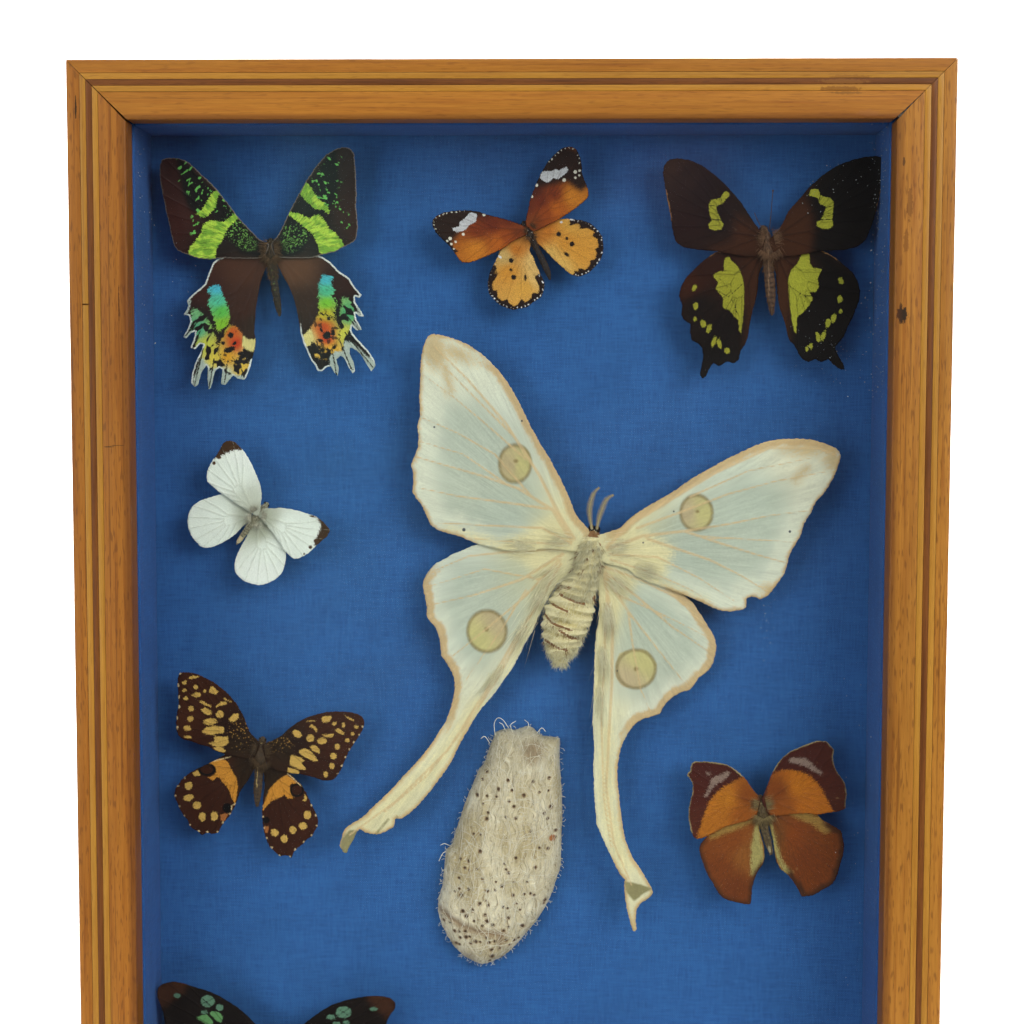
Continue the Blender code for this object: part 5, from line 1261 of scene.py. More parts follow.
            (8.2, -38.6), (6.6, -38.8), (4.5, -36.7), (2.9, -35.2), (1.6, -32.5), (.6, -29.4),
            (.1, -25.7), (-.2, -22), (.3, -17), (.8, -11), (.9, -6)],
    },
    "orange_anteva": {
        "centre": (97.0, 278.0),
        "spine": [(-.7, 3.4, .8), (-.5, 1.6, 1.3), (0, -2, 2.1), (.4, -6, 1.9), (1.2, -10, 1.4),
                  (2.4, -14, 1.3), (3.3, -17.5, .8), (3.6, -19, .4)],
        "forewing_left": [
            (-2.2, 2.4), (-2.6, 3.3), (-3.5, 6.2), (-5.4, 9), (-7.3, 11.4), (-10.2, 14), (-13, 15.7),
            (-15.9, 16.7), (-19.7, 17.2), (-23.5, 17.5), (-26.4, 17.4), (-27.3, 16.7), (-27.8, 15.2),
            (-27.9, 14), (-29, 12.9), (-29, 11.9), (-27.8, 10.5), (-26.9, 8.6), (-26.9, 5.7),
            (-27.3, 3.8), (-28, 1), (-28.4, -1.9), (-28.3, -5.2), (-27.6, -9), (-26.4, -11.9),
            (-25, -12.6), (-22.6, -12.1), (-20.2, -11.2), (-16.4, -9), (-13, -7.6), (-9.7, -6.7),
            (-2.8, -4.4)],
        "forewing_right": [
            (1.2, 2.4), (.9, 4.8), (1.5, 7.6), (2.7, 11), (4.1, 14.3), (5.5, 16.7), (7.4, 19), (10.3, 21.4),
            (14.1, 23.3), (17.4, 24.8), (20.3, 25.7), (23.6, 25.7), (24.8, 24.8), (26, 23.3),
            (26.9, 22.4), (26.5, 20.5), (26.7, 17.6), (27.7, 14.8), (29.3, 12.1), (31, 10), (31.7, 7.6),
            (32, 4.8), (31.7, 1.4), (31.5, -.5), (29.3, -1.4), (25.5, -2.1), (20.8, -2.9), (17.4, -2.5),
            (10.8, -2.9), (3, -4)],
        "hindwing_left": [
            (-2.8, -3), (-8, -5), (-14, -7.2), (-19, -10.2), (-22.6, -13.8), (-23.8, -15.7), (-24, -17.6),
            (-23.3, -20.5), (-22.1, -23.8), (-20.7, -27.1), (-18.8, -30), (-17.3, -32.9), (-15.7, -35.2),
            (-13.5, -36.7), (-11.1, -37.4), (-8.3, -38.1), (-5.4, -38.5), (-4.2, -38.3), (-3.9, -36.2),
            (-3.5, -32.4), (-2.8, -29), (-1.6, -26.2), (0, -23.8), (1, -21.4), (1.1, -19), (.8, -15.7),
            (-.2, -12.4), (-1.2, -8)],
        "hindwing_right": [
            (3, -2.6), (10.8, -1.2), (17.4, -.8), (20.3, -2.6), (23.1, -5.2), (26.5, -7.1), (30.3, -9.5),
            (31, -11.9), (31.6, -15.2), (31.2, -19), (30, -22.9), (29.1, -26.2), (28.1, -28.8),
            (26.5, -30.7), (23.6, -32.4), (20.3, -34.5), (17.9, -35), (15.5, -35.2), (14.1, -32.4),
            (12.2, -29.5), (9.8, -26.7), (7.4, -24.8), (5.9, -22.3), (5.2, -20), (4.9, -17.5),
            (4.5, -14), (3.6, -10.5), (3, -6)],
    },
    "dark_swallowtail": {
        "centre": (-91.0, 380.0),
        "spine": [(.6, 10.5, .9), (.6, 8.5, 1.4), (.4, 4, 2.4), (.2, -1, 2.1), (.1, -7, 1.8),
                  (0, -14, 1.5), (0, -19, .9), (0, -20.5, .4)],
        "forewing_left": [
            (-2.6, 6.6), (-4.3, 9.6), (-6.2, 12.2), (-8.9, 15.3), (-11.8, 18.4), (-14.9, 21.2),
            (-19.3, 24), (-23, 26.2), (-27.4, 28.1), (-31.1, 29.3), (-35.5, 30.8), (-39.9, 31.5),
            (-43.4, 30.8), (-45.6, 29.4), (-46.2, 27.5), (-46, 25.3), (-45.2, 22.8), (-44.2, 19.6),
            (-43.5, 14.6), (-43, 9), (-42.2, 3.6), (-40.8, -.6), (-38.4, -3.2), (-33, -4.3),
            (-26, -4.6), (-18, -4.4), (-10, -4), (-3.2, -2.6)],
        "forewing_right": [
            (3.4, 6.6), (5.4, 9.2), (8.2, 12.4), (11.4, 15.3), (14.5, 17.8), (18.3, 20.6), (22, 22.8),
            (26.4, 24.3), (31.4, 25.6), (36.4, 26.5), (40.8, 26.6), (44.5, 25.9), (46.5, 24),
            (46.4, 21.5), (44.6, 19), (43.3, 16.5), (42.4, 13), (41.9, 8.6), (41, 3.6), (39.6, -.8),
            (37, -3.8), (32, -5), (25, -5.2), (17.5, -4.8), (10, -4.2), (3.2, -2.6)],
        "hindwing_left": [
            (-3, 0), (-10, .8), (-17, -.4), (-23, -3.4), (-27.5, -7.5), (-30, -11.5), (-30.5, -15),
            (-29.5, -17.5), (-29.2, -20), (-27, -21.5), (-26.3, -24), (-24, -25.2), (-23.2, -27.5),
            (-23.6, -30), (-22.6, -31.8), (-20.8, -31.5), (-19.9, -29), (-18.5, -27.6), (-16.2, -28.6),
            (-14.2, -27.8), (-12, -28.4), (-9.8, -27.5), (-8, -25), (-6.6, -20.5), (-5, -15), (-4, -9),
            (-3.5, -5)],
        "hindwing_right": [
            (3, 0), (10, .6), (17, -.8), (23.2, -4), (27.6, -8.2), (30.2, -12.4), (30.5, -16),
            (29.4, -18.4), (29, -20.8), (26.8, -22.2), (26, -24.6), (23.8, -25.8), (23, -28),
            (23.2, -30.4), (22.2, -32), (20.5, -31.6), (19.6, -29.2), (18.2, -28), (16, -29),
            (14, -28.2), (11.8, -28.8), (9.6, -27.8), (8, -25.4), (6.6, -20.8), (5.2, -15), (4.2, -9),
            (3.6, -5)],
    },
}
COCOON_CENTRE = (-3.0, 297.0)
COCOON = [
    (-3, 45), (-.5, 46), (2, 46.5), (4.5, 46), (7, 46.8), (9.5, 47.6), (12, 46.6), (14, 44.2), (18, 43.5),
    (21.6, 43), (22.3, 41.5), (22, 37), (22.3, 30), (23, 22), (23.2, 13), (22.9, 5), (22.8, -2),
    (22.6, -8), (21.3, -12), (20, -16.5), (18.5, -20.5), (15.8, -25.5), (13, -30), (10, -33.5),
    (7, -37.3), (3.5, -41), (-.3, -44), (-4.5, -46), (-8, -46.9), (-12, -45.5), (-16, -43),
    (-19.5, -39.5), (-22, -35.5), (-24.3, -31), (-25.5, -26), (-25.3, -21), (-23.8, -16),
    (-23.2, -10), (-22.7, -5), (-22, -1.5), (-20, .5), (-18.5, 6), (-16.5, 12), (-14.5, 18),
    (-12, 24), (-10, 29), (-7, 34), (-5, 40), (-3.7, 43)]
# ---------------------------------------------------------------------------
# The eight insects. Shapes are drawn in millimetres from the middle of each
# thorax, x to the right and z up, as in SPECIMENS.

FORE_Y, HIND_Y = 3.5, 4.9


def P_(*pts):
    return ("p", list(pts))


def C_(x, z, r):
    return ("c", x, z, r)


def E_(x, z, w, h, a=0.0):
    return ("e", x, z, w, h, a)


def S_(pts, w0, w1=None):
    return ("s", pts, w0, w0 if w1 is None else w1)


def small(shapes, most=1.3):
    out = []
    for s in shapes:
        if s[0] == "c" and s[3] <= most:
            out.append((s[1], s[2], s[3] * 0.8))
        if s[0] == "e" and min(s[3], s[4]) / 2 <= most:
            out.append((s[1], s[2], min(s[3], s[4]) * 0.4))
    return out


def into_body(prefix, outline, root, reach):
    """Draws an outline's points near the wing root in under the body, so that no gap shows."""
    sp = np.array(smooth_line(SPECIMENS[prefix]["spine"], .5))
    out = []
    for q in np.asarray(outline, float):
        k = np.clip((reach - math.hypot(q[0] - root[0], q[1] - root[1])) / (reach * .6), 0, .9)
        near = sp[int(np.argmin(((sp[:, :2] - q) ** 2).sum(1))), :2]
        out.append(tuple(q + (near - q) * k))
    return out


def do_wing(prefix, which, mat, root, layers, hind=False, pull=4.2, **kw):
    sp = SPECIMENS[prefix]
    if prefix == "sunset_moth" and hind:         # the white margin runs along the outer edge and tails only
        sg, x0, z0 = (-1, 9, -38) if "left" in which else (1, 11, -34)
        layers = layers + [("edge", lambda c: np.minimum(.6 - c["rim"], np.maximum(sg * c["P"][:, 0] - x0, z0 - c["P"][:, 1])))]
    ex = []
    for _, sh in layers:
        if not callable(sh):
            ex += small(sh)
    name = "%s_%s" % (prefix, which)
    kw.setdefault("y_mid", HIND_Y if hind else FORE_Y)
    return wing("wing_" + name, sp["centre"], into_body(prefix, sp[which], root, pull), root, mat=mat, layers=layers, extra=ex,
                slot=prefix + "_wings", replaces=name, **kw)


# -- sunset moth ------------------------------------------------------------
def speckle(m, fan, su, sv, lo, hi, off=(0, 0, 0), detail=1):
    return m.span(m.noise(m.scaled(su, sv, 1.0, vec=fan, off=off), detail=detail, rough=0.55), lo, hi, smooth=True)


def sunset_mat(name, hind):
    m = Mat(name, rough=0.55, spec=0.2)
    fan = m.attr("fan", "Vector")
    fine = m.noise(m.scaled(2.4, 0.4, 1.0, vec=fan), detail=1, rough=0.6)
    scales = m.noise(m.scaled(2600, 2600, 2600), detail=0)
    wavy = m.math("SUBTRACT", m.math("ADD", fine, scales), 1.0)
    colour = m.attr("base", "Color")

    def mask(key, soft, jit):
        return m.span(m.math("ADD", m.attr(key), m.math("MULTIPLY", wavy, jit)), -soft, soft, smooth=True)

    lines = m.span(fine, 0.30, 0.46, smooth=True)
    if hind:
        f = m.math("MULTIPLY", mask("stripe", 0.5, 1.8), speckle(m, fan, 0.55, 0.26, 0.43, 0.50))
        colour = m.mix(f, colour, m.attr("tint", "Color"))
        colour = m.mix(m.math("MULTIPLY", mask("band", 0.1, 2.0), m.span(lines, 0, 1, 0.72, 1.0)), colour, m.attr("tint", "Color"))
        colour = m.mix(m.math("MULTIPLY", mask("orange", 0.3, 1.4), m.span(speckle(m, fan, 0.8, 0.4, 0.36, 0.42, (4, 2, 0)), 0, 1, 0.25, 1.0)),
                       colour, m.attr("tint", "Color"))
        colour = m.mix(mask("cream", 0.25, 0.9), colour, srgb(226, 216, 150))
        colour = m.mix(mask("spot", 0.15, 0.8), colour, srgb(28, 14, 10))
        colour = m.mix(mask("edge", 0.12, 0.4), colour, srgb(226, 232, 226))
        colour = m.mix(mask("pale", 0.5, 1.0), colour, srgb(188, 200, 190))
        colour = m.mix(mask("tailvein", 0.12, 0.4), colour, srgb(48, 42, 30))
    else:
        g = m.mix(speckle(m, fan, 0.5, 0.3, 0.4, 0.6, (2, 7, 0)), srgb(146, 190, 76), srgb(196, 226, 96))
        colour = m.mix(mask("inner", 1.2, 1.0), colour, srgb(22, 14, 10))
        f = m.math("MULTIPLY", mask("fleck", 0.8, 1.0), speckle(m, fan, 0.62, 0.72, 0.61, 0.66, (1, 3, 0)))
        colour = m.mix(f, colour, srgb(132, 206, 110))
        f = m.math("MULTIPLY", mask("basal", 0.8, 1.0), speckle(m, fan, 0.75, 1.5, 0.56, 0.63, (6, 3, 0)))
        colour = m.mix(m.math("MULTIPLY", f, 0.95), colour, srgb(140, 190, 100))
        colour = m.mix(m.math("MULTIPLY", mask("green", 0.12, 1.1), m.span(lines, 0, 1, 0.62, 1.0)), colour, g)
        colour = m.mix(m.span(m.math("ADD", m.attr("rim"), m.math("MULTIPLY", wavy, 0.5)), 0.42, 0.12, smooth=True), colour, srgb(150, 140, 130))
    colour = m.tone(m.gamma(colour, 1.25), m.math("ADD", m.span(fine, 0.25, 0.75, 0.88, 1.12), m.span(scales, 0.3, 0.7, -0.13, 0.13)))
    h = m.math("ADD", m.math("MULTIPLY", fine, 0.5), m.span(m.attr("vein"), 0.7, 0.0, smooth=True))
    m.set(Base_Color=colour, Roughness=m.span(fine, 0.2, 0.8, 0.42, 0.6), Normal=m.bump(h, 0.00016, 0.5))
    return m.m


sm_f, sm_h = sunset_mat("sunset_forewing", False), sunset_mat("sunset_hindwing", True)
do_wing("sunset_moth", "forewing_left", sm_f, (-3.5, 4), [
    ("inner", [P_((-3, 6), (-34, 38), (-33, 25), (-30, 18), (-22, 16), (-16, 9), (-12, 2), (-3, 0))]),
    ("fleck", [P_((-15, 20), (-34, 39), (-35, 28), (-29, 22), (-31, 10), (-28, 8), (-26, 17), (-17, 15))]),
    ("basal", [P_((-5, 6), (-14, 17), (-16, 11), (-17, 8), (-10, 3), (-6, 3))]),
    ("green", [P_((-20, 25.5), (-18.7, 25), (-20, 22), (-20.5, 19), (-23, 16.5), (-25, 15), (-28, 16.5), (-26, 18), (-24, 21), (-22, 24)),
               P_((-12.8, 17), (-11.5, 15.5), (-16, 11.5), (-18, 7), (-20.3, 4), (-21, 0), (-26, -.4), (-31, 1), (-30.5, 4.2), (-28, 7),
                  (-26, 10), (-25.5, 12.5), (-22, 14.5), (-18, 13.5))])],
    base=[(-38, 30, (72, 36, 28)), (-36, 14, (80, 40, 30)), (-20, 8, (40, 24, 18)), (-8, 3, (58, 38, 26)), (-12, 12, (26, 18, 14))],
    net=dict(tip_share=(.30, .70)), seed=11)
do_wing("sunset_moth", "forewing_right", sm_f, (3, 4), [
    ("inner", [P_((2, 6), (24, 41), (26, 30), (25, 22), (20, 16), (15, 9), (12, 2), (3, 0))]),
    ("fleck", [P_((11, 25), (26, 42), (28, 30), (25, 24), (31, 14), (28, 8), (24, 18), (14, 22))]),
    ("basal", [P_((4, 6), (6, 13), (11, 12), (15, 8), (10, 3), (6, 2))]),
    ("green", [P_((13.5, 28.5), (12, 26), (11.5, 24), (14, 21), (17, 18.5), (20, 18), (22.5, 16.2), (22, 19), (20, 21), (18, 22.5), (16, 26)),
               P_((6.5, 17), (10, 14), (13, 11.5), (16, 9), (18, 5), (18.7, 2), (21, 1.4), (25, 2.8), (28, 4.3), (27, 6.5), (25, 9), (22, 11.5),
                  (20.5, 14.5), (18, 16.5), (15, 15), (10, 17))])],
    base=[(30, 34, (56, 33, 27)), (31, 14, (66, 38, 28)), (18, 8, (38, 24, 18)), (8, 3, (62, 42, 28)), (10, 14, (24, 16, 12))],
    net=dict(tip_share=(.30, .70)), seed=12)
hl_tint = [(-20.5, -11, (96, 196, 214)), (-20, -16, (104, 204, 172)), (-19, -20, (112, 200, 96)), (-18.5, -25, (150, 206, 66)),
           (-15, -28, (212, 110, 44)), (-13.5, -32, (206, 76, 34)), (-17, -37.5, (226, 176, 56)), (-12, -41, (232, 200, 90)),
           (-28, -27, (110, 190, 150)), (-25, -33, (214, 214, 96)), (-22, -38, (232, 214, 96)), (-8, -33, (232, 220, 150)),
           (-27, -42, (196, 214, 196)), (-18, -44, (200, 216, 200))]
do_wing("sunset_moth", "hindwing_left", sm_h, (-3.5, 0), [
    ("band", [P_((-22.5, -10), (-19.5, -10.5), (-18.5, -14), (-17, -17), (-15.8, -22), (-16.5, -25), (-20, -28), (-21, -26), (-22, -22),
                 (-24, -17), (-23, -14), (-24.5, -12.5))]),
    ("orange", [P_((-16, -25), (-13, -26), (-11, -29), (-10.5, -32), (-11, -35), (-13, -38), (-17, -39), (-20, -37), (-20, -33), (-18.5, -29))]),
    ("cream", [P_((-11, -29), (-9, -30.5), (-6.2, -30.5), (-6, -33), (-7, -35.3), (-9.5, -34.5), (-11, -33))]),
    ("stripe", [P_((-30, -19), (-27, -20), (-23, -25), (-21, -30), (-20, -37), (-17, -39), (-10, -38), (-8, -41), (-12, -45), (-20, -43),
                   (-26, -41), (-29, -34), (-31, -26))]),
    ("spot", [E_(-16, -34.5, 4.4, 2.2, 20), C_(-19, -29, 1.0), E_(-11.5, -36, 2.4, 1.4), C_(-15.5, -29, 1.1), E_(-14, -32, 2.0, 1.2, 40),
              E_(-18.5, -32, 1.8, 1.0, 0)]),
    ("pale", [P_((-27, -38), (-26, -38), (-25, -42), (-20, -42), (-16, -44), (-10, -44.5), (-12, -47), (-20, -49), (-25, -51), (-31, -50)),
              S_([(-31, -16), (-32.5, -21)], 1.0), S_([(-31, -28), (-33, -30)], 1.2)]),
    ("tailvein", [S_([(-26, -34), (-29.5, -48)], .5), S_([(-22, -38), (-24, -49)], .5), S_([(-17, -40), (-18, -47)], .5),
                  S_([(-27, -27), (-30, -34)], .5), S_([(-28, -24), (-33, -29.5)], .5), S_([(-12, -40), (-10.5, -45)], .5)])],
    base=[(-12, -4, (92, 58, 38)), (-25, -12, (76, 38, 26)), (-10, -18, (78, 46, 30)), (-28, -25, (30, 16, 12)), (-14, -38, (30, 16, 12)),
          (-6, -25, (64, 44, 30))],
    tint=hl_tint, net=dict(tip_share=(.26, .80), veins=9), seed=13, hind=True, soft=0.35, fringe=0.08)
do_wing("sunset_moth", "hindwing_right", sm_h, (3.5, 0), [
    ("band", [P_((19.5, -6), (23.5, -7), (23, -10), (24.5, -12), (23, -14), (24.8, -17), (24, -20), (24.5, -22.5), (21.5, -21), (18.2, -20.5),
                 (18, -15), (17.8, -10), (18.8, -8))]),
    ("orange", [P_((18, -21), (24, -22.5), (26, -26), (25.5, -31), (22, -34), (18.5, -33.5), (15, -31), (14.5, -27), (16.5, -24))]),
    ("cream", [P_((11.3, -30), (13, -28.2), (15, -26.5), (16, -30), (14.5, -33), (12.5, -33.3))]),
    ("stripe", [P_((27, -15), (31, -16), (32, -24), (29, -28), (30, -35), (24, -38), (18, -37.5), (15, -35), (20, -34), (26, -30), (26, -24))]),
    ("spot", [C_(21, -29, 1.5), C_(21.8, -22.7, .7), E_(18.5, -31, 2.4, 1.2, -20), E_(23.6, -28, 1.4, 2.2), E_(19, -27, 1.2, 2.0, 20)]),
    ("pale", [P_((28, -31), (31, -32), (40, -40), (39, -43), (33, -36), (31, -43), (28, -38), (25.5, -45), (22.5, -44), (22, -38), (24, -35),
                 (27, -35)), S_([(33, -15), (33.5, -22)], 1.0), S_([(31, -24.5), (34, -27)], 1.2)]),
    ("tailvein", [S_([(28, -28), (38.5, -41)], .5), S_([(26, -31), (30.5, -42)], .5), S_([(23, -34), (24.8, -44)], .5),
                  S_([(28, -21), (33.5, -27)], .5), S_([(19, -36), (19.5, -41)], .5)])],
    base=[(10, -4, (112, 78, 52)), (26, -8, (66, 34, 24)), (10, -18, (72, 48, 32)), (28, -22, (28, 16, 12)), (20, -38, (30, 16, 12)),
          (8, -24, (60, 40, 28))],
    tint=[(21, -8, (96, 196, 206)), (21, -12, (100, 200, 160)), (21, -17, (140, 206, 70)), (21, -21, (200, 190, 60)), (20, -26, (212, 100, 38)),
          (21, -30, (206, 78, 34)), (23, -35, (232, 190, 70)), (18, -35, (230, 196, 90)), (29, -21, (100, 184, 130)), (28, -29, (214, 214, 96)),
          (32, -36, (200, 216, 200)), (14, -31, (232, 220, 150))],
    net=dict(tip_share=(.26, .80), veins=9), seed=14, hind=True, soft=0.35, fringe=0.08)

# -- plain tiger --------------------------------------------------------------
pt_layers = [("apex", (58, 34, 20), 1.6, 1.6), ("border", (50, 28, 18), .25, .9), ("dark", (34, 22, 18), .18, .6),
             ("band", (206, 210, 226), .12, .5), ("dot", (226, 226, 226), .1, .2)]
pt_f = wing_mat("tiger_forewing", pt_layers, warm=(1.0, .96, .8), vein=(0.4, (70, 36, 18), .22), fringe=(.3, (44, 28, 20), .6), rough=.6, streak=.16)
pt_h = wing_mat("tiger_hindwing", pt_layers, vein=(0.35, (120, 76, 34), .16), fringe=(.2, (60, 40, 26), .4), rough=.6, streak=.12)
do_wing("plain_tiger", "forewing_left", pt_f, (-2.6, 1.5), [
    ("apex", [P_((-12, 13), (-24, 13), (-38, 5), (-38, -6), (-31, -9), (-29, -3), (-26, 1.5), (-22, 5), (-17, 8))]),
    ("border", border(.9, .5, (.46, .60), .3)),
    ("dark", [S_([(-4, 5), (-12, 10.8), (-22, 12.6)], 1.0, 1.8)]),
    ("band", [P_((-29.4, 2.1), (-27.5, .5), (-23.9, 1.7), (-23, 3.3), (-20.3, 4.6), (-19.8, 7.4), (-21.6, 8.2), (-23, 7.6), (-24.4, 5.8),
                 (-26.4, 4.6), (-26.6, 2.8))]),
    ("dot", dotted(1.7, .45, .38, (.27, .52), [C_(-17.2, 7.3, .7), C_(-13, 7.6, .4), C_(-25, -.1, .6), C_(-29.9, -1.7, .7), C_(-31, -2.7, .5),
                                               C_(-27.9, -2.9, .5), C_(-29.5, -3.8, .5), C_(-28.5, -5.6, .4)]))],
    base=[(-8, 6, (118, 54, 20)), (-16, 8, (104, 48, 20)), (-9, -1, (166, 92, 34)), (-20, -5.5, (206, 142, 56)), (-12, -3, (192, 118, 42)),
          (-20, 1.5, (142, 72, 26)), (-4, 1, (140, 76, 32)), (-14, 3.5, (126, 58, 20))],
    net=dict(tip_share=(.30, .72)), seed=21)
do_wing("plain_tiger", "forewing_right", pt_f, (.8, 4.2), [
    ("apex", [P_((-4, 19), (-3, 28), (8, 34), (20, 30), (24, 20), (19, 16), (14, 19.4), (9, 18.6), (3, 17.5))]),
    ("border", border(.9, .5, (.46, .58), .3)),
    ("dark", [S_([(-1.6, 6), (-2.8, 14), (-1.6, 22)], 1.0, 1.8)]),
    ("band", [P_((3.7, 21), (4, 23), (5.5, 23.5), (7, 23.5), (8.3, 23.4), (9.5, 24.2), (11, 23.6), (13.5, 25), (14.6, 24), (14, 23),
                 (12, 21.5), (10.5, 20.3), (8.8, 21), (7.5, 19.5), (6, 19.2), (5, 20))]),
    ("dot", dotted(1.7, .45, .38, (.30, .52), [C_(2.5, 18.3, .7), C_(.9, 14, .5), C_(12.9, 20.1, .7), C_(17.1, 23.1, .7), C_(17.1, 21, .5),
                                               C_(18.6, 21.8, .5), C_(18.7, 23.5, .5)]))],
    base=[(-1, 10, (120, 56, 20)), (2, 16, (100, 46, 20)), (6, 8, (160, 88, 32)), (16, 14, (204, 142, 56)), (10, 9.5, (190, 116, 42)),
          (9, 15, (142, 72, 26)), (1, 5, (142, 80, 34)), (4, 12, (126, 58, 20))], net=dict(tip_share=(.30, .72)), seed=22)
do_wing("plain_tiger", "hindwing_left", pt_h, (-1.6, -1.2), [
    ("apex", []), ("border", border(1.7, 1.3, (.24, .80), .35)),
    ("dark", [C_(-6.9, -9.8, .9), C_(-7.1, -13.3, .6), C_(-6, -16.1, .95), E_(-1.6, -16.2, 1.0, 2.4)]),
    ("band", []), ("dot", dotted(1.5, .42, .36, (.20, .80), [E_(-11.2, -8.5, .9, 1.8, 60)]))],
    base=[(-5, -5, (200, 134, 54)), (-8, -14, (214, 160, 74)), (-2, -20, (222, 176, 92)), (1.5, -10, (222, 190, 128)), (2.6, -16, (224, 192, 130)),
          (-9.5, -8.5, (206, 178, 120)), (-4, -3, (196, 140, 70))],
    net=dict(tip_share=(.25, .80)), seed=23, hind=True)
do_wing("plain_tiger", "hindwing_right", pt_h, (2.4, .4), [
    ("apex", []), ("border", border(1.7, 1.3, (.22, .70), .35)),
    ("dark", [C_(11, .1, .9), C_(14, -1.5, .6), C_(16, -3.6, .95), E_(14, -7.5, 2.4, 1.1, -35)]),
    ("band", []), ("dot", dotted(1.5, .42, .36, (.20, .70), [E_(11.9, 4.6, 1.2, .9), E_(16, 5.6, 1.6, .6)]))],
    base=[(6, 2, (200, 134, 54)), (14, -3, (214, 160, 74)), (19, -7, (218, 166, 80)), (8, -8, (220, 184, 112)), (12, -12, (222, 186, 112)),
          (16, 4, (216, 172, 90)), (4, 1, (196, 134, 60))],
    net=dict(tip_share=(.25, .80)), seed=24, hind=True)
# -- green-patch swallowtail -------------------------------------------------
# outer is painted shade, laid over the right wings only
ep_layers = [("lit", (92, 62, 42), 3.0, 2.0), ("outer", (30, 20, 16), 2.6, 2.0), ("green", (190, 202, 96), .12, .6), ("cut", (38, 34, 16), .10, .2),
             ("pale", (176, 150, 120), .12, .5)]
ep_m = wing_mat("swallowtail_green_patch", ep_layers, vein=(0.4, (22, 14, 12), .35), rough=.66, shine=.2, streak=.16,
                worn=((120, 100, 80), .25), warm=(.72, .58, .42))
# the right wings lie in shade: a darker copy of the same finish, as painted shade
ep_shaded_right = wing_mat("swallowtail_green_patch_shaded", ep_layers, vein=(0.4, (20, 13, 11), .3), rough=.66, shine=.2, streak=.14, warm=(.85, .72, .55))
do_wing("green_patch_swallowtail", "forewing_left", ep_m, (-2.5, 6), [
    ("lit", [P_((-2, 3), (-4, 9), (-12, 14), (-14, 4), (-22, 2), (-16, -1), (-4, 0))]), ("outer", []),
    ("green", [P_((-14.7, 21.5), (-16, 23), (-17, 22.7), (-18.3, 20.5), (-20, 20), (-21.7, 19.8), (-22.8, 18), (-22.3, 14), (-21.5, 12.2), (-23, 10.5),
                  (-22.5, 9), (-20.5, 8.4), (-18, 8.8), (-17.2, 10.8), (-18, 12), (-19, 14), (-20.2, 17), (-17.5, 18.5), (-16.5, 20))]),
    ("cut", [S_([(-17.8, 19.2), (-18.6, 21.2)], .35), S_([(-19, 17.2), (-23, 17.8)], .3), S_([(-17, 12.1), (-23, 12.5)], .4),
             S_([(-18, 14.6), (-22.6, 15)], .25)]),
    ("pale", border(.35, .0, (.50, .60), .25))],
    base=[(-30, 28, (62, 46, 34)), (-36, 34, (84, 66, 50)), (-20, 14, (48, 30, 22)), (-10, 14, (52, 34, 24)), (-30, 8, (58, 34, 26)), (-8, 4, (78, 52, 36)),
          (-24, 24, (46, 30, 22))], net=dict(tip_share=(.32, .74)), seed=31)
# right forewing: the outer layer and the darker base colours are painted shade
do_wing("green_patch_swallowtail", "forewing_right", ep_shaded_right, (2.5, 6), [
    ("lit", [P_((2, 3), (6, 12), (14, 20), (18, 20), (16, 12), (16, 4), (14, -2), (4, 0))]),
    ("outer", [P_((14, 22), (26, 34), (44, 40), (44, 10), (30, 2), (17, -1), (17.5, 8), (16.5, 14))]),
    ("green", [P_((14.5, 21.5), (15.5, 23.5), (18, 23.7), (19, 21.5), (20.5, 20.8), (22.5, 20.5), (23.9, 19), (23.7, 15), (23.4, 12.5), (23.9, 10),
                  (22.5, 9), (19.5, 9), (17.8, 9.8), (17.7, 11.5), (19.2, 12.3), (20.5, 15), (21, 17.2), (18.5, 18.5), (18, 20.5), (16, 20.9))]),
    ("cut", [S_([(18.3, 19), (19.2, 22.4)], .35), S_([(20.4, 16.6), (24, 17.6)], .3), S_([(17.6, 12.3), (24.2, 12.5)], .4), S_([(19.8, 14.4), (24, 15)], .25)]),
    ("pale", border(.25, .0, (.46, .60), .25))],
    base=[(30, 28, (34, 26, 20)), (36, 20, (28, 20, 16)), (10, 10, (88, 58, 40)), (24, 6, (34, 22, 18)), (8, 4, (88, 60, 42)), (16, 10, (72, 46, 32))],
    net=dict(tip_share=(.32, .74)), seed=32)
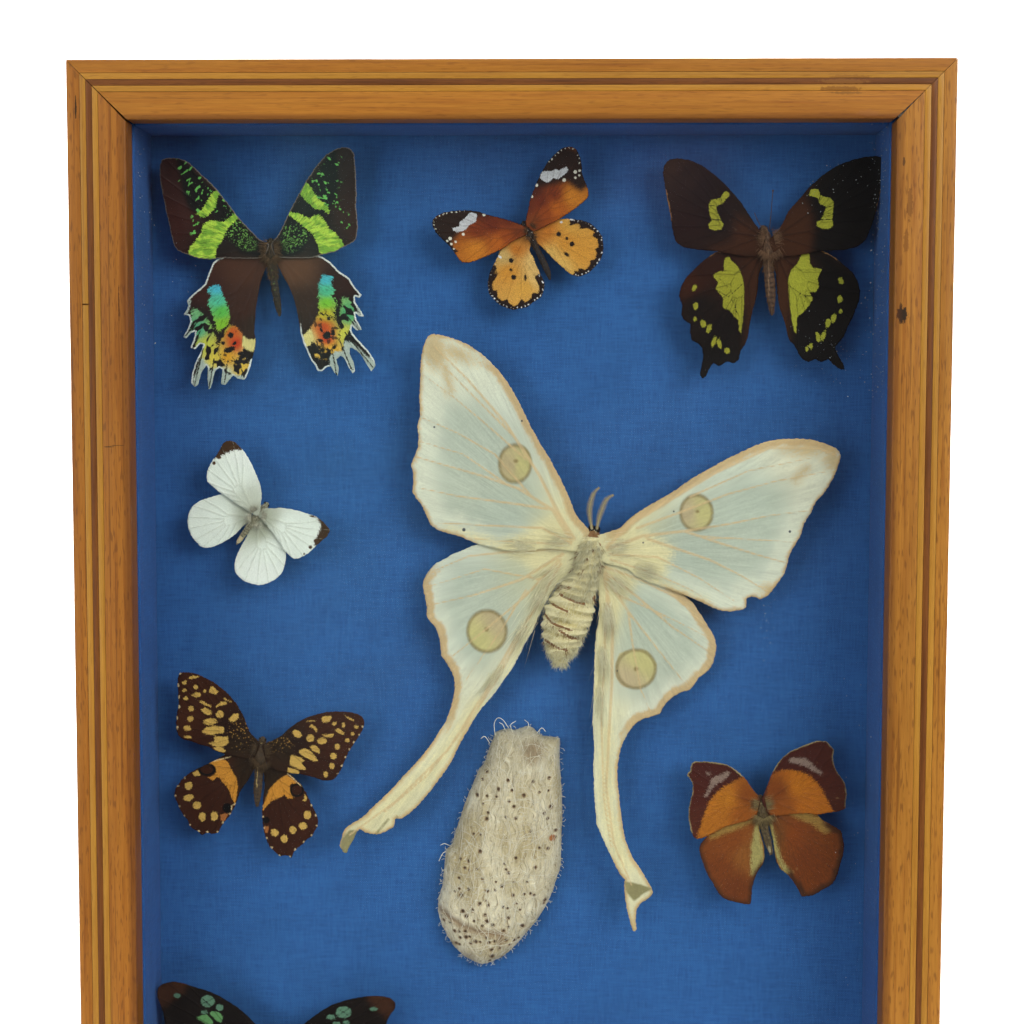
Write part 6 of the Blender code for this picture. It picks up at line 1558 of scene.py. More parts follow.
do_wing("green_patch_swallowtail", "hindwing_left", ep_m, (-3, 0), [
    ("lit", [P_((-3, 0), (-8, 1), (-9, -8), (-8, -22), (-8.5, -34), (-5, -30), (-3, -10))]), ("outer", []),
    ("green", [P_((-15, -1.2), (-13.8, -3), (-11.5, -5), (-10.2, -8), (-9.2, -11), (-9, -18), (-9.4, -25), (-10, -30.5), (-10.7, -29), (-11.2, -25),
                  (-12.5, -24), (-14.5, -21.5), (-17, -20.5), (-16.8, -17), (-18.8, -14.5), (-19.8, -13.3), (-18.8, -11), (-21, -8.3), (-19, -7),
                  (-16.8, -6.8), (-16.8, -3.5), (-16.3, -1.8))] +
     [E_(-27.7, -13, 1.7, 2.6, -30), E_(-27.3, -19.9, 1.9, 2.8), E_(-27.4, -24.8, 1.4, 1.7), E_(-24.4, -26.6, 2.0, 3.0, 10), E_(-22.2, -28.3, 1.8, 3.4, -20),
      E_(-20.3, -33.2, 1.6, 4.0, -15), E_(-18.2, -33.9, 1.6, 4.0, 15), E_(-15.3, -36.6, 2.0, 2.4, 30)]),
    ("cut", [S_([(-17, -6.6), (-10.4, -7.2)], .3), S_([(-20, -13.6), (-15, -16.4), (-9, -11)], .3), S_([(-14, -16.5), (-10.6, -24.5)], .25),
             S_([(-12, -19), (-12.4, -24)], .25), S_([(-19, -9), (-14, -14)], .2)]),
    ("pale", border(.35, .0, (.02, .16), .2))],
    base=[(-24, -4, (74, 44, 32)), (-30, -12, (88, 54, 36)), (-26, -20, (42, 26, 20)), (-16, -28, (38, 24, 20)), (-6, -12, (84, 56, 40)), (-20, -40, (34, 22, 18))],
    net=dict(tip_share=(.24, .78)), seed=33, hind=True, soft=.4)
# right hindwing: the outer layer and the darker base colours are painted shade
do_wing("green_patch_swallowtail", "hindwing_right", ep_shaded_right, (3, 0), [
    ("lit", [P_((3, 0), (8, 1), (8, -8), (7, -22), (9, -34), (5, -30), (3, -10))]),
    ("outer", [P_((16, 0), (22, -1), (30, -8), (32, -24), (24, -42), (14, -40), (9, -34), (11, -24), (15, -18), (18, -10), (20, -5))]),
    ("green", [P_((12.5, -.3), (15.3, -.3), (15.5, -4), (17, -5.5), (20, -6), (18.5, -9.5), (19, -12.5), (18, -14.5), (15.5, -14.5), (16.8, -17),
                  (15.5, -19.5), (13, -22.5), (11, -24), (10.7, -30), (10, -29.5), (9, -25), (8.2, -19), (7.6, -13), (7.5, -9.5), (8.8, -6), (11, -3.8))] +
     [E_(27.3, -10.4, 1.7, 2.8, 25), E_(27, -17.2, 2.0, 2.8), E_(27.2, -21.8, 1.4, 1.6), E_(24.7, -24.3, 1.9, 3.4, -12), E_(22.6, -26.2, 1.9, 3.4, -12),
      E_(18.9, -31.5, 1.6, 4.0, 12), E_(20.9, -31, 1.6, 4.0, -22), E_(16.3, -34.9, 1.3, 2.6), E_(14.8, -35.9, 1.2, 2.2)]),
    ("cut", [S_([(8.6, -6.4), (19.6, -6.4)], .3), S_([(7.6, -12), (13.5, -16), (17, -16)], .3), S_([(12, -14.8), (10, -22)], .2), S_([(14.5, -15), (13, -21)], .2)]),
    ("pale", border(.35, .0, (.02, .2), .2))],
    base=[(22, -6, (52, 34, 26)), (28, -14, (30, 21, 17)), (12, -10, (84, 56, 38)), (20, -24, (28, 20, 16)), (6, -14, (90, 62, 44)), (16, -36, (30, 20, 16))],
    net=dict(tip_share=(.24, .78)), seed=34, hind=True, soft=.4)

# -- white butterfly ----------------------------------------------------------
wh_layers = [("apex", (92, 66, 44), .35, 1.5), ("spot", (104, 78, 54), .15, .5), ("haze", (.5, (168, 168, 150)), 2.5, 1.5)]
wh = wing_mat("white_wing", wh_layers, vein=(.36, (206, 210, 194), .4), rough=.7, shine=.25, streak=.05, grain=.05, bump=.7)
W_ = (244, 250, 240)
do_wing("white_butterfly", "forewing_left", wh, (-1.8, 3), [
    ("apex", [P_((-4, 28), (-5.5, 25.4), (-8, 25.6), (-13, 23.4), (-17, 22), (-17, 32), (-8, 34))]),
    ("spot", [C_(-14.2, 22.8, .9), C_(-16.1, 20.4, .7), E_(-9, 26.6, 3, 1.2, 20)]), ("haze", [C_(0, 0, 5)])],
    base=[(-10, 16, W_), (-3, 5, (214, 218, 204)), (-6, 24, (246, 250, 242)), (-16, 18, (242, 248, 238))], seed=41, bow=.8)
do_wing("white_butterfly", "forewing_right", wh, (2.6, .5), [
    ("apex", [P_((23.8, 2), (23.2, -.6), (24.6, -2.8), (24.2, -5.4), (22.8, -8), (22, -11), (30, -12), (30, 2))]),
    ("spot", [C_(22.8, -9.3, 1.0), C_(20.6, -11.6, .7), C_(18.2, -14.2, .4), E_(21.5, .2, 3, .7, -10)]), ("haze", [C_(0, 0, 5)])],
    base=[(12, -4, W_), (4, 0, (200, 204, 188)), (20, -8, (244, 250, 240)), (14, -12, (240, 246, 236))], seed=42, bow=.8)
do_wing("white_butterfly", "hindwing_left", wh, (-3, .5), [
    ("apex", []), ("spot", []), ("haze", [C_(0, 0, 6)])], base=[(-14, -2, W_), (-4, -1, (196, 200, 184)), (-16, -9, (240, 246, 236))], seed=43, hind=True, bow=.8)
do_wing("white_butterfly", "hindwing_right", wh, (.5, -3.5), [
    ("apex", []), ("spot", []), ("haze", [C_(0, -1, 6)])], base=[(4, -14, W_), (0, -5, (192, 196, 178)), (2, -22, (244, 248, 240))], seed=44, hind=True, bow=.8)

# -- citrus swallowtail -------------------------------------------------------
ci_layers = [("basal", (64, 50, 34), 2.0, 2.0), ("freckle", (190, 160, 96), 1.2, 0), ("cream", (212, 190, 122), .14, .7),
             ("yellow", (210, 164, 82), .16, .8), ("tan", (176, 128, 84), .2, .6), ("brown", (78, 46, 26), .25, .6), ("black", (20, 14, 12), .15, .3),
             ("white", (216, 206, 176), .12, .3)]
ci = wing_mat("citrus_wing", ci_layers, vein=(.35, (40, 24, 16), .35), rough=.66, shine=.2, streak=.14, warm=(1.0, .86, .70))


CI_BASE_L = [(-25, 25, (84, 50, 30)), (-30, 15, (90, 56, 36)), (-12, 8, (58, 38, 26)), (-22, 4, (78, 46, 28)), (-8, 3, (70, 52, 36))]
do_wing("citrus_swallowtail", "forewing_left", ci, (-2.6, 4.5), [
    ("basal", [P_((-2, 6), (-8, 12), (-13, 6), (-13, 2), (-3, 1))]),
    ("freckle", [E_(-8, 8.5, 10, 12)]),
    ("cream", [P_((-20, 26), (-19, 27.5), (-18, 27.2), (-16.2, 25.5), (-17.2, 24.2), (-19.8, 25.2)), E_(-21.5, 25.7, 1.6, 1.0, 30), E_(-24.9, 27.3, 1.6, 1.8, 20),
               P_((-26.8, 24.1), (-25, 25.2), (-23, 24.9), (-23.3, 23.7), (-25, 23)), E_(-29.2, 29, 1.8, 1.4, 40), E_(-29.3, 26, 1.6, 1.2),
               E_(-28.8, 22.8, 1.8, 1.6), P_((-27.9, 30.7), (-26, 31.7), (-23.5, 31.6), (-24, 30.7), (-26, 30.4)),
               P_((-23.7, 21.9), (-22.5, 21.9), (-19.3, 20), (-19.2, 19.4), (-21, 19.9), (-23.3, 21)),
               P_((-17.3, 19.5), (-16.6, 20.6), (-15.5, 21.4), (-13.5, 21.5), (-13, 20.6), (-14.5, 20), (-16.5, 19.9), (-17, 19)),
               S_([(-14.3, 22.9), (-11.6, 21.4)], .5), E_(-20.8, 17.7, 4, 2.4, -20), E_(-15.8, 16.6, 3, 3), E_(-10.4, 15.3, 4.2, 2.6, 40),
               C_(-26.9, 18.8, 1.1), E_(-27.2, 14.9, 2.4, 2.2), E_(-28.4, 11.2, 2.6, 2.0), E_(-28.2, 7.8, 2.6, 1.2), E_(-19.6, 13.8, 5.2, 2.6, 5),
               P_((-23, 9.8), (-20.5, 11.8), (-17.5, 12), (-14.5, 11.7), (-14.3, 9.3), (-17, 9.1), (-19, 8.6), (-21.5, 9)),
               P_((-20.5, 5.4), (-18, 6), (-18.2, 8.2), (-15.5, 7.9), (-13, 7.9), (-12.6, 5.5), (-15, 3.9), (-18, 4.1)),
               P_((-18.8, 3.5), (-15.5, 3.8), (-13.8, 2.5), (-14.3, 1.5), (-16.5, 2))]),
    ("yellow", []), ("tan", []), ("brown", []), ("black", []),
    ("white", [E_(-32.3, 15.3, .9, 1.6), E_(-32.2, 11.5, .9, 1.6), E_(-31.5, 19.6, .9, 1.6), E_(-31.5, 23.4, .9, 1.6), E_(-31.7, 28, .9, 1.6),
               E_(-31, 32.5, 1.4, .9)])],
    base=CI_BASE_L, net=dict(tip_share=(.32, .74)), seed=51)
do_wing("citrus_swallowtail", "forewing_right", ci, (2.6, 3.5), [
    ("basal", [P_((2, 5), (8, 9), (12, 4), (11, -1), (3, 0))]),
    ("freckle", [E_(7, 6, 11, 9)]),
    ("cream", [P_((23.3, 15.2), (24.5, 16), (27.2, 16.2), (27.2, 14.7), (25.5, 13.5), (24, 13.8)), E_(28.3, 13.2, 1.8, 1.4), E_(31.9, 12.6, 1.2, 2.0),
               P_((32.3, 16.8), (36, 14.9), (36.3, 14.2), (34, 15.2)), E_(36.9, 12.1, 1.7, 1.4), E_(35.4, 9.3, 1.6, 1.4), E_(33.3, 6.8, 1.9, 1.6),
               E_(29.4, 4.3, 2.2, 2.2), E_(27.9, .6, 2.4, 2.5), E_(27.3, -3.3, 2.2, 2.5), E_(24.9, -6.6, 1.8, 2.3),
               P_((28.5, 10.6), (30, 11.6), (32.5, 9.3), (31.5, 8.9), (29.3, 10)), P_((23.1, 8.9), (26, 9), (28.2, 9.3), (27.8, 8), (25.5, 7.7)),
               P_((18.6, 11.9), (19.5, 13), (21, 11.9), (21.8, 10.2), (21.2, 9.5), (20.5, 11), (19.5, 11.6)), S_([(17.8, 14), (20.7, 14.2)], .5),
               P_((12, 9.7), (13, 10.8), (15, 10), (15.8, 8.5), (14.5, 7.5), (13, 8)), E_(19, 7.5, 3, 3), E_(23.5, 6.4, 3.8, 2.6, 10),
               P_((18.8, 4.6), (21, 4.7), (22.8, 2.5), (22.5, 1.7), (20.5, 2.2), (19, 3.3)),
               P_((14.5, 2.3), (16.5, 3.5), (19, 2.3), (21, .3), (22, -1.2), (20.5, -1.7), (18, -.6), (16, .3), (15, 1.3)),
               P_((11, -2), (11.3, .5), (12.5, 1), (14.2, .2), (15.5, -.2), (16.7, -1.4), (15.5, -2.2), (17.3, -4.7), (15, -4.8), (13, -4), (11, -3)),
               P_((10, -5.8), (10.3, -4), (12, -4.2), (14.8, -5.6), (14.5, -6.7), (12, -6.2))]),
    ("yellow", []), ("tan", []), ("brown", []), ("black", []),
    ("white", dotted(3.6, .25, .45, (.42, .66)))],
    base=[(25, 10, (84, 50, 30)), (32, 6, (88, 54, 36)), (12, 5, (60, 40, 28)), (20, -4, (78, 46, 28)), (8, 2, (72, 54, 38))],
    net=dict(tip_share=(.32, .74)), seed=52)
do_wing("citrus_swallowtail", "hindwing_left", ci, (-3, -.5), [
    ("basal", [P_((-3, 0), (-10, -1), (-9, -9), (-7, -20), (-4, -14))]), ("freckle", []),
    ("cream", [P_((-24.7, -5.5), (-27, -6.8), (-26, -8), (-24, -7.5)), C_(-28.5, -11.7, 1.5), E_(-28.5, -16.3, 3.8, 2.6, 10), E_(-25.3, -19.3, 3.2, 3.0),
               E_(-23.3, -23.8, 2.8, 3.4), E_(-18.6, -23.5, 2.6, 3.6)]),
    ("yellow", [P_((-15.5, -1.2), (-13.5, -2), (-12, -5), (-10, -8.5), (-9.5, -12), (-10.2, -17), (-10.6, -18.5), (-11.5, -17), (-12.5, -14),
                   (-14, -11.5), (-15.5, -10), (-17, -8), (-19, -9.5), (-21, -8.5), (-19, -7.5), (-17.8, -6.5), (-18, -4.5), (-19.5, -3.3), (-22, -3.1),
                   (-23.8, -4), (-20, -1.4))]),
    ("tan", [P_((-16.3, -23), (-14.5, -22.3), (-13.2, -22.5), (-14, -24.5), (-15, -25.8), (-16, -25))]),
    ("brown", [E_(-21.4, -5.3, 5.2, 3.6)]), ("black", [("r", -21.4, -5.3, 2.9, 2.1, .35), C_(-13.5, -20.3, 1.9)]),
    ("white", dotted(4.4, .25, .5, (.28, .82), [S_([(-12, -.3), (-24, -3.2)], .5), S_([(-11.9, -19.3), (-11.9, -21.3)], .5)]))],
    base=[(-20, -14, (80, 48, 30)), (-8, -8, (72, 50, 32)), (-28, -14, (84, 50, 32)), (-14, -26, (78, 46, 28))],
    net=dict(tip_share=(.24, .80)), seed=53, hind=True)
do_wing("citrus_swallowtail", "hindwing_right", ci, (2.5, -2.5), [
    ("basal", [P_((2, -2), (8, -6), (5, -12), (0, -16), (0, -8))]), ("freckle", []),
    ("cream", [P_((16.4, -14.5), (17.5, -16), (17, -17.5), (15.5, -17.4), (16.3, -16.4)), E_(17.5, -22.8, 2.8, 3.4), E_(15.8, -27.1, 3.2, 2.8),
               E_(11.9, -28.8, 2.8, 3.0), E_(8.5, -32.2, 2.8, 3.2), E_(4.8, -29.9, 3, 2.8)]),
    ("yellow", [P_((9.5, -7.3), (6.5, -9), (3, -12.5), (1.5, -16), (.3, -19.5), (0, -21.5), (1.5, -19.8), (3.5, -17.5), (5.5, -16.8), (8, -15.5),
                   (8.5, -14.8), (10, -16.5), (12.5, -16.3), (11.5, -15.2), (10.7, -13), (10.7, -11.2), (12, -10.5), (13.8, -10.8), (11.5, -8.3))]),
    ("tan", [P_((.6, -27.3), (2.5, -27.3), (2, -30), (1, -29.8))]), ("brown", [E_(13.5, -13.2, 4, 4)]),
    ("black", [("r", 13.5, -13.2, 2.3, 2.3, .35), C_(1.5, -25, 1.3)]),
    ("white", dotted(4.4, .25, .5, (.26, .82), [S_([(10, -6.8), (15.4, -11.6)], .5)]))],
    base=[(10, -18, (80, 48, 30)), (4, -8, (72, 50, 32)), (16, -24, (84, 50, 32)), (6, -30, (78, 46, 28))],
    net=dict(tip_share=(.24, .80)), seed=54, hind=True)

# -- orange anteva --------------------------------------------------------------
an_layers = [("orange", None, .6, 1.6), ("streak", (.8, (168, 142, 156)), .5, 1.6), ("beige", (176, 134, 82), 1.0, 2.0), ("cream", (186, 170, 128), .8, 2.0),
             ("darkedge", (84, 44, 26), 1.0, 1.6), ("pale", (168, 148, 130), .2, .4)]
an = wing_mat("anteva_wing", an_layers, vein=(.35, (60, 26, 14), .16), deep=1.05, warm=(.74, .78, .5), rough=.55, shine=.35, streak=.2, grain=.14, worn=((190, 150, 90), .2))
do_wing("orange_anteva", "forewing_left", an, (-2.5, 1.5), [
    ("orange", [P_((-2, 4), (-7, 11.3), (-11, 9.8), (-15, 7.5), (-18, 5), (-20.5, 1.5), (-22, -2), (-23.3, -6), (-25, -13), (-14, -9), (-2, -4))]),
    ("streak", [P_((-12.5, 13), (-14, 13.5), (-17, 12), (-19.5, 11), (-20.5, 8), (-22, 5), (-22.5, 4), (-21.5, 3.8), (-20, 6), (-18.5, 8),
                   (-16.5, 9.5), (-13.5, 11.5)), C_(-21, 12.8, .7)]),
    ("beige", []), ("cream", []), ("darkedge", []), ("pale", border(.35, .0, (.12, .64), .2))],
    base=[(-20, 12, (84, 30, 24)), (-27, 4, (90, 34, 26)), (-26, -6, (94, 40, 28)), (-10, 12, (78, 28, 22))],
    tint=[(-6, 4, (150, 78, 26)), (-14, 3, (206, 126, 40)), (-18, -4, (198, 118, 40)), (-8, -4, (170, 92, 32)), (-20, 0, (206, 124, 42))],
    net=dict(tip_share=(.30, .74)), seed=61)
do_wing("orange_anteva", "forewing_right", an, (2.5, 2.5), [
    ("orange", [P_((1, 3), (3.2, 12.5), (5, 13.5), (8, 14.3), (11, 14.2), (15, 13.5), (18, 12), (20.5, 9.5), (22, 7.5), (24, 4), (25.5, 1), (27.5, -3),
                   (14, -5), (3, -3))]),
    ("streak", [P_((9.5, 17.5), (10.5, 19), (12.5, 19), (16.5, 18.8), (18, 17.5), (20, 15.5), (22.5, 13.5), (22, 12.5), (20, 13.5), (17.5, 15),
                   (15, 16.2), (12, 16.8))]),
    ("beige", []), ("cream", []), ("darkedge", []), ("pale", border(.3, .0, (.12, .64), .2))],
    base=[(18, 20, (80, 30, 24)), (27, 10, (88, 34, 26)), (28, 2, (92, 40, 28)), (8, 18, (78, 28, 22))],
    tint=[(6, 6, (140, 70, 24)), (14, 8, (208, 122, 34)), (18, 0, (202, 114, 34)), (8, 0, (160, 84, 28)), (22, 4, (206, 118, 36))],
    net=dict(tip_share=(.30, .74)), seed=62)
do_wing("orange_anteva", "hindwing_left", an, (-2.5, -3), [
    ("orange", []), ("streak", []), ("beige", [S_([(-5, -5), (-9, -7.5), (-19, -12)], 4.0, 2.2)]),
    ("cream", [P_((-2, -6), (1, -20), (-1, -28), (-4, -27), (-4, -16))]), ("darkedge", border(1.0, .0, (.25, .8), .3)), ("pale", [])],
    base=[(-12, -14, (150, 78, 30)), (-16, -24, (136, 68, 26)), (-6, -20, (160, 96, 48)), (-10, -32, (126, 62, 26))],
    net=dict(tip_share=(.24, .80)), seed=63, hind=True)
do_wing("orange_anteva", "hindwing_right", an, (3, -2.5), [
    ("orange", []), ("streak", []), ("beige", [P_((9, -2), (17, -2.2), (22, -4), (27, -9.5), (24, -10.6), (19, -7), (13, -4.6))]),
    ("cream", [P_((3, -5), (8, -22), (12, -26), (9, -27), (4, -16))]), ("darkedge", border(1.6, .6, (.25, .75), .3)), ("pale", [])],
    base=[(12, -12, (150, 74, 26)), (18, -20, (132, 64, 24)), (6, -12, (128, 76, 38)), (22, -12, (138, 70, 28))],
    net=dict(tip_share=(.24, .80)), seed=64, hind=True)

# -- dark swallowtail (its lower half is finished plainly) -----------------------
ds_layers = [("brown", (86, 56, 38), 2.0, 2.0), ("green", (116, 150, 128), .15, .8), ("bright", (122, 168, 116), .15, .8), ("cut", (30, 24, 20), .12, .2)]
ds = wing_mat("dark_swallowtail_wing", ds_layers, vein=(.4, (22, 16, 14), .35), rough=.66, shine=.2, streak=.15)
DS_L = [(-30, 24, (40, 28, 22)), (-16, 14, (34, 24, 20)), (-24, 6, (38, 26, 20)), (-8, 6, (52, 38, 30))]
do_wing("dark_swallowtail", "forewing_left", ds, (-2.6, 6), [
    ("brown", [P_((-33, 34), (-48, 30), (-46, 20), (-36, 27))]),
    ("green", [E_(-38.5, 26, 3, 1.8), E_(-26.7, 23.7, 5.4, 4.8), E_(-22.1, 21.2, 3, 2.6), E_(-28, 19.3, 2.6, 1.8), E_(-20, 9, 3.4, 2.6), E_(-17, 5, 3, 2.4)]),
    ("bright", [P_((-26, 19), (-25, 19.8), (-22, 19), (-21, 17.5), (-21.2, 15), (-22.5, 15.5), (-24, 16.5), (-25.5, 18)),
                P_((-31, 17), (-28.5, 18.3), (-27, 18.2), (-24.5, 15.5), (-25, 14.7), (-27, 14.5), (-29, 15.5)), E_(-27, 11.6, 4, 2.4), E_(-23, 12.6, 2.8, 3)]),
    ("cut", [S_([(-29.5, 22.4), (-24, 25)], .3), S_([(-28.6, 24.8), (-25.4, 21.8)], .3)])],
    base=DS_L, net=dict(tip_share=(.32, .74)), seed=71)
do_wing("dark_swallowtail", "forewing_right", ds, (2.6, 6), [
    ("brown", [P_((33, 31), (46, 26), (46, 16), (38, 22))]),
    ("green", [E_(38.2, 21.3, 3.2, 1.6), E_(26.3, 19.8, 6, 4.6), E_(21.5, 17.8, 3.6, 2), E_(27.4, 15.8, 2.6, 1.6), E_(23.5, 15.3, 3.2, 1.4), E_(20, 7, 3.4, 2.6),
               E_(17, 3, 3, 2.4)]),
    ("bright", [E_(25.4, 12.4, 4.4, 2.6), E_(26.6, 8.6, 4, 2.4), E_(22.4, 11.4, 2.6, 3)]),
    ("cut", [S_([(24, 18.2), (28.6, 21.4)], .3), S_([(24.4, 21), (28.4, 18.4)], .3)])],
    base=[(-x, z, c) for x, z, c in DS_L], net=dict(tip_share=(.32, .74)), seed=72)
for which, sg, seed in (("hindwing_left", -1, 73), ("hindwing_right", 1, 74)):
    do_wing("dark_swallowtail", which, ds, (sg * 3, -.5), [
        ("brown", [C_(sg * 4, -8, 4)]), ("green", [E_(sg * 12, -6, 6, 7), E_(sg * 25, -13, 2, 2.6), E_(sg * 24.6, -17.6, 2, 2.6), E_(sg * 21, -22, 2, 2.4),
                                                 E_(sg * 16, -24.6, 2, 2.4)]),
        ("bright", [E_(sg * 12, -13, 5, 5)]), ("cut", [S_([(sg * 8, -3), (sg * 14, -15)], .35), S_([(sg * 16, -3), (sg * 9, -12)], .3)])],
        base=[(sg * 14, -10, (38, 27, 22)), (sg * 24, -14, (34, 24, 20)), (sg * 8, -20, (46, 32, 26))], net=dict(tip_share=(.24, .80)), seed=seed, hind=True)
# -- comet moth -----------------------------------------------------------------
# under: the turned underside where the tails twist, its own colour darkened further as painted shade
cm_layers = [("disc", (.6, (172, 184, 166)), 6.0, 12.0), ("margin", (.6, (226, 228, 204)), 3.5, 3.0), ("cream", (232, 222, 172), 3.0, 6.0),
             ("patch", (.8, (204, 176, 122)), 2.4, 6.0), ("tan", (.9, (206, 174, 122)), .9, 2.2), ("under", (150, 142, 98), .5, 1.0),
             ("eye", None, .5, .8), ("ring", (.8, (134, 118, 74)), .6, .6), ("dot", (150, 132, 84), .5, .4), ("hole", (.9, (34, 44, 66)), .15, .3)]


def comet_mat(name):
    m = Mat(name, rough=.62, spec=.28)
    fan = m.attr("fan", "Vector")
    fine = m.noise(m.scaled(3.0, 0.10, 1.0, vec=fan), detail=2, rough=0.65)
    soft = m.noise(m.scaled(0.7, 0.05, 1.0, vec=fan), detail=1)
    scales = m.noise(m.scaled(1300, 1300, 1300), detail=1)
    wavy = m.math("SUBTRACT", m.math("ADD", m.math("MULTIPLY", fine, .7), m.math("MULTIPLY", scales, .6)), .65)
    colour = m.attr("base", "Color")
    for key, col, sf, jit in cm_layers:
        v = m.math("ADD", m.attr(key), m.math("MULTIPLY", wavy, jit))
        f = m.span(v, -sf, sf, smooth=True)
        if isinstance(col, tuple) and len(col) == 2:
            f = m.math("MULTIPLY", f, col[0])
            col = col[1]
        colour = m.mix(f, colour, m.attr("tint", "Color") if col is None else srgb(*col))
    vf = m.math("MULTIPLY", m.span(m.attr("vein"), .72, .10, smooth=True), .8)
    colour = m.mix(vf, colour, srgb(220, 190, 140))
    tone = m.math("ADD", m.span(fine, 0.25, 0.75, .89, 1.09), m.math("ADD", m.span(soft, .3, .7, -.05, .05), m.span(scales, .3, .7, -.05, .05)))
    colour = m.tone(colour, tone)
    h = m.math("ADD", m.math("MULTIPLY", fine, .6), m.math("MULTIPLY", m.span(m.attr("vein"), .9, .0, smooth=True), .35))
    m.set(Base_Color=colour, Roughness=m.span(fine, .2, .8, .55, .75), Normal=m.bump(h, .0003, .6))
    return m.m


cm = comet_mat("comet_moth_wing")
CM_BASE = (216, 222, 204)


def comet(which, root, lines, layers, base, hind=False, seed=1, bend=None):
    keys = dict(layers)
    do_wing("comet_moth", which, cm, root, [(k[0], keys.get(k[0], [])) for k in cm_layers], hind=hind, base=base,
            tint=keys["tint"], step=.85, fringe=.16, lines=lines, seed=seed, bow=1.3, thick=.36, bend=bend, pull=9.0)


comet("forewing_left", (-4, 13), [
    ([(-4, 14), (-9, 22), (-12, 28), (-17, 38), (-30, 58), (-44, 74), (-57, 87)], 2.0, .8), ([(-5, 13), (-12, 25), (-25, 33), (-38, 37.5), (-50, 41), (-64, 45)], 1.6, .7),
    ([(-12, 25), (-25, 27), (-48, 30), (-62, 33)], 1.3, .6), ([(-5, 12), (-16, 18), (-40, 19), (-58, 20)], 1.3, .6), ([(-20, 30), (-34, 46), (-48, 54), (-62, 60)], 1.1, .6),
    ([(-22, 44), (-38, 58), (-50, 68), (-61, 76)], 1.0, .5), ([(-26, 52), (-42, 68), (-52, 78), (-60, 85)], 1.0, .5), ([(-8, 12), (-24, 12.5), (-42, 13.8)], 1.0, .5),
    ([(-30, 35), (-46, 46), (-63, 51)], 1.0, .5)], [
    ("disc", [P_((-14, 22), (-22, 50), (-40, 66), (-54, 64), (-56, 36), (-54, 22), (-30, 14))]),
    ("margin", border(7.0, 0, (.30, .80), 2.0)),
    ("cream", [P_((-3, 12), (-8, 24), (-13, 22), (-22, 16), (-34, 12), (-34, 8), (-4, 8)), S_([(-30, 11), (-52, 17)], 3.0, 1.5)]),
    ("patch", [E_(-57, 85, 9, 14, 10), S_([(-51, 70), (-53, 79)], 2.5), E_(-48, 84, 12, 5, -24)]),
    ("tan", lambda c: np.maximum(border(2.6, 0, (.00, .32), .4)(c), border(.9, 0, (.32, .80), .5)(c))),
    ("under", []), ("eye", [E_(-26.3, 42.5, 12.2, 14.4, -12)]), ("ring", [("r", -26.3, 42.5, 6.0, 7.1, .55)]), ("dot", [E_(-26, 43.5, 1.8, 1.4)]),
    ("hole", [C_(-45.8, 17.2, .7), C_(-23.8, 58.7, .4), C_(-57, 56.3, .4)]), ("tint", [(-28, 42, (194, 176, 134)), (-24, 42, (196, 188, 126))])],
    base=[(-50, 80, (230, 232, 208)), (-40, 50, CM_BASE), (-55, 30, (226, 230, 208)), (-14, 16, (232, 224, 176)), (-30, 20, (208, 216, 198))], seed=81)
comet("forewing_right", (9, 9), [
    ([(9, 11), (17, 19.5), (30, 27.5), (50, 39.5), (70, 48.8), (88, 48.6), (95, 46)], 2.0, .8), ([(9, 10), (22, 15), (38, 17), (50, 13), (66, 8), (77, 5)], 1.6, .7),
    ([(24, 14), (48, 6), (60, 0), (70, -6)], 1.3, .6), ([(20, 18), (36, 24), (54, 31), (72, 36), (92, 40)], 1.2, .6), ([(38, 17), (56, 20), (70, 23), (85, 25)], 1.1, .5),
    ([(10, 8), (28, 7), (44, -1), (58, -10)], 1.2, .5), ([(44, 15), (62, 14), (81, 13)], 1.0, .5), ([(40, 30), (62, 40), (86, 45)], 1.0, .5),
    ([(10, 6), (26, 1), (40, -5), (50, -11)], 1.0, .5)], [
    ("disc", [P_((16, 16), (34, 26), (60, 36), (78, 34), (74, 12), (66, -2), (46, -4), (26, 4))]),
    ("margin", border(7.0, 0, (.40, .82), 2.0)),
    ("cream", [P_((8, 12), (18, 20), (24, 16), (34, 10), (30, 0), (20, 0), (9, 5)), S_([(20, 1), (46, -10)], 3.5, 1.5)]),
    ("patch", [E_(94, 44, 7, 9, 20), S_([(80, 37), (84, 41)], 2.5), E_(84, 48, 16, 5, 0), E_(70, -5, 5, 4)]),
    ("tan", lambda c: np.maximum(border(2.6, 0, (.02, .42), .4)(c), border(.9, 0, (.42, .85), .5)(c))),
    ("under", []), ("eye", [E_(42.6, 24, 12.2, 13.6, 0)]), ("ring", [("r", 42.6, 24, 6.0, 6.7, .55)]), ("dot", [E_(43, 24.5, 1.4, 1.2)]),
    ("hole", [C_(78, 17, .5), C_(34, 24.5, .35), C_(22.5, 12.5, .35)]), ("tint", [(39.5, 24, (196, 178, 138)), (45, 24, (202, 194, 130))])],
    base=[(84, 44, (230, 228, 200)), (60, 28, (212, 220, 200)), (66, 4, (222, 228, 208)), (20, 12, (232, 224, 176)), (40, 6, (208, 216, 198))], seed=82)
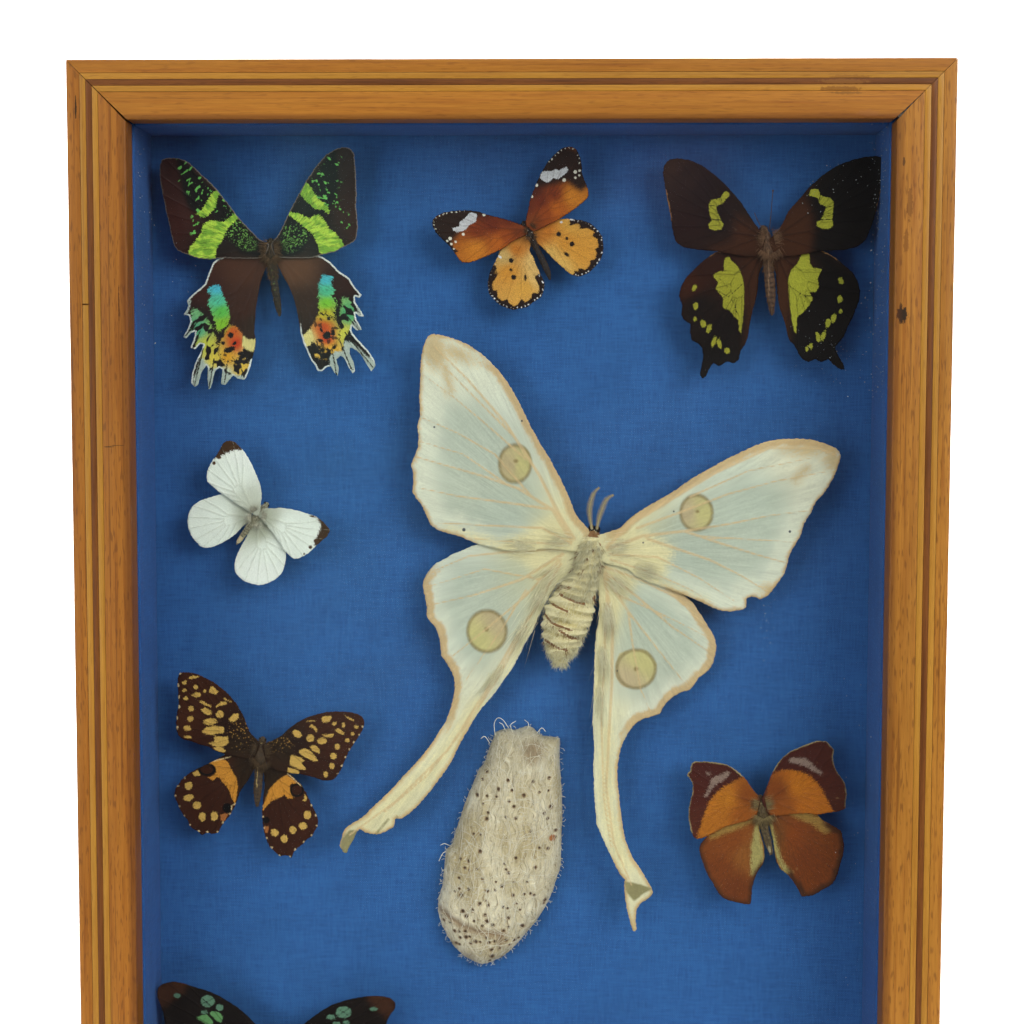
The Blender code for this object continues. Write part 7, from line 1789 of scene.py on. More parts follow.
comet("hindwing_left", (-7, 6), [
    ([(-8, 10), (-26, 9), (-44, 7), (-58, 1)], 1.4, .6), ([(-8, 8), (-24, -2), (-42, -8), (-59, -12)], 1.5, .6), ([(-9, 6), (-22, -8), (-36, -20), (-52, -33)], 1.3, .6),
    ([(-9, 4), (-18, -12), (-28, -28), (-38, -46), (-52, -68), (-72, -88), (-90, -101)], 1.6, .8), ([(-22, -6), (-32, -22), (-46, -42)], 1.1, .5),
    ([(-22, -20), (-34, -42), (-46, -60), (-60, -78), (-76, -92)], 1.1, .7), ([(-16, -2), (-38, 2), (-60, -5)], 1.0, .5)], [
    ("disc", [P_((-22, 8), (-50, 4), (-54, -12), (-48, -30), (-38, -38), (-26, -24), (-18, -6))]),
    ("margin", border(5.0, 0, (.20, .36), 2.0)),
    ("cream", [P_((-6, 8), (-14, 14), (-30, 15), (-38, 13), (-30, 9), (-20, 3), (-15, -6), (-20, -18), (-28, -32), (-30, -40), (-16, -14)),
               S_([(-40, -50), (-58, -76), (-84, -97)], 3.5, 4)]),
    ("patch", []), ("tan", lambda c: np.maximum(border(2.8, .4, (.185, .37), .5)(c), border(1.0, 0, (.37, .78), .3)(c))),
    # painted shade on the turned underside at the tail twist
    ("under", [P_((-93.5, -104), (-90, -99), (-86.5, -99.5), (-90, -108), (-92.5, -109)), S_([(-80, -101), (-75, -95)], .8), S_([(-72.5, -98), (-71.5, -94)], .7)]),
    ("eye", [E_(-37, -21.9, 15, 16, 0)]), ("ring", [("r", -37, -21.9, 7.4, 7.9, .6)]), ("dot", [C_(-37.2, -21.2, .9)]), ("hole", []),
    ("tint", [(-33, -18, (196, 178, 136)), (-41, -25, (204, 196, 132))])],
    base=[(-50, 0, (216, 222, 204)), (-44, -24, (222, 228, 208)), (-16, 2, (232, 224, 176)), (-50, -60, (230, 224, 184)), (-80, -94, (228, 220, 176)),
          (-30, -34, (228, 226, 196))], hind=True, seed=83,
    bend=lambda P: -1.6 * np.exp(-(((P[:, 0] + 88) ** 2 + (P[:, 1] + 100) ** 2) / 40)) - .7 * np.exp(-((P[:, 0] + 76) ** 2 + (P[:, 1] + 95) ** 2) / 14))
comet("hindwing_right", (7.5, 2), [
    ([(8, 3), (22, -2), (36, -9), (46, -19)], 1.4, .6), ([(8, 1), (20, -8), (34, -20), (49, -30)], 1.5, .6), ([(8, 0), (17, -14), (28, -28), (40, -43)], 1.3, .6),
    ([(8, -1), (11, -20), (11, -40), (10, -60), (9, -82), (12, -104), (19, -120)], 1.6, .8), ([(17, -14), (19, -28), (22, -44), (26, -53)], 1.1, .5),
    ([(9, -6), (8, -30), (7, -56), (8, -86), (11, -106)], 1.2, .6), ([(14, -8), (32, -16), (50, -25)], 1.0, .5)], [
    ("disc", [P_((16, -4), (36, -12), (46, -24), (42, -36), (26, -48), (14, -46), (11, -28))]),
    ("margin", border(5.0, 0, (.12, .34), 2.0)),
    ("cream", [P_((7, 4), (16, 2), (20, -3), (15, -10), (11, -24), (9, -44), (3, -48), (4, -10)), S_([(9, -60), (9, -90), (16, -112)], 4.5, 5)]),
    ("patch", []), ("tan", lambda c: np.maximum(border(2.8, .4, (.09, .335), .5)(c), border(1.0, 0, (.335, .66), .3)(c))),
    # painted shade on the turned underside at the tail twist
    ("under", [P_((16.4, -118.6), (22, -119.4), (26.8, -121.4), (23, -123.6), (20, -126.4), (17.2, -123))]),
    ("eye", [P_((14, -30), (19, -28.8), (24, -29), (28, -34), (27, -40), (22, -43.8), (15, -43), (12.3, -39), (12.4, -34))]),
    ("ring", [("r", 20.2, -36.2, 7.4, 7.4, .6)]), ("dot", [C_(20.2, -36.2, .9)]), ("hole", [C_(13, -37, .3)]),
    ("tint", [(23, -33, (204, 196, 132)), (17, -40, (196, 178, 138))])],
    base=[(40, -22, (218, 224, 204)), (24, -14, (212, 220, 200)), (10, -14, (232, 226, 184)), (8, -60, (230, 226, 188)), (20, -118, (228, 222, 182)),
          (30, -42, (222, 224, 202))], hind=True, seed=84,
    bend=lambda P: -1.6 * np.exp(-(((P[:, 0] - 22) ** 2 + (P[:, 1] + 120) ** 2) / 50)))
# ---------------------------------------------------------------------------
# Bodies: a segmented closed form along each spine, with joined tapered hairs.
BODY_Y = 5.2


def hair_mat(name, dark, light, third, rough=.75):
    m = Mat(name, rough=rough, spec=.2)
    t = m.attr("tone")
    c = m.mix(m.span(t, 0, 1), srgb(*dark), srgb(*light))
    c = m.mix(m.span(t, 1.4, 1.6), c, srgb(*third))
    c = m.mix(m.span(t, 2.4, 2.6), c, srgb(176, 160, 120))
    n = m.noise(m.scaled(2200, 2200, 2200), detail=1)
    c = m.tone(c, m.span(n, .3, .7, .88, 1.12))
    return m.set(Base_Color=c, Roughness=m.span(n, .3, .7, rough - .08, rough + .1), Normal=m.bump(n, .0001, .4))


def body_mat(name, dark, light, mark):
    """tone on the points: 0 to 1 from dark to light, 2 a mark, 3 an eye."""
    m = Mat(name, rough=.6, spec=.35)
    t = m.attr("tone")
    n = m.noise(m.scaled(1500, 1500, 1500), detail=3, rough=.65)
    f = m.math("ADD", m.span(t, 0, 1), m.span(n, .3, .7, -.35, .35), clamp=True)
    c = m.mix(f, srgb(*dark), srgb(*light))
    c = m.mix(m.span(t, 1.4, 1.6), c, srgb(*mark))
    c = m.mix(m.span(t, 2.4, 2.6), c, srgb(26, 19, 15))
    return m.set(Base_Color=c, Roughness=m.span(t, 2.4, 2.6, .62, .22), Normal=m.bump(n, .0004, .8))


def hairs(parts, B, D, L, r, curve, tone):
    B, D, curve = (np.asarray(a, float) for a in (B, D, curve))
    n = len(B)
    if not n:
        return
    D = D / (np.linalg.norm(D, axis=1)[:, None] + 1e-9)
    L = np.broadcast_to(L, (n,))[:, None]
    r = np.broadcast_to(r, (n,))[:, None]
    ref = np.where(np.abs(D[:, 1:2]) > .9, np.array([[1.0, 0, 0]]), np.array([[0, 1.0, 0]]))
    a = np.cross(D, ref)
    a /= np.linalg.norm(a, axis=1)[:, None] + 1e-9
    b = np.cross(D, a)
    V = np.zeros((n, 7, 3))
    for k in range(3):
        w = 2 * math.pi * k / 3
        o = (a * math.cos(w) + b * math.sin(w)) * r
        V[:, k] = B + o
        V[:, 3 + k] = B + D * L * .5 + curve * .3 + o * .7
    V[:, 6] = B + D * L + curve
    fs = []
    for i in range(n):
        q = i * 7
        fs += [(q + 2, q + 1, q), (q, q + 1, q + 4, q + 3), (q + 1, q + 2, q + 5, q + 4), (q + 2, q, q + 3, q + 5), (q + 3, q + 4, q + 6),
               (q + 4, q + 5, q + 6), (q + 5, q + 3, q + 6)]
    parts.add(V.reshape(-1, 3), fs, np.repeat(np.broadcast_to(tone, (n,)), 7))


def ball(c, rx, ry, rz, n=12, m_=8):
    vs = [(c[0], c[1], c[2] + rz)]
    for i in range(1, m_):
        a = math.pi * i / m_
        for k in range(n):
            w = 2 * math.pi * k / n
            vs.append((c[0] + rx * math.sin(a) * math.cos(w), c[1] + ry * math.sin(a) * math.sin(w), c[2] + rz * math.cos(a)))
    vs.append((c[0], c[1], c[2] - rz))
    fs = [(0, 1 + k, 1 + (k + 1) % n) for k in range(n)]
    for i in range(m_ - 2):
        for k in range(n):
            p, q = 1 + i * n + k, 1 + i * n + (k + 1) % n
            fs.append((p, p + n, q + n, q))
    last = len(vs) - 1
    fs += [(last, 1 + (m_ - 2) * n + (k + 1) % n, 1 + (m_ - 2) * n + k) for k in range(n)]
    return np.array(vs), outward(vs, fs)


def spine_line(prefix, step):
    sp = np.array(SPECIMENS[prefix]["spine"], float)
    ln = smooth_line(sp, step)
    ln[:, 2] = np.maximum(ln[:, 2], .25)
    return ln


def body(prefix, mats, seg=None, fur=(), eye=.55, y_deep=.85, marks=None, seed=1, eye_at=.9, feelers=(), sides=30, extra=None, furmat=None, lumps=.05):
    """seg: (from, to, spacing) rings, in share of length. fur: (from, to, count, length, thick, lift, tones, spread)."""
    g = np.random.default_rng(seed)
    sp = SPECIMENS[prefix]
    cx, cz = sp["centre"][0], FRAME_H - sp["centre"][1]
    ln = spine_line(prefix, .22)
    p, hw = ln[:, :2], ln[:, 2]
    t = np.gradient(p, axis=0)
    t /= np.linalg.norm(t, axis=1)[:, None]
    caps = [(.45, .90), (.75, .67), (.93, .38), (.995, .12)]
    head = [(p[0] - t[0] * hw[0] * k, hw[0] * q, t[0]) for k, q in reversed(caps)]
    tail = [(p[-1] + t[-1] * hw[-1] * k, hw[-1] * q, t[-1]) for k, q in caps]
    P = np.array([h[0] for h in head] + list(p) + [h[0] for h in tail])
    H = np.array([h[1] for h in head] + list(hw) + [h[1] for h in tail])
    T = np.array([h[2] for h in head] + list(t) + [h[2] for h in tail])
    arc = np.concatenate([[0], np.cumsum(np.linalg.norm(np.diff(P, axis=0), axis=1))])
    share = arc / arc[-1]
    mod = np.ones(len(P))
    if seg:
        a0, a1, gap = seg
        on = np.clip((share - a0) / .03, 0, 1) * np.clip((a1 - share) / .02, 0, 1)
        ph = ((arc - a0 * arc[-1]) % gap) / gap
        mod -= on * .10 * np.exp(-((ph - .5) / .16) ** 2)
    N = np.stack([-T[:, 1], T[:, 0]], 1)
    vs, tone = [], []
    for i in range(len(P)):
        for k in range(sides):
            w = 2 * math.pi * k / sides
            rr = H[i] * mod[i] * (1 + lumps * math.sin(3 * w + arc[i] * 1.1) * math.sin(arc[i] * .9 + seed) + g.uniform(-.012, .012))
            c, s = math.cos(w) * rr, math.sin(w) * rr * y_deep
            vs.append((P[i, 0] + N[i, 0] * c + cx, BODY_Y + s, P[i, 1] + N[i, 1] * c + cz))
            # the tone darkens in the grooves between the rings: painted shade in the creases
            tone.append(float(np.clip(.45 + .5 * (mod[i] - .95) * 10 + .25 * math.cos(2 * w), 0, 1)))
    n = len(P)
    fs = []
    for i in range(n - 1):
        for k in range(sides):
            q = (k + 1) % sides
            fs.append((i * sides + k, i * sides + q, (i + 1) * sides + q, (i + 1) * sides + k))
    fs.append(tuple(range(sides - 1, -1, -1)))
    fs.append(tuple((n - 1) * sides + k for k in range(sides)))
    V = np.array(vs)
    tone = np.array(tone)
    if marks:
        local = np.stack([V[:, 0] - cx, V[:, 2] - cz], 1)
        front = V[:, 1] < BODY_Y
        tone = np.where((sdf(local, marks) > 0) & front, 2.0, tone)
    core = Parts()
    core.add(V, outward(V, fs), tone)
    if eye:
        i = int(len(P) * .0) + 5
        for sgn in (-1, 1):
            q = P[i] + N[i] * sgn * H[i] * eye_at
            core.add(*ball((q[0] + cx, BODY_Y - .1, q[1] + cz), eye, eye, eye * 1.1), 3.0)
    for pts, r0, r1, club in feelers:
        q = smooth_line(pts, .5)
        rr = np.linspace(r0, r1, len(q))
        if club:
            rr = rr + club * np.exp(-((np.linspace(1, 0, len(q))) / .07) ** 2)
        v3 = np.stack([q[:, 0] + cx, BODY_Y - 1.4 + 0 * q[:, 0], q[:, 1] + cz], 1)
        v3[:, 1] += .15 * wobble(q[:, 0], q[:, 1], 9, seed)
        vv, ff = tube(v3, rr, sides=7)
        core.add(vv, outward(vv, ff), .35)
    core.done("body_" + prefix, mats, slot=prefix + "_body", replaces=prefix + "_body")
    fz = Parts()
    for a0, a1, cnt, length, rad, lift, tones, spread in fur:
        s = g.uniform(a0, a1, cnt)
        i = np.clip(np.searchsorted(share, s), 0, n - 1)
        w = g.uniform(-math.pi * spread, math.pi * spread, cnt) - math.pi / 2      # -90 degrees is the front
        cw, sw = np.cos(w), np.sin(w)
        nx = N[i, 0] * cw
        nz = N[i, 1] * cw
        out = np.stack([nx, sw, nz], 1)
        B = np.stack([P[i, 0] + cx, np.full(cnt, BODY_Y), P[i, 1] + cz], 1) + np.stack([nx, sw * y_deep, nz], 1) * (H[i] * mod[i] * .95)[:, None]
        back = np.stack([T[i, 0], 0 * s, T[i, 1]], 1)
        D = out * lift + back * g.uniform(.35, 1.0, cnt)[:, None] + g.normal(0, .28, (cnt, 3))
        L = length * g.uniform(.6, 1.25, cnt)
        cv = back * (L * .25)[:, None] + g.normal(0, .10, (cnt, 3)) * L[:, None]
        if callable(tones):
            tn = tones(np.stack([B[:, 0] - cx, B[:, 2] - cz], 1), g)
        else:
            tn = g.uniform(tones[0], tones[1], cnt)
        hairs(fz, B, D, L, rad * g.uniform(.7, 1.2, cnt), cv, tn)
    if extra:
        extra(fz, g, cx, cz)
    if fz.v:
        for a in fz.v:
            a[:, 1] = np.minimum(a[:, 1], 14.6)
        fz.done("fur_" + prefix, furmat or mats, slot=prefix + "_body")


def tufts(centres, length, rad, tones, y=3.0):
    """Hairs lying over the wing roots: (x, z, dx, dz, spread across, count)."""
    def f(fz, g, cx, cz):
        for x, z, dx, dz, wide, cnt in centres:
            side = np.array([-dz, dx]) / math.hypot(dx, dz)
            o = g.normal(0, wide, cnt)
            B = np.stack([cx + x + side[0] * o, y + g.uniform(-.35, .25, cnt), cz + z + side[1] * o], 1)
            D = np.stack([dx + g.normal(0, .3, cnt), g.uniform(-.16, .05, cnt), dz + g.normal(0, .3, cnt)], 1)
            L = length * g.uniform(.5, 1.3, cnt)
            hairs(fz, B, D, L, rad * g.uniform(.7, 1.2, cnt), g.normal(0, .08, (cnt, 3)) * L[:, None], g.uniform(tones[0], tones[1], cnt))
    return f


body("sunset_moth", body_mat("sunset_body", (30, 24, 20), (66, 54, 34), (96, 128, 44)), seg=(.52, .98, 1.9),
     fur=[(.02, .5, 700, 1.4, .06, .8, (0, 1), .62), (.5, .98, 240, .8, .05, .35, (0, .5), .6)], eye=.6,
     marks=[E_(.4, -4.6, .8, .5), E_(.9, -7, .7, .5), E_(1.1, -9.6, .6, .5), E_(1.4, -12, .6, .4)], seed=3,
     furmat=hair_mat("sunset_fur", (52, 40, 30), (140, 108, 76), (110, 130, 60)),
     extra=tufts([(-1.4, 4.0, -1, .1, 1.2, 143), (1.4, 4.0, 1, .1, 1.2, 143), (-1.2, .5, -.7, -.8, 1.1, 143), (1.2, .5, .7, -.8, 1.1, 143)], 3.2, .05, (0, 1)))
body("plain_tiger", body_mat("tiger_body", (24, 18, 16), (52, 38, 30), (196, 190, 178)), seg=(.5, .98, 1.3),
     fur=[(.04, .45, 340, .8, .05, .7, (0, .6), .6)], eye=.5,
     marks=[C_(-2.5, 3.2, .28), C_(-1, 3.8, .28), C_(-.8, 1.4, .3), C_(.8, .7, .3), C_(-1.3, -.2, .25), C_(.4, -1.2, .25), C_(1.4, -2.2, .2)], seed=4,
     furmat=hair_mat("tiger_fur", (46, 34, 28), (140, 100, 64), (190, 180, 160)),
     extra=tufts([(-.8, 1.4, -1, .1, .7, 66), (1.0, 2.6, .6, .8, .7, 66), (-.4, -1, -.4, -1, .7, 71), (1.6, -.6, 1, -.2, .7, 71)], 2.0, .045, (0, 1)))
body("green_patch_swallowtail", body_mat("green_patch_body", (52, 34, 24), (104, 74, 50), (140, 110, 80)), seg=(.5, .98, 1.9),
     fur=[(.02, .5, 700, 1.3, .06, .8, (0, 1), .62), (.5, .98, 240, .8, .05, .35, (0, .7), .6)], eye=.65,
     marks=[S_([(-.4, 1), (0, -5), (.1, -16)], .35)], seed=5,
     feelers=[([(.1, 8.6), (.6, 14), (.9, 19), (1.3, 23.5)], .14, .12, .28), ([(-3, 9.6), (-4.4, 12.2), (-5.6, 15)], .14, .12, 0)],
     furmat=hair_mat("green_patch_fur", (84, 58, 42), (168, 128, 94), (150, 120, 90)),
     extra=tufts([(-1.7, 5.4, -1, .3, 1.4, 165), (1.7, 5.4, 1, .3, 1.4, 165), (-1.4, 0, -.6, -.9, 1.3, 176), (1.4, 0, .6, -.9, 1.3, 176)], 3.4, .05, (0, .8)))
body("white_butterfly", body_mat("white_body", (86, 82, 62), (168, 162, 132), (196, 180, 140)), seg=(.5, .98, 1.1),
     fur=[(.04, .6, 420, 1.0, .05, .8, (0, 1), .62)], eye=.5, marks=[E_(-7, -9, 3, 3)], seed=6,
     furmat=hair_mat("white_fur", (132, 126, 100), (236, 232, 210), (200, 190, 160)),
     extra=tufts([(-.8, 2, -.6, 1, .8, 93), (1.9, .6, 1, -.2, .8, 93), (-2.2, -.6, -1, .1, .9, 104), (0, -2.6, .2, -1, .9, 104)], 2.6, .045, (.3, 1)))
body("citrus_swallowtail", body_mat("citrus_body", (44, 32, 24), (92, 72, 48), (196, 170, 104)), seg=(.5, .98, 1.6),
     fur=[(.02, .5, 600, 1.1, .06, .8, (0, 1), .62), (.5, .98, 220, .7, .05, .35, (0, .8), .6)], eye=.6,
     marks=[E_(0, 5.2, 1.4, .5, 20), S_([(-1.6, -4), (-2, -12)], .35)], seed=7,
     furmat=hair_mat("citrus_fur", (60, 44, 30), (126, 98, 66), (180, 160, 110)),
     extra=tufts([(-1.7, 3.4, -1, .3, 1.3, 154), (1.4, 2.8, 1, .1, 1.3, 154), (-1.8, -1.5, -.8, -.8, 1.2, 165), (.8, -2.6, .5, -1, 1.2, 165)], 3.0, .05, (0, .8)))
body("orange_anteva", body_mat("anteva_body", (52, 40, 26), (116, 96, 62), (170, 158, 120)), seg=(.48, .98, 1.4),
     fur=[(.02, .5, 560, 1.2, .06, .8, (0, 1), .62), (.5, .98, 220, .8, .05, .35, (.2, 1), .6)], eye=.5,
     marks=[C_(-.5, 1, .35), C_(-1.4, -2.0, .35), E_(3, -17, 1.2, 3, 10)], seed=8,
     furmat=hair_mat("anteva_fur", (78, 64, 42), (184, 160, 108), (170, 158, 120)),
     extra=tufts([(-1.5, .8, -1, .2, 1.2, 132), (1.3, .8, 1, .2, 1.2, 132), (-1.2, -4, -.5, -1, 1.2, 165), (1.8, -4, .5, -1, 1.2, 165)], 3.6, .05, (.1, 1)))
body("dark_swallowtail", body_mat("dark_body", (34, 27, 22), (72, 58, 44), (110, 92, 70)), seg=(.5, .98, 1.9),
     fur=[(.02, .5, 560, 1.2, .06, .8, (0, 1), .62), (.5, .98, 220, .8, .05, .35, (0, .6), .6)], eye=.65, seed=9,
     furmat=hair_mat("dark_fur", (54, 44, 36), (118, 96, 74), (110, 92, 70)),
     extra=tufts([(-1.6, 5, -1, .3, 1.4, 143), (1.8, 5, 1, .3, 1.4, 143), (-1.4, -.5, -.6, -.9, 1.3, 154), (1.4, -.5, .6, -.9, 1.3, 154)], 3.4, .05, (0, .7)))

# the comet moth's woolly body
# Brown lines and dots on the comet's body: its own marks and grooves, and the two upright lines beside the thorax,
# which are painted shade between thorax and wing roots
CM_MARKS_AND_SHADE = [S_([(-9, -4.3), (-5, -4.6)], 1.0), S_([(-9, -7.2), (-3.8, -9.5), (.5, -10.8)], 1.1), S_([(-12, -11), (-6, -13.5)], 1.0),
            S_([(-15.5, -14.5), (-12, -18), (-5, -20.5)], 1.1), S_([(-9, -21), (-5, -23.5), (-1.5, -24)], 1.3), S_([(-14.5, -25), (-9, -28)], 1.2),
            C_(-6.8, -28.3, .9), C_(3.8, -8.5, .9), S_([(1.5, 16), (5.4, 15.6)], 2.6), S_([(-4.6, 2), (-3.6, 7), (-2.0, 12)], 1.2), S_([(6.4, 2), (6.9, 7), (6.6, 12)], 1.2), C_(1, 6.5, .6), C_(3.4, 10, .5), C_(-.6, 2, .5)]


# hairs over these marks and painted shade lines turn brown
def comet_tones(Q, g):
    t = g.uniform(.1, 1.0, len(Q))
    s = sdf(Q, CM_MARKS_AND_SHADE) + g.normal(0, .35, len(Q))
    return np.where(s > 0, 2.0, t)


def comet_extra(fz, g, cx, cz):
    # wool at the wing roots and fans of long hair down the inner margins
    for x, z, dx, dz, wide, cnt, ln_ in ((-4.4, 12, -1, .12, 2.0, 90, 8), (7.8, 9.5, 1, .1, 2.2, 90, 8), (-8, 4, -.9, -.75, 2.6, 110, 10), (8.6, 1, .8, -.8, 2.4, 110, 10),
                                       (-18, 11, -1, .05, 1.6, 110, 10), (-13, -3, -.5, -.9, 1.8, 110, 14), (8.6, -10, .1, -1, 1.2, 110, 15), (18, 3, 1, -.25, 2.0, 110, 9),
                                       (-20.5, -16, -.5, -.9, 1.5, 90, 14), (7.2, -26, .02, -1, .9, 80, 14), (-30.5, -34, -.52, -.86, 1.0, 60, 13), (6.4, -42, 0, -1, .8, 60, 13)):
        d = math.hypot(dx, dz)
        side = np.array([-dz, dx]) / d
        o = g.normal(0, wide, cnt)
        al = g.uniform(0, 7, cnt)
        B = np.stack([cx + x + side[0] * o + dx / d * al, 2.86 + g.uniform(-.15, .15, cnt), cz + z + side[1] * o + dz / d * al], 1)
        hind = (dz < -.5)
        B[:, 1] += 1.0 if hind else 0.0
        D = np.stack([dx + g.normal(0, .13, cnt), g.uniform(-.07, .05, cnt), dz + g.normal(0, .13, cnt)], 1)
        L = ln_ * g.uniform(.45, 1.1, cnt)
        hairs(fz, B, D, L, .075 * g.uniform(.6, 1.1, cnt), g.normal(0, .05, (cnt, 3)) * np.array([1, .3, 1]) * L[:, None], g.uniform(.55, 1.0, cnt))
    # feathered feelers
    for pts in ([(3.0, 17.5), (2.2, 22), (2.1, 26), (3.5, 31), (5.6, 33.4)], [(4.8, 17.5), (5.6, 21.5), (6.7, 25), (8.5, 29), (11, 30.6)]):
        q = smooth_line(pts, .28)
        v3 = np.stack([q[:, 0] + cx, 3.4 + 0 * q[:, 0], q[:, 1] + cz], 1)
        vv, ff = tube(v3, np.linspace(.32, .16, len(q)), sides=6)
        fz.add(vv, outward(vv, ff), 3.0)
        t = np.gradient(q, axis=0)
        t /= np.linalg.norm(t, axis=1)[:, None]
        for sg in (-1, 1):
            nrm = np.stack([-t[:, 1], t[:, 0]], 1) * sg
            D = np.stack([nrm[:, 0] + t[:, 0] * .7, np.full(len(q), -.12), nrm[:, 1] + t[:, 1] * .7], 1)
            k = np.sin(np.linspace(.25, 3.0, len(q))) * 1.5 + .35
            hairs(fz, v3, D, k, .13, 0 * v3, 3.0)


body("comet_moth", body_mat("comet_body", (212, 196, 136), (250, 240, 196), (146, 104, 62)), seg=(.46, .97, 5.0),
     fur=[(.0, .14, 220, 1.6, .09, .5, comet_tones, .6), (.08, .5, 2300, 3.0, .13, .42, comet_tones, .64), (.44, .99, 1500, 2.0, .13, .26, comet_tones, .62)], lumps=.12, eye=1.4, eye_at=1.0,
     marks=CM_MARKS_AND_SHADE, seed=11, y_deep=.8, furmat=hair_mat("comet_fur", (222, 208, 152), (255, 250, 218), (150, 106, 62)), extra=comet_extra, sides=44)
# ---------------------------------------------------------------------------
# The silk cocoon: a domed closed shell with small holes, loose strands and wisps. The holes are shallow dips, painted
# dark inside as shade.
CO_HOLES = [(-9.8, 21.8, .45), (-6, 22, .35), (-2.2, 22.2, .3), (-1.5, 25, .5), (-7.8, 27.8, .35), (-6.2, 30.8, .4), (2.2, 28.5, .45), (3.8, 24.8, .4), (8.3, 23, .5),
            (2.6, 20.7, .4), (4.5, 18.6, .45), (5.2, 14, .4), (1.4, 14.5, .35), (-6, 13.5, .5), (-5.5, 15.8, .35), (-7.5, 19, .3), (11.8, 28, .4), (18, 28.8, .45),
            (14.3, 23.7, .35), (17.7, 24, .3), (18.8, 17.8, .6), (16.1, 15.5, .45), (17.5, 13.3, .4), (20.6, 8, .45), (20.6, 5.5, .3), (11, 9, .4), (17.6, 1.4, .45),
            (14.3, 2.2, .35), (-11, 7.3, .35), (-8.4, 7.3, .3), (-8.5, .8, .5), (-12.9, -3.3, .45), (-16.2, -2.8, .35), (-14.5, -6, .4), (-12.7, -6.6, .35), (-9.7, -6, .35),
            (1.5, -6, .35), (2.5, -7.3, .45), (.8, -3.8, .35), (5.3, -1.4, .4), (12.7, -5.3, .5), (9.5, -11, .3), (4.4, -11, .25), (-16.8, -10.3, .4), (-7.5, -9.5, .4),
            (-2.4, -10.8, .3), (0, -12.5, .5), (-2.6, -14, .35), (-5.7, -14.3, .5), (-13, -14.2, .4), (-16.6, -14.5, .35), (-15.9, -16.7, .55), (-18.4, -15.7, .3),
            (-6, -18.3, .3), (-8.6, -19.6, .5), (-5.4, -20, .4), (.4, -20.7, .4), (4.2, -16.1, .45), (8.5, -15.8, .35), (11, -15.8, .4), (12.3, -16.6, .4), (5.7, -19.5, .3),
            (6.9, -22.2, .3), (2.1, -21.3, .3), (16.5, -19.7, .5), (16, -20.9, .3), (-15.2, -22.8, .55), (-11.5, -22.2, .5), (-13.8, -24.7, .55), (-6.6, -23.8, .45),
            (-5.8, -26.2, .6), (-3.6, -28, .5), (2.4, -25.3, .5), (-10.8, -26.3, .35), (-7.6, -28.2, .4), (2.5, -29.2, .35), (7.8, -29.2, .6), (.5, -30.5, .4),
            (-14.3, -30.9, .55), (-20.2, -28, .4), (-22.9, -27.8, .4), (-18.6, -31.3, .5), (-16.7, -31.3, .4), (-14, -33.3, .6), (-12.6, -33, .35), (-16.4, -33.8, .4),
            (-10.2, -34.8, .55), (-8.5, -34.8, .35), (-5, -35.1, .45), (-6.1, -33, .4), (-2.8, -34.7, .45), (1.5, -34.7, .5), (4.6, -35.4, .45), (6.3, -34.7, .35),
            (-12.2, -35.8, .45), (-18, -36.7, .5), (-16.7, -36.9, .4), (-20, -37.7, .4), (-4.1, -38.4, .5), (-1, -37.8, .4), (-4, -41.4, .65), (-4.9, -43.7, .4),
            (-.2, -43, .4), (2.9, -37, .4), (-5.3, -45.6, .35)]
CO_BAND = [(-24, -24), (-16, -28.5), (-8, -31), (0, -32), (-1, -36)]
CO_RIM = closed_line(COCOON, .8, .6)


def cocoon_front(P, d=None):
    """y of the cocoon's front surface at each point."""
    d = poly_sdf(P, CO_RIM) if d is None else d
    x, z = P[:, 0], P[:, 1]
    k = np.clip(d / 17.0, 0, 1)
    dome = np.sqrt(np.maximum(1 - (1 - k) ** 2, 0))
    tall = 12.6 - 2.6 * np.clip((z - 18) / 30, 0, 1)
    y = 14.3 - tall * dome
    soft = np.clip(d / 2.5, 0, 1)
    y += soft * (.42 * wobble(x * 3.2, z * .8, 30, 3) + .28 * wobble(x * 3, z * 1.2, 13, 5) + .16 * wobble(x, z, 5, 8))
    band, _ = seg_dist(P, CO_BAND[0], CO_BAND[1])
    for a, b in zip(CO_BAND[1:], CO_BAND[2:]):
        band = np.minimum(band, seg_dist(P, a, b)[0])
    y += soft * .55 * np.exp(-(band / .9) ** 2)
    for cx0, amp in ((4.0, .5), (10.5, -.45), (-1.5, -.4), (16, .35)):            # pleats at the gathered top
        y += soft * amp * np.exp(-((x - cx0 - (z - 40) * .06) / 1.5) ** 2) * np.clip((z - 16) / 20, 0, 1)
    return y


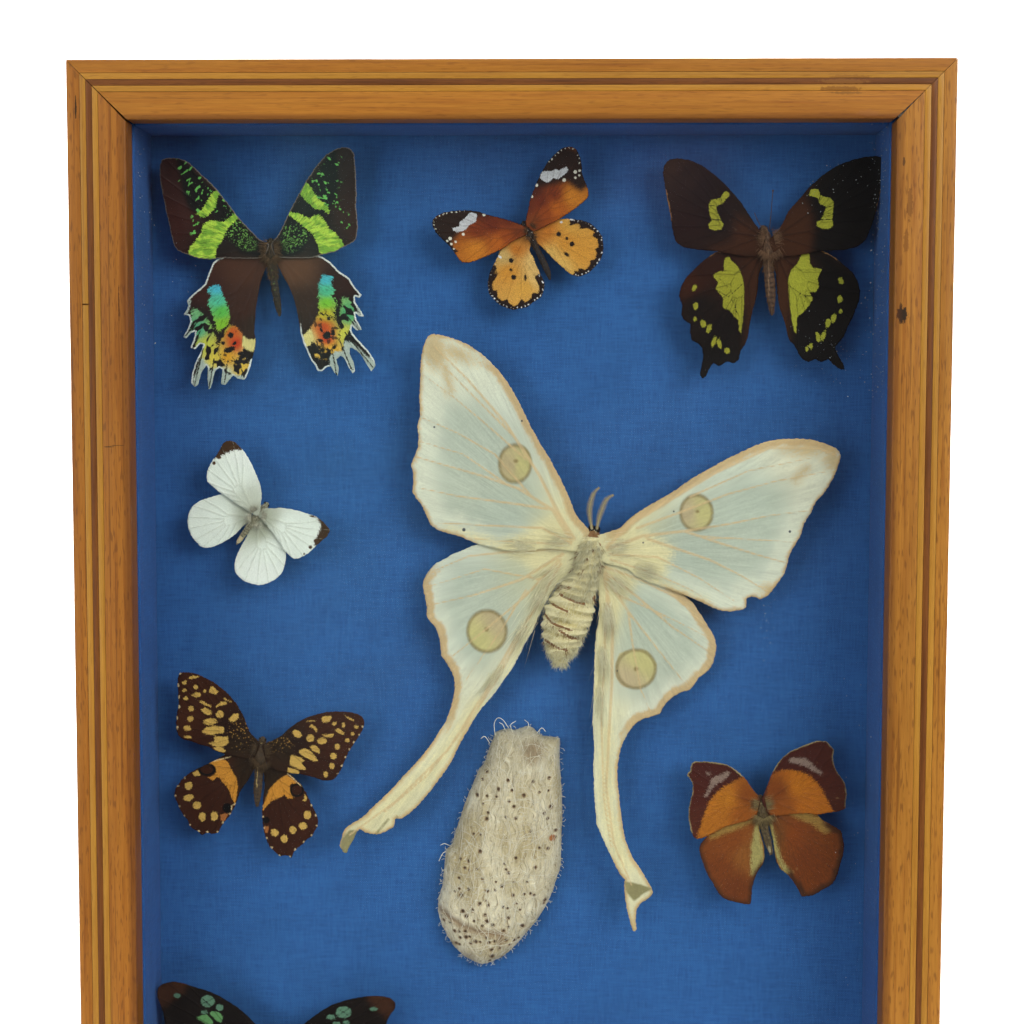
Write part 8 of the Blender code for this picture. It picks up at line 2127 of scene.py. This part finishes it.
def cocoon():
    g = np.random.default_rng(55)
    rim = CO_RIM + g.uniform(-.12, .12, CO_RIM.shape)
    lo, hi = rim.min(0), rim.max(0)
    gxs, gzs = np.arange(lo[0] - 3, hi[0] + 3, .4), np.arange(lo[1] - 3, hi[1] + 3, .4)
    GX_, GZ_ = np.meshgrid(gxs, gzs)
    field = poly_sdf(np.stack([GX_.ravel(), GZ_.ravel()], 1), rim).reshape(GX_.shape)

    def deep(p):
        """Distance inside the outline at one point, from a grid worked out once."""
        i = min(max(int(round((p[0] - gxs[0]) / .4)), 0), len(gxs) - 1)
        j = min(max(int(round((p[1] - gzs[0]) / .4)), 0), len(gzs) - 1)
        return field[j, i]

    step = .62
    X, Z = np.meshgrid(np.arange(lo[0], hi[0], step), np.arange(lo[1], hi[1], step * .87))
    X = X + (np.arange(X.shape[0]) % 2)[:, None] * step * .5
    pts = np.stack([X.ravel(), Z.ravel()], 1)
    pts += g.uniform(-.1, .1, pts.shape)
    H = np.array(CO_HOLES)
    keep = poly_sdf(pts, rim) > .3
    near = np.min(np.linalg.norm(pts[:, None] - H[None, :, :2], axis=2) - H[None, :, 2] * 1.8, axis=1)
    pts = pts[keep & (near > .1)]
    more = []
    for x, z, r in CO_HOLES:
        r = r * 1.3
        more.append((x, z))
        for rr, k in ((r * .55, 6), (r, 9), (r * 1.45, 9)):
            for a in np.linspace(0, 2 * math.pi, k + 1)[:-1]:
                more.append((x + rr * math.cos(a + rr), z + rr * math.sin(a + rr)))
    more = np.array(more)
    more = more[poly_sdf(more, rim) > .12]
    n = len(rim)
    allp = np.vstack([rim, pts, more])
    res = delaunay_2d_cdt([Vector(p) for p in allp], [(i, (i + 1) % n) for i in range(n)], [], 1, 1e-4)
    V2 = np.array([tuple(v) for v in res[0]])
    tris = [tuple(f) for f in res[2]]
    d = poly_sdf(V2, rim)
    y = cocoon_front(V2, d)
    dh = np.linalg.norm(V2[:, None] - H[None, :, :2], axis=2)
    q = dh / (H[None, :, 2] * 1.3)
    hole = np.min(q, axis=1)
    y += np.clip(1.15 - hole, 0, .75) / .75 * .6
    y -= .16 * np.exp(-((hole - 1.3) / .25) ** 2)
    y = np.minimum(y, 14.5)
    m_ = len(V2)
    cx, cz = COCOON_CENTRE[0], FRAME_H - COCOON_CENTRE[1]
    f3 = np.stack([V2[:, 0] + cx, y, V2[:, 1] + cz], 1)
    b3 = np.stack([V2[:, 0] + cx, np.full(m_, 14.9), V2[:, 1] + cz], 1)
    a, b, c = (V2[i] for i in tris[0])
    ccw = (b[0] - a[0]) * (c[1] - a[1]) - (b[1] - a[1]) * (c[0] - a[0]) > 0
    F = tris if ccw else [tuple(reversed(f)) for f in tris]
    count = set()
    for f in tris:
        for e in ((f[0], f[1]), (f[1], f[2]), (f[2], f[0])):
            count.add(e)
    faces = list(F) + [tuple(i + m_ for i in reversed(f)) for f in F]
    for e in count:
        if (e[1], e[0]) not in count:
            q4 = (e[1], e[0], e[0] + m_, e[1] + m_)
            faces.append(q4 if ccw else tuple(reversed(q4)))
    stain = sdf(V2, [C_(11.5, 39, 3), S_([(-12.7, -41.5), (-12.7, -44.5)], 1)])
    orange = sdf(V2, [C_(19.3, 5.3, 1.2)])
    fold = sdf(V2, [S_(CO_BAND, 1.0)])
    m = Mat("cocoon_silk", rough=.62, spec=.35)
    m.p.inputs["Sheen Weight"].default_value = .15
    at = m.at()
    warp = m.noise(m.scaled(160, 160, 160), detail=1, colour=True)
    n1 = m.node("VectorMath", operation="MULTIPLY_ADD")
    m.put(n1.inputs[0], warp)
    n1.inputs[1].default_value = (.006, .0, .006)
    m.put(n1.inputs[2], at)
    wv = n1.outputs[0]
    long = m.noise(m.scaled(1500, 500, 170, vec=wv), detail=3, rough=.7)
    cross = m.noise(m.scaled(260, 500, 1500, vec=wv, off=(3, 1, 2)), detail=2, rough=.65)
    broad = m.noise(m.scaled(90, 90, 60, off=(7, 2, 1)), detail=2)
    colour = m.mix(m.span(broad, .32, .66), srgb(208, 188, 140), srgb(250, 238, 204))
    colour = m.mix(m.span(long, .56, .74), colour, srgb(255, 248, 226))
    colour = m.mix(m.math("MULTIPLY", m.span(long, .50, .32), .8), colour, srgb(156, 136, 98))
    colour = m.mix(m.math("MULTIPLY", m.span(cross, .58, .70), .6), colour, srgb(250, 246, 230))
    z = m.axes()[2]
    colour = m.mix(m.math("MULTIPLY", m.span(z, (FRAME_H - 297 + 22) * MM, (FRAME_H - 297 + 44) * MM), .35), colour, srgb(186, 178, 154))
    colour = m.mix(m.math("MULTIPLY", m.span(m.math("ADD", m.attr("stain"), m.span(broad, .3, .7, -1.5, 1.5)), -2.5, 1.5), .7), colour, srgb(140, 108, 66))
    colour = m.mix(m.span(m.attr("orange"), -.4, .2), colour, srgb(186, 112, 52))
    colour = m.mix(m.math("MULTIPLY", m.span(m.attr("fold"), -2.2, .3), .8), colour, srgb(140, 104, 64))
    colour = m.mix(m.math("MULTIPLY", m.span(m.attr("hole"), 1.9, 1.0, smooth=True), .75), colour, srgb(150, 116, 76))
    # painted shade: dark inside each hole, in place of the hole's depth
    colour = m.mix(m.span(m.attr("hole"), 1.0, .72, smooth=True), colour, srgb(96, 70, 44))
    h = m.math("ADD", m.math("MULTIPLY", long, 1.0), m.math("MULTIPLY", cross, .6))
    m.set(Base_Color=colour, Roughness=m.span(long, .3, .7, .72, .5), Normal=m.bump(h, .0011, .9))
    at_ = {k: ("FLOAT", np.concatenate([v, v])) for k, v in (("hole", hole), ("stain", stain), ("orange", orange), ("fold", fold))}
    piece("silk_cocoon_shell", np.vstack([f3, b3]), faces, m.m, slot="cocoon", replaces="silk_cocoon", attrs=at_)

    # loose silk, all one joined piece
    s = Parts()
    for i in range(240):
        for _ in range(30):
            p = g.uniform(lo, hi)
            if deep(p) > 1.2:
                break
        a = g.normal(math.pi / 2, .55) if g.random() < .7 else g.uniform(0, 2 * math.pi)
        line = [p.copy()]
        for _ in range(int(g.integers(10, 26))):
            a += g.normal(0, .16)
            p = p + .9 * np.array([math.cos(a), math.sin(a)])
            if deep(p) < .7:
                break
            line.append(p.copy())
        if len(line) < 5:
            continue
        q = np.array(line)
        yy = cocoon_front(q) - .06 - .16 * np.abs(np.sin(np.linspace(0, 3.1, len(q)))) * g.uniform(.2, 1.2)
        vv, ff = tube(np.stack([q[:, 0] + cx, yy, q[:, 1] + cz], 1), g.uniform(.05, .10), sides=4)
        s.add(vv, outward(vv, ff), g.uniform(.3, 1.0))
    wisps = [[(-3, 44), (-3.4, 49), (-2, 51.3), (0, 50.5), (2, 47.5)], [(4, 45), (3, 48.5), (5, 50)], [(9, 46), (10, 49), (8.4, 50.5)], [(13, 45), (15, 47.5), (16.5, 46)],
             [(-5, 41), (-7, 44), (-8.6, 43)], [(1, 46), (0, 48.6), (-1.4, 49.4)], [(-22, -1.5), (-23.6, -2.5), (-25, -5.5)], [(-20, .2), (-22.6, 1.6), (-24.4, .8)]]
    for line in wisps:
        q = smooth_line(line, .5)
        vv, ff = tube(np.stack([q[:, 0] + cx, 12.4 - 1.4 * np.sin(np.linspace(.2, 2.6, len(q))), q[:, 1] + cz], 1), .13, sides=5)
        s.add(vv, outward(vv, ff), .9)
    k = len(rim)
    for i in range(150):
        j = int(g.integers(0, k))
        e = rim[(j + 3) % k] - rim[j - 3]
        nn = np.array([e[1], -e[0]]) / (np.linalg.norm(e) + 1e-9)
        if deep(rim[j] + nn * 1.2) > 0:
            nn = -nn
        top = rim[j][1] > 38
        ln_ = g.uniform(.4, 1.7) * (1.5 if top else 1.0)
        c0 = rim[j] - nn * .8
        tv = np.array([-nn[1], nn[0]]) * g.uniform(-1.4, 1.4)
        q = smooth_line([c0, c0 + nn * (.8 + ln_ * .5) + tv * .4, c0 + nn * (.8 + ln_ * .8) + tv * 1.1], .4)
        vv, ff = tube(np.stack([q[:, 0] + cx, 13.2 - g.uniform(0, 1.6) * np.linspace(0, 1, len(q)), q[:, 1] + cz], 1), g.uniform(.05, .09), sides=4)
        s.add(vv, outward(vv, ff), g.uniform(.4, 1.0))
    ms = Mat("cocoon_thread", rough=.55, spec=.35)
    t = ms.attr("tone")
    nz = ms.noise(ms.scaled(2500, 2500, 2500), detail=1)
    ms.set(Base_Color=ms.tone(ms.mix(t, srgb(210, 194, 156), srgb(255, 249, 230)), ms.span(nz, .3, .7, .9, 1.1)), Roughness=ms.span(nz, .3, .7, .5, .7),
           Normal=ms.bump(nz, .0001, .4))
    s.done("silk_cocoon_strands", ms.m, slot="cocoon")


cocoon()
# ---------------------------------------------------------------------------
# Materials for the CAD nodes that are carried over as they are.
def board_mat(name, base, dark, fleck, rough, grain):
    m = Mat(name, rough=rough, spec=.25)
    fibre = m.noise(m.scaled(1000 / grain, 1000 / grain, 300 / grain), detail=2, rough=.6)
    broad = m.noise(m.scaled(22, 22, 22, off=(4, 2, 9)), detail=2)
    chips = m.voronoi(m.scaled(420, 420, 260), out="Distance")
    c = m.mix(m.span(fibre, .3, .7), srgb(*dark), srgb(*base))
    c = m.mix(m.math("MULTIPLY", m.span(chips, .22, .10), .35), c, srgb(*fleck))
    c = m.tone(c, m.span(broad, .3, .7, .88, 1.1))
    h = m.math("ADD", fibre, m.math("MULTIPLY", chips, .4))
    return m.set(Base_Color=c, Roughness=m.span(fibre, .3, .7, rough - .08, rough + .1), Normal=m.bump(h, .0002, .6))


def steel_mat(name, base, spots):
    m = Mat(name, rough=.38, spec=.5, Metallic=.85)
    brush = m.noise(m.scaled(2600, 700, 180), detail=1)
    rust = m.noise(m.scaled(420, 420, 420, off=(2, 7, 1)), detail=3, rough=.6)
    c = m.tone(srgb(*base), m.span(brush, .3, .7, .85, 1.1))
    c = m.mix(m.math("MULTIPLY", m.span(rust, .62, .72), .7), c, srgb(*spots))
    return m.set(Base_Color=c, Roughness=m.span(rust, .5, .72, .34, .66), Normal=m.bump(m.math("ADD", brush, rust), .0001, .4))


KEPT = {"backing_board": board_mat("board", (176, 158, 126), (148, 128, 98), (120, 98, 72), .82, 1.4),
        "back_panel": board_mat("hardboard", (128, 88, 54), (98, 64, 38), (150, 112, 74), .68, .9)}
_steel = steel_mat("steel", (124, 122, 116), (92, 60, 38))
for _n in ("sawtooth_hanger", "hanger_nail_left", "hanger_nail_right"):
    KEPT[_n] = _steel
for _n, _m in KEPT.items():
    _o = bpy.data.objects[_n]
    _o.data.materials.clear()
    _o.data.materials.append(_m)
# The insects are held off the cloth by short pins that their bodies hide.
_pins = Parts()
for _p in SPECIMENS:
    _at = SPECIMENS[_p]["centre"]
    _ln = spine_line(_p, .22)
    _q = _ln[int(len(_ln) * .3)]
    _cx, _cz = _at[0] + _q[0], FRAME_H - _at[1] + _q[1]
    _ring = [(math.cos(a) * .25, math.sin(a) * .25) for a in np.linspace(0, 2 * math.pi, 9)[:-1]]
    _vs = [(_cx + u, y, _cz + v) for y in (6.0, 15.1) for u, v in _ring]
    _fs = [(k, (k + 1) % 8, 8 + (k + 1) % 8, 8 + k) for k in range(8)] + [tuple(range(8)), tuple(range(15, 7, -1))]
    _pins.add(_vs, outward(_vs, _fs), 1.0)
_pins.done("insect_pins", _steel, slot="steel")
# White dust lying inside the glass, thickest up the right edge, as in the photo.
def dust():
    g = np.random.default_rng(77)
    d = Parts()
    spots = []
    for _ in range(230):
        spots.append((137.4 - abs(g.normal(0, 3.2)), g.uniform(318, 424)))
    for _ in range(60):
        spots.append((-137.2 + abs(g.normal(0, 3.0)), g.uniform(330, 424)))
    for x, z, w, h, n in ((118, 334, 14, 16, 46), (96, 238, 3, 16, 30), (130, 150, 8, 70, 40), (-120, 356, 10, 22, 18), (118, 395, 14, 14, 24)):
        for _ in range(n):
            spots.append((g.normal(x, w / 2), g.normal(z, h / 2)))
    for x, z in spots:
        if abs(x) > 137.6:
            continue
        r = float(g.uniform(.05, .16)) * (1.5 if g.random() < .08 else 1)
        long_ = float(g.uniform(1, 2.2))
        a = g.uniform(0, math.pi)
        vs = []
        for k in range(5):
            w = 2 * math.pi * k / 5
            u, v = math.cos(w) * r * long_, math.sin(w) * r
            vs.append((x + u * math.cos(a) - v * math.sin(a), -13.62, z + u * math.sin(a) + v * math.cos(a)))
        vs += [(x, -13.69, z), (x, -13.56, z)]
        fs = [(k, (k + 1) % 5, 5) for k in range(5)] + [((k + 1) % 5, k, 6) for k in range(5)]
        d.add(vs, outward(vs, fs), float(g.uniform(.4, 1)))
    m = Mat("dust", rough=.9, spec=.1)
    n = m.noise(m.scaled(3000, 3000, 3000), detail=1)
    m.set(Base_Color=m.tone(srgb(206, 212, 214), m.math("MULTIPLY", m.attr("tone"), m.span(n, .3, .7, .8, 1.1))), Roughness=m.span(n, .3, .7, .8, .95),
          Normal=m.bump(n, .0001, .3))
    d.done("glass_dust", m.m, slot="glass")


dust()
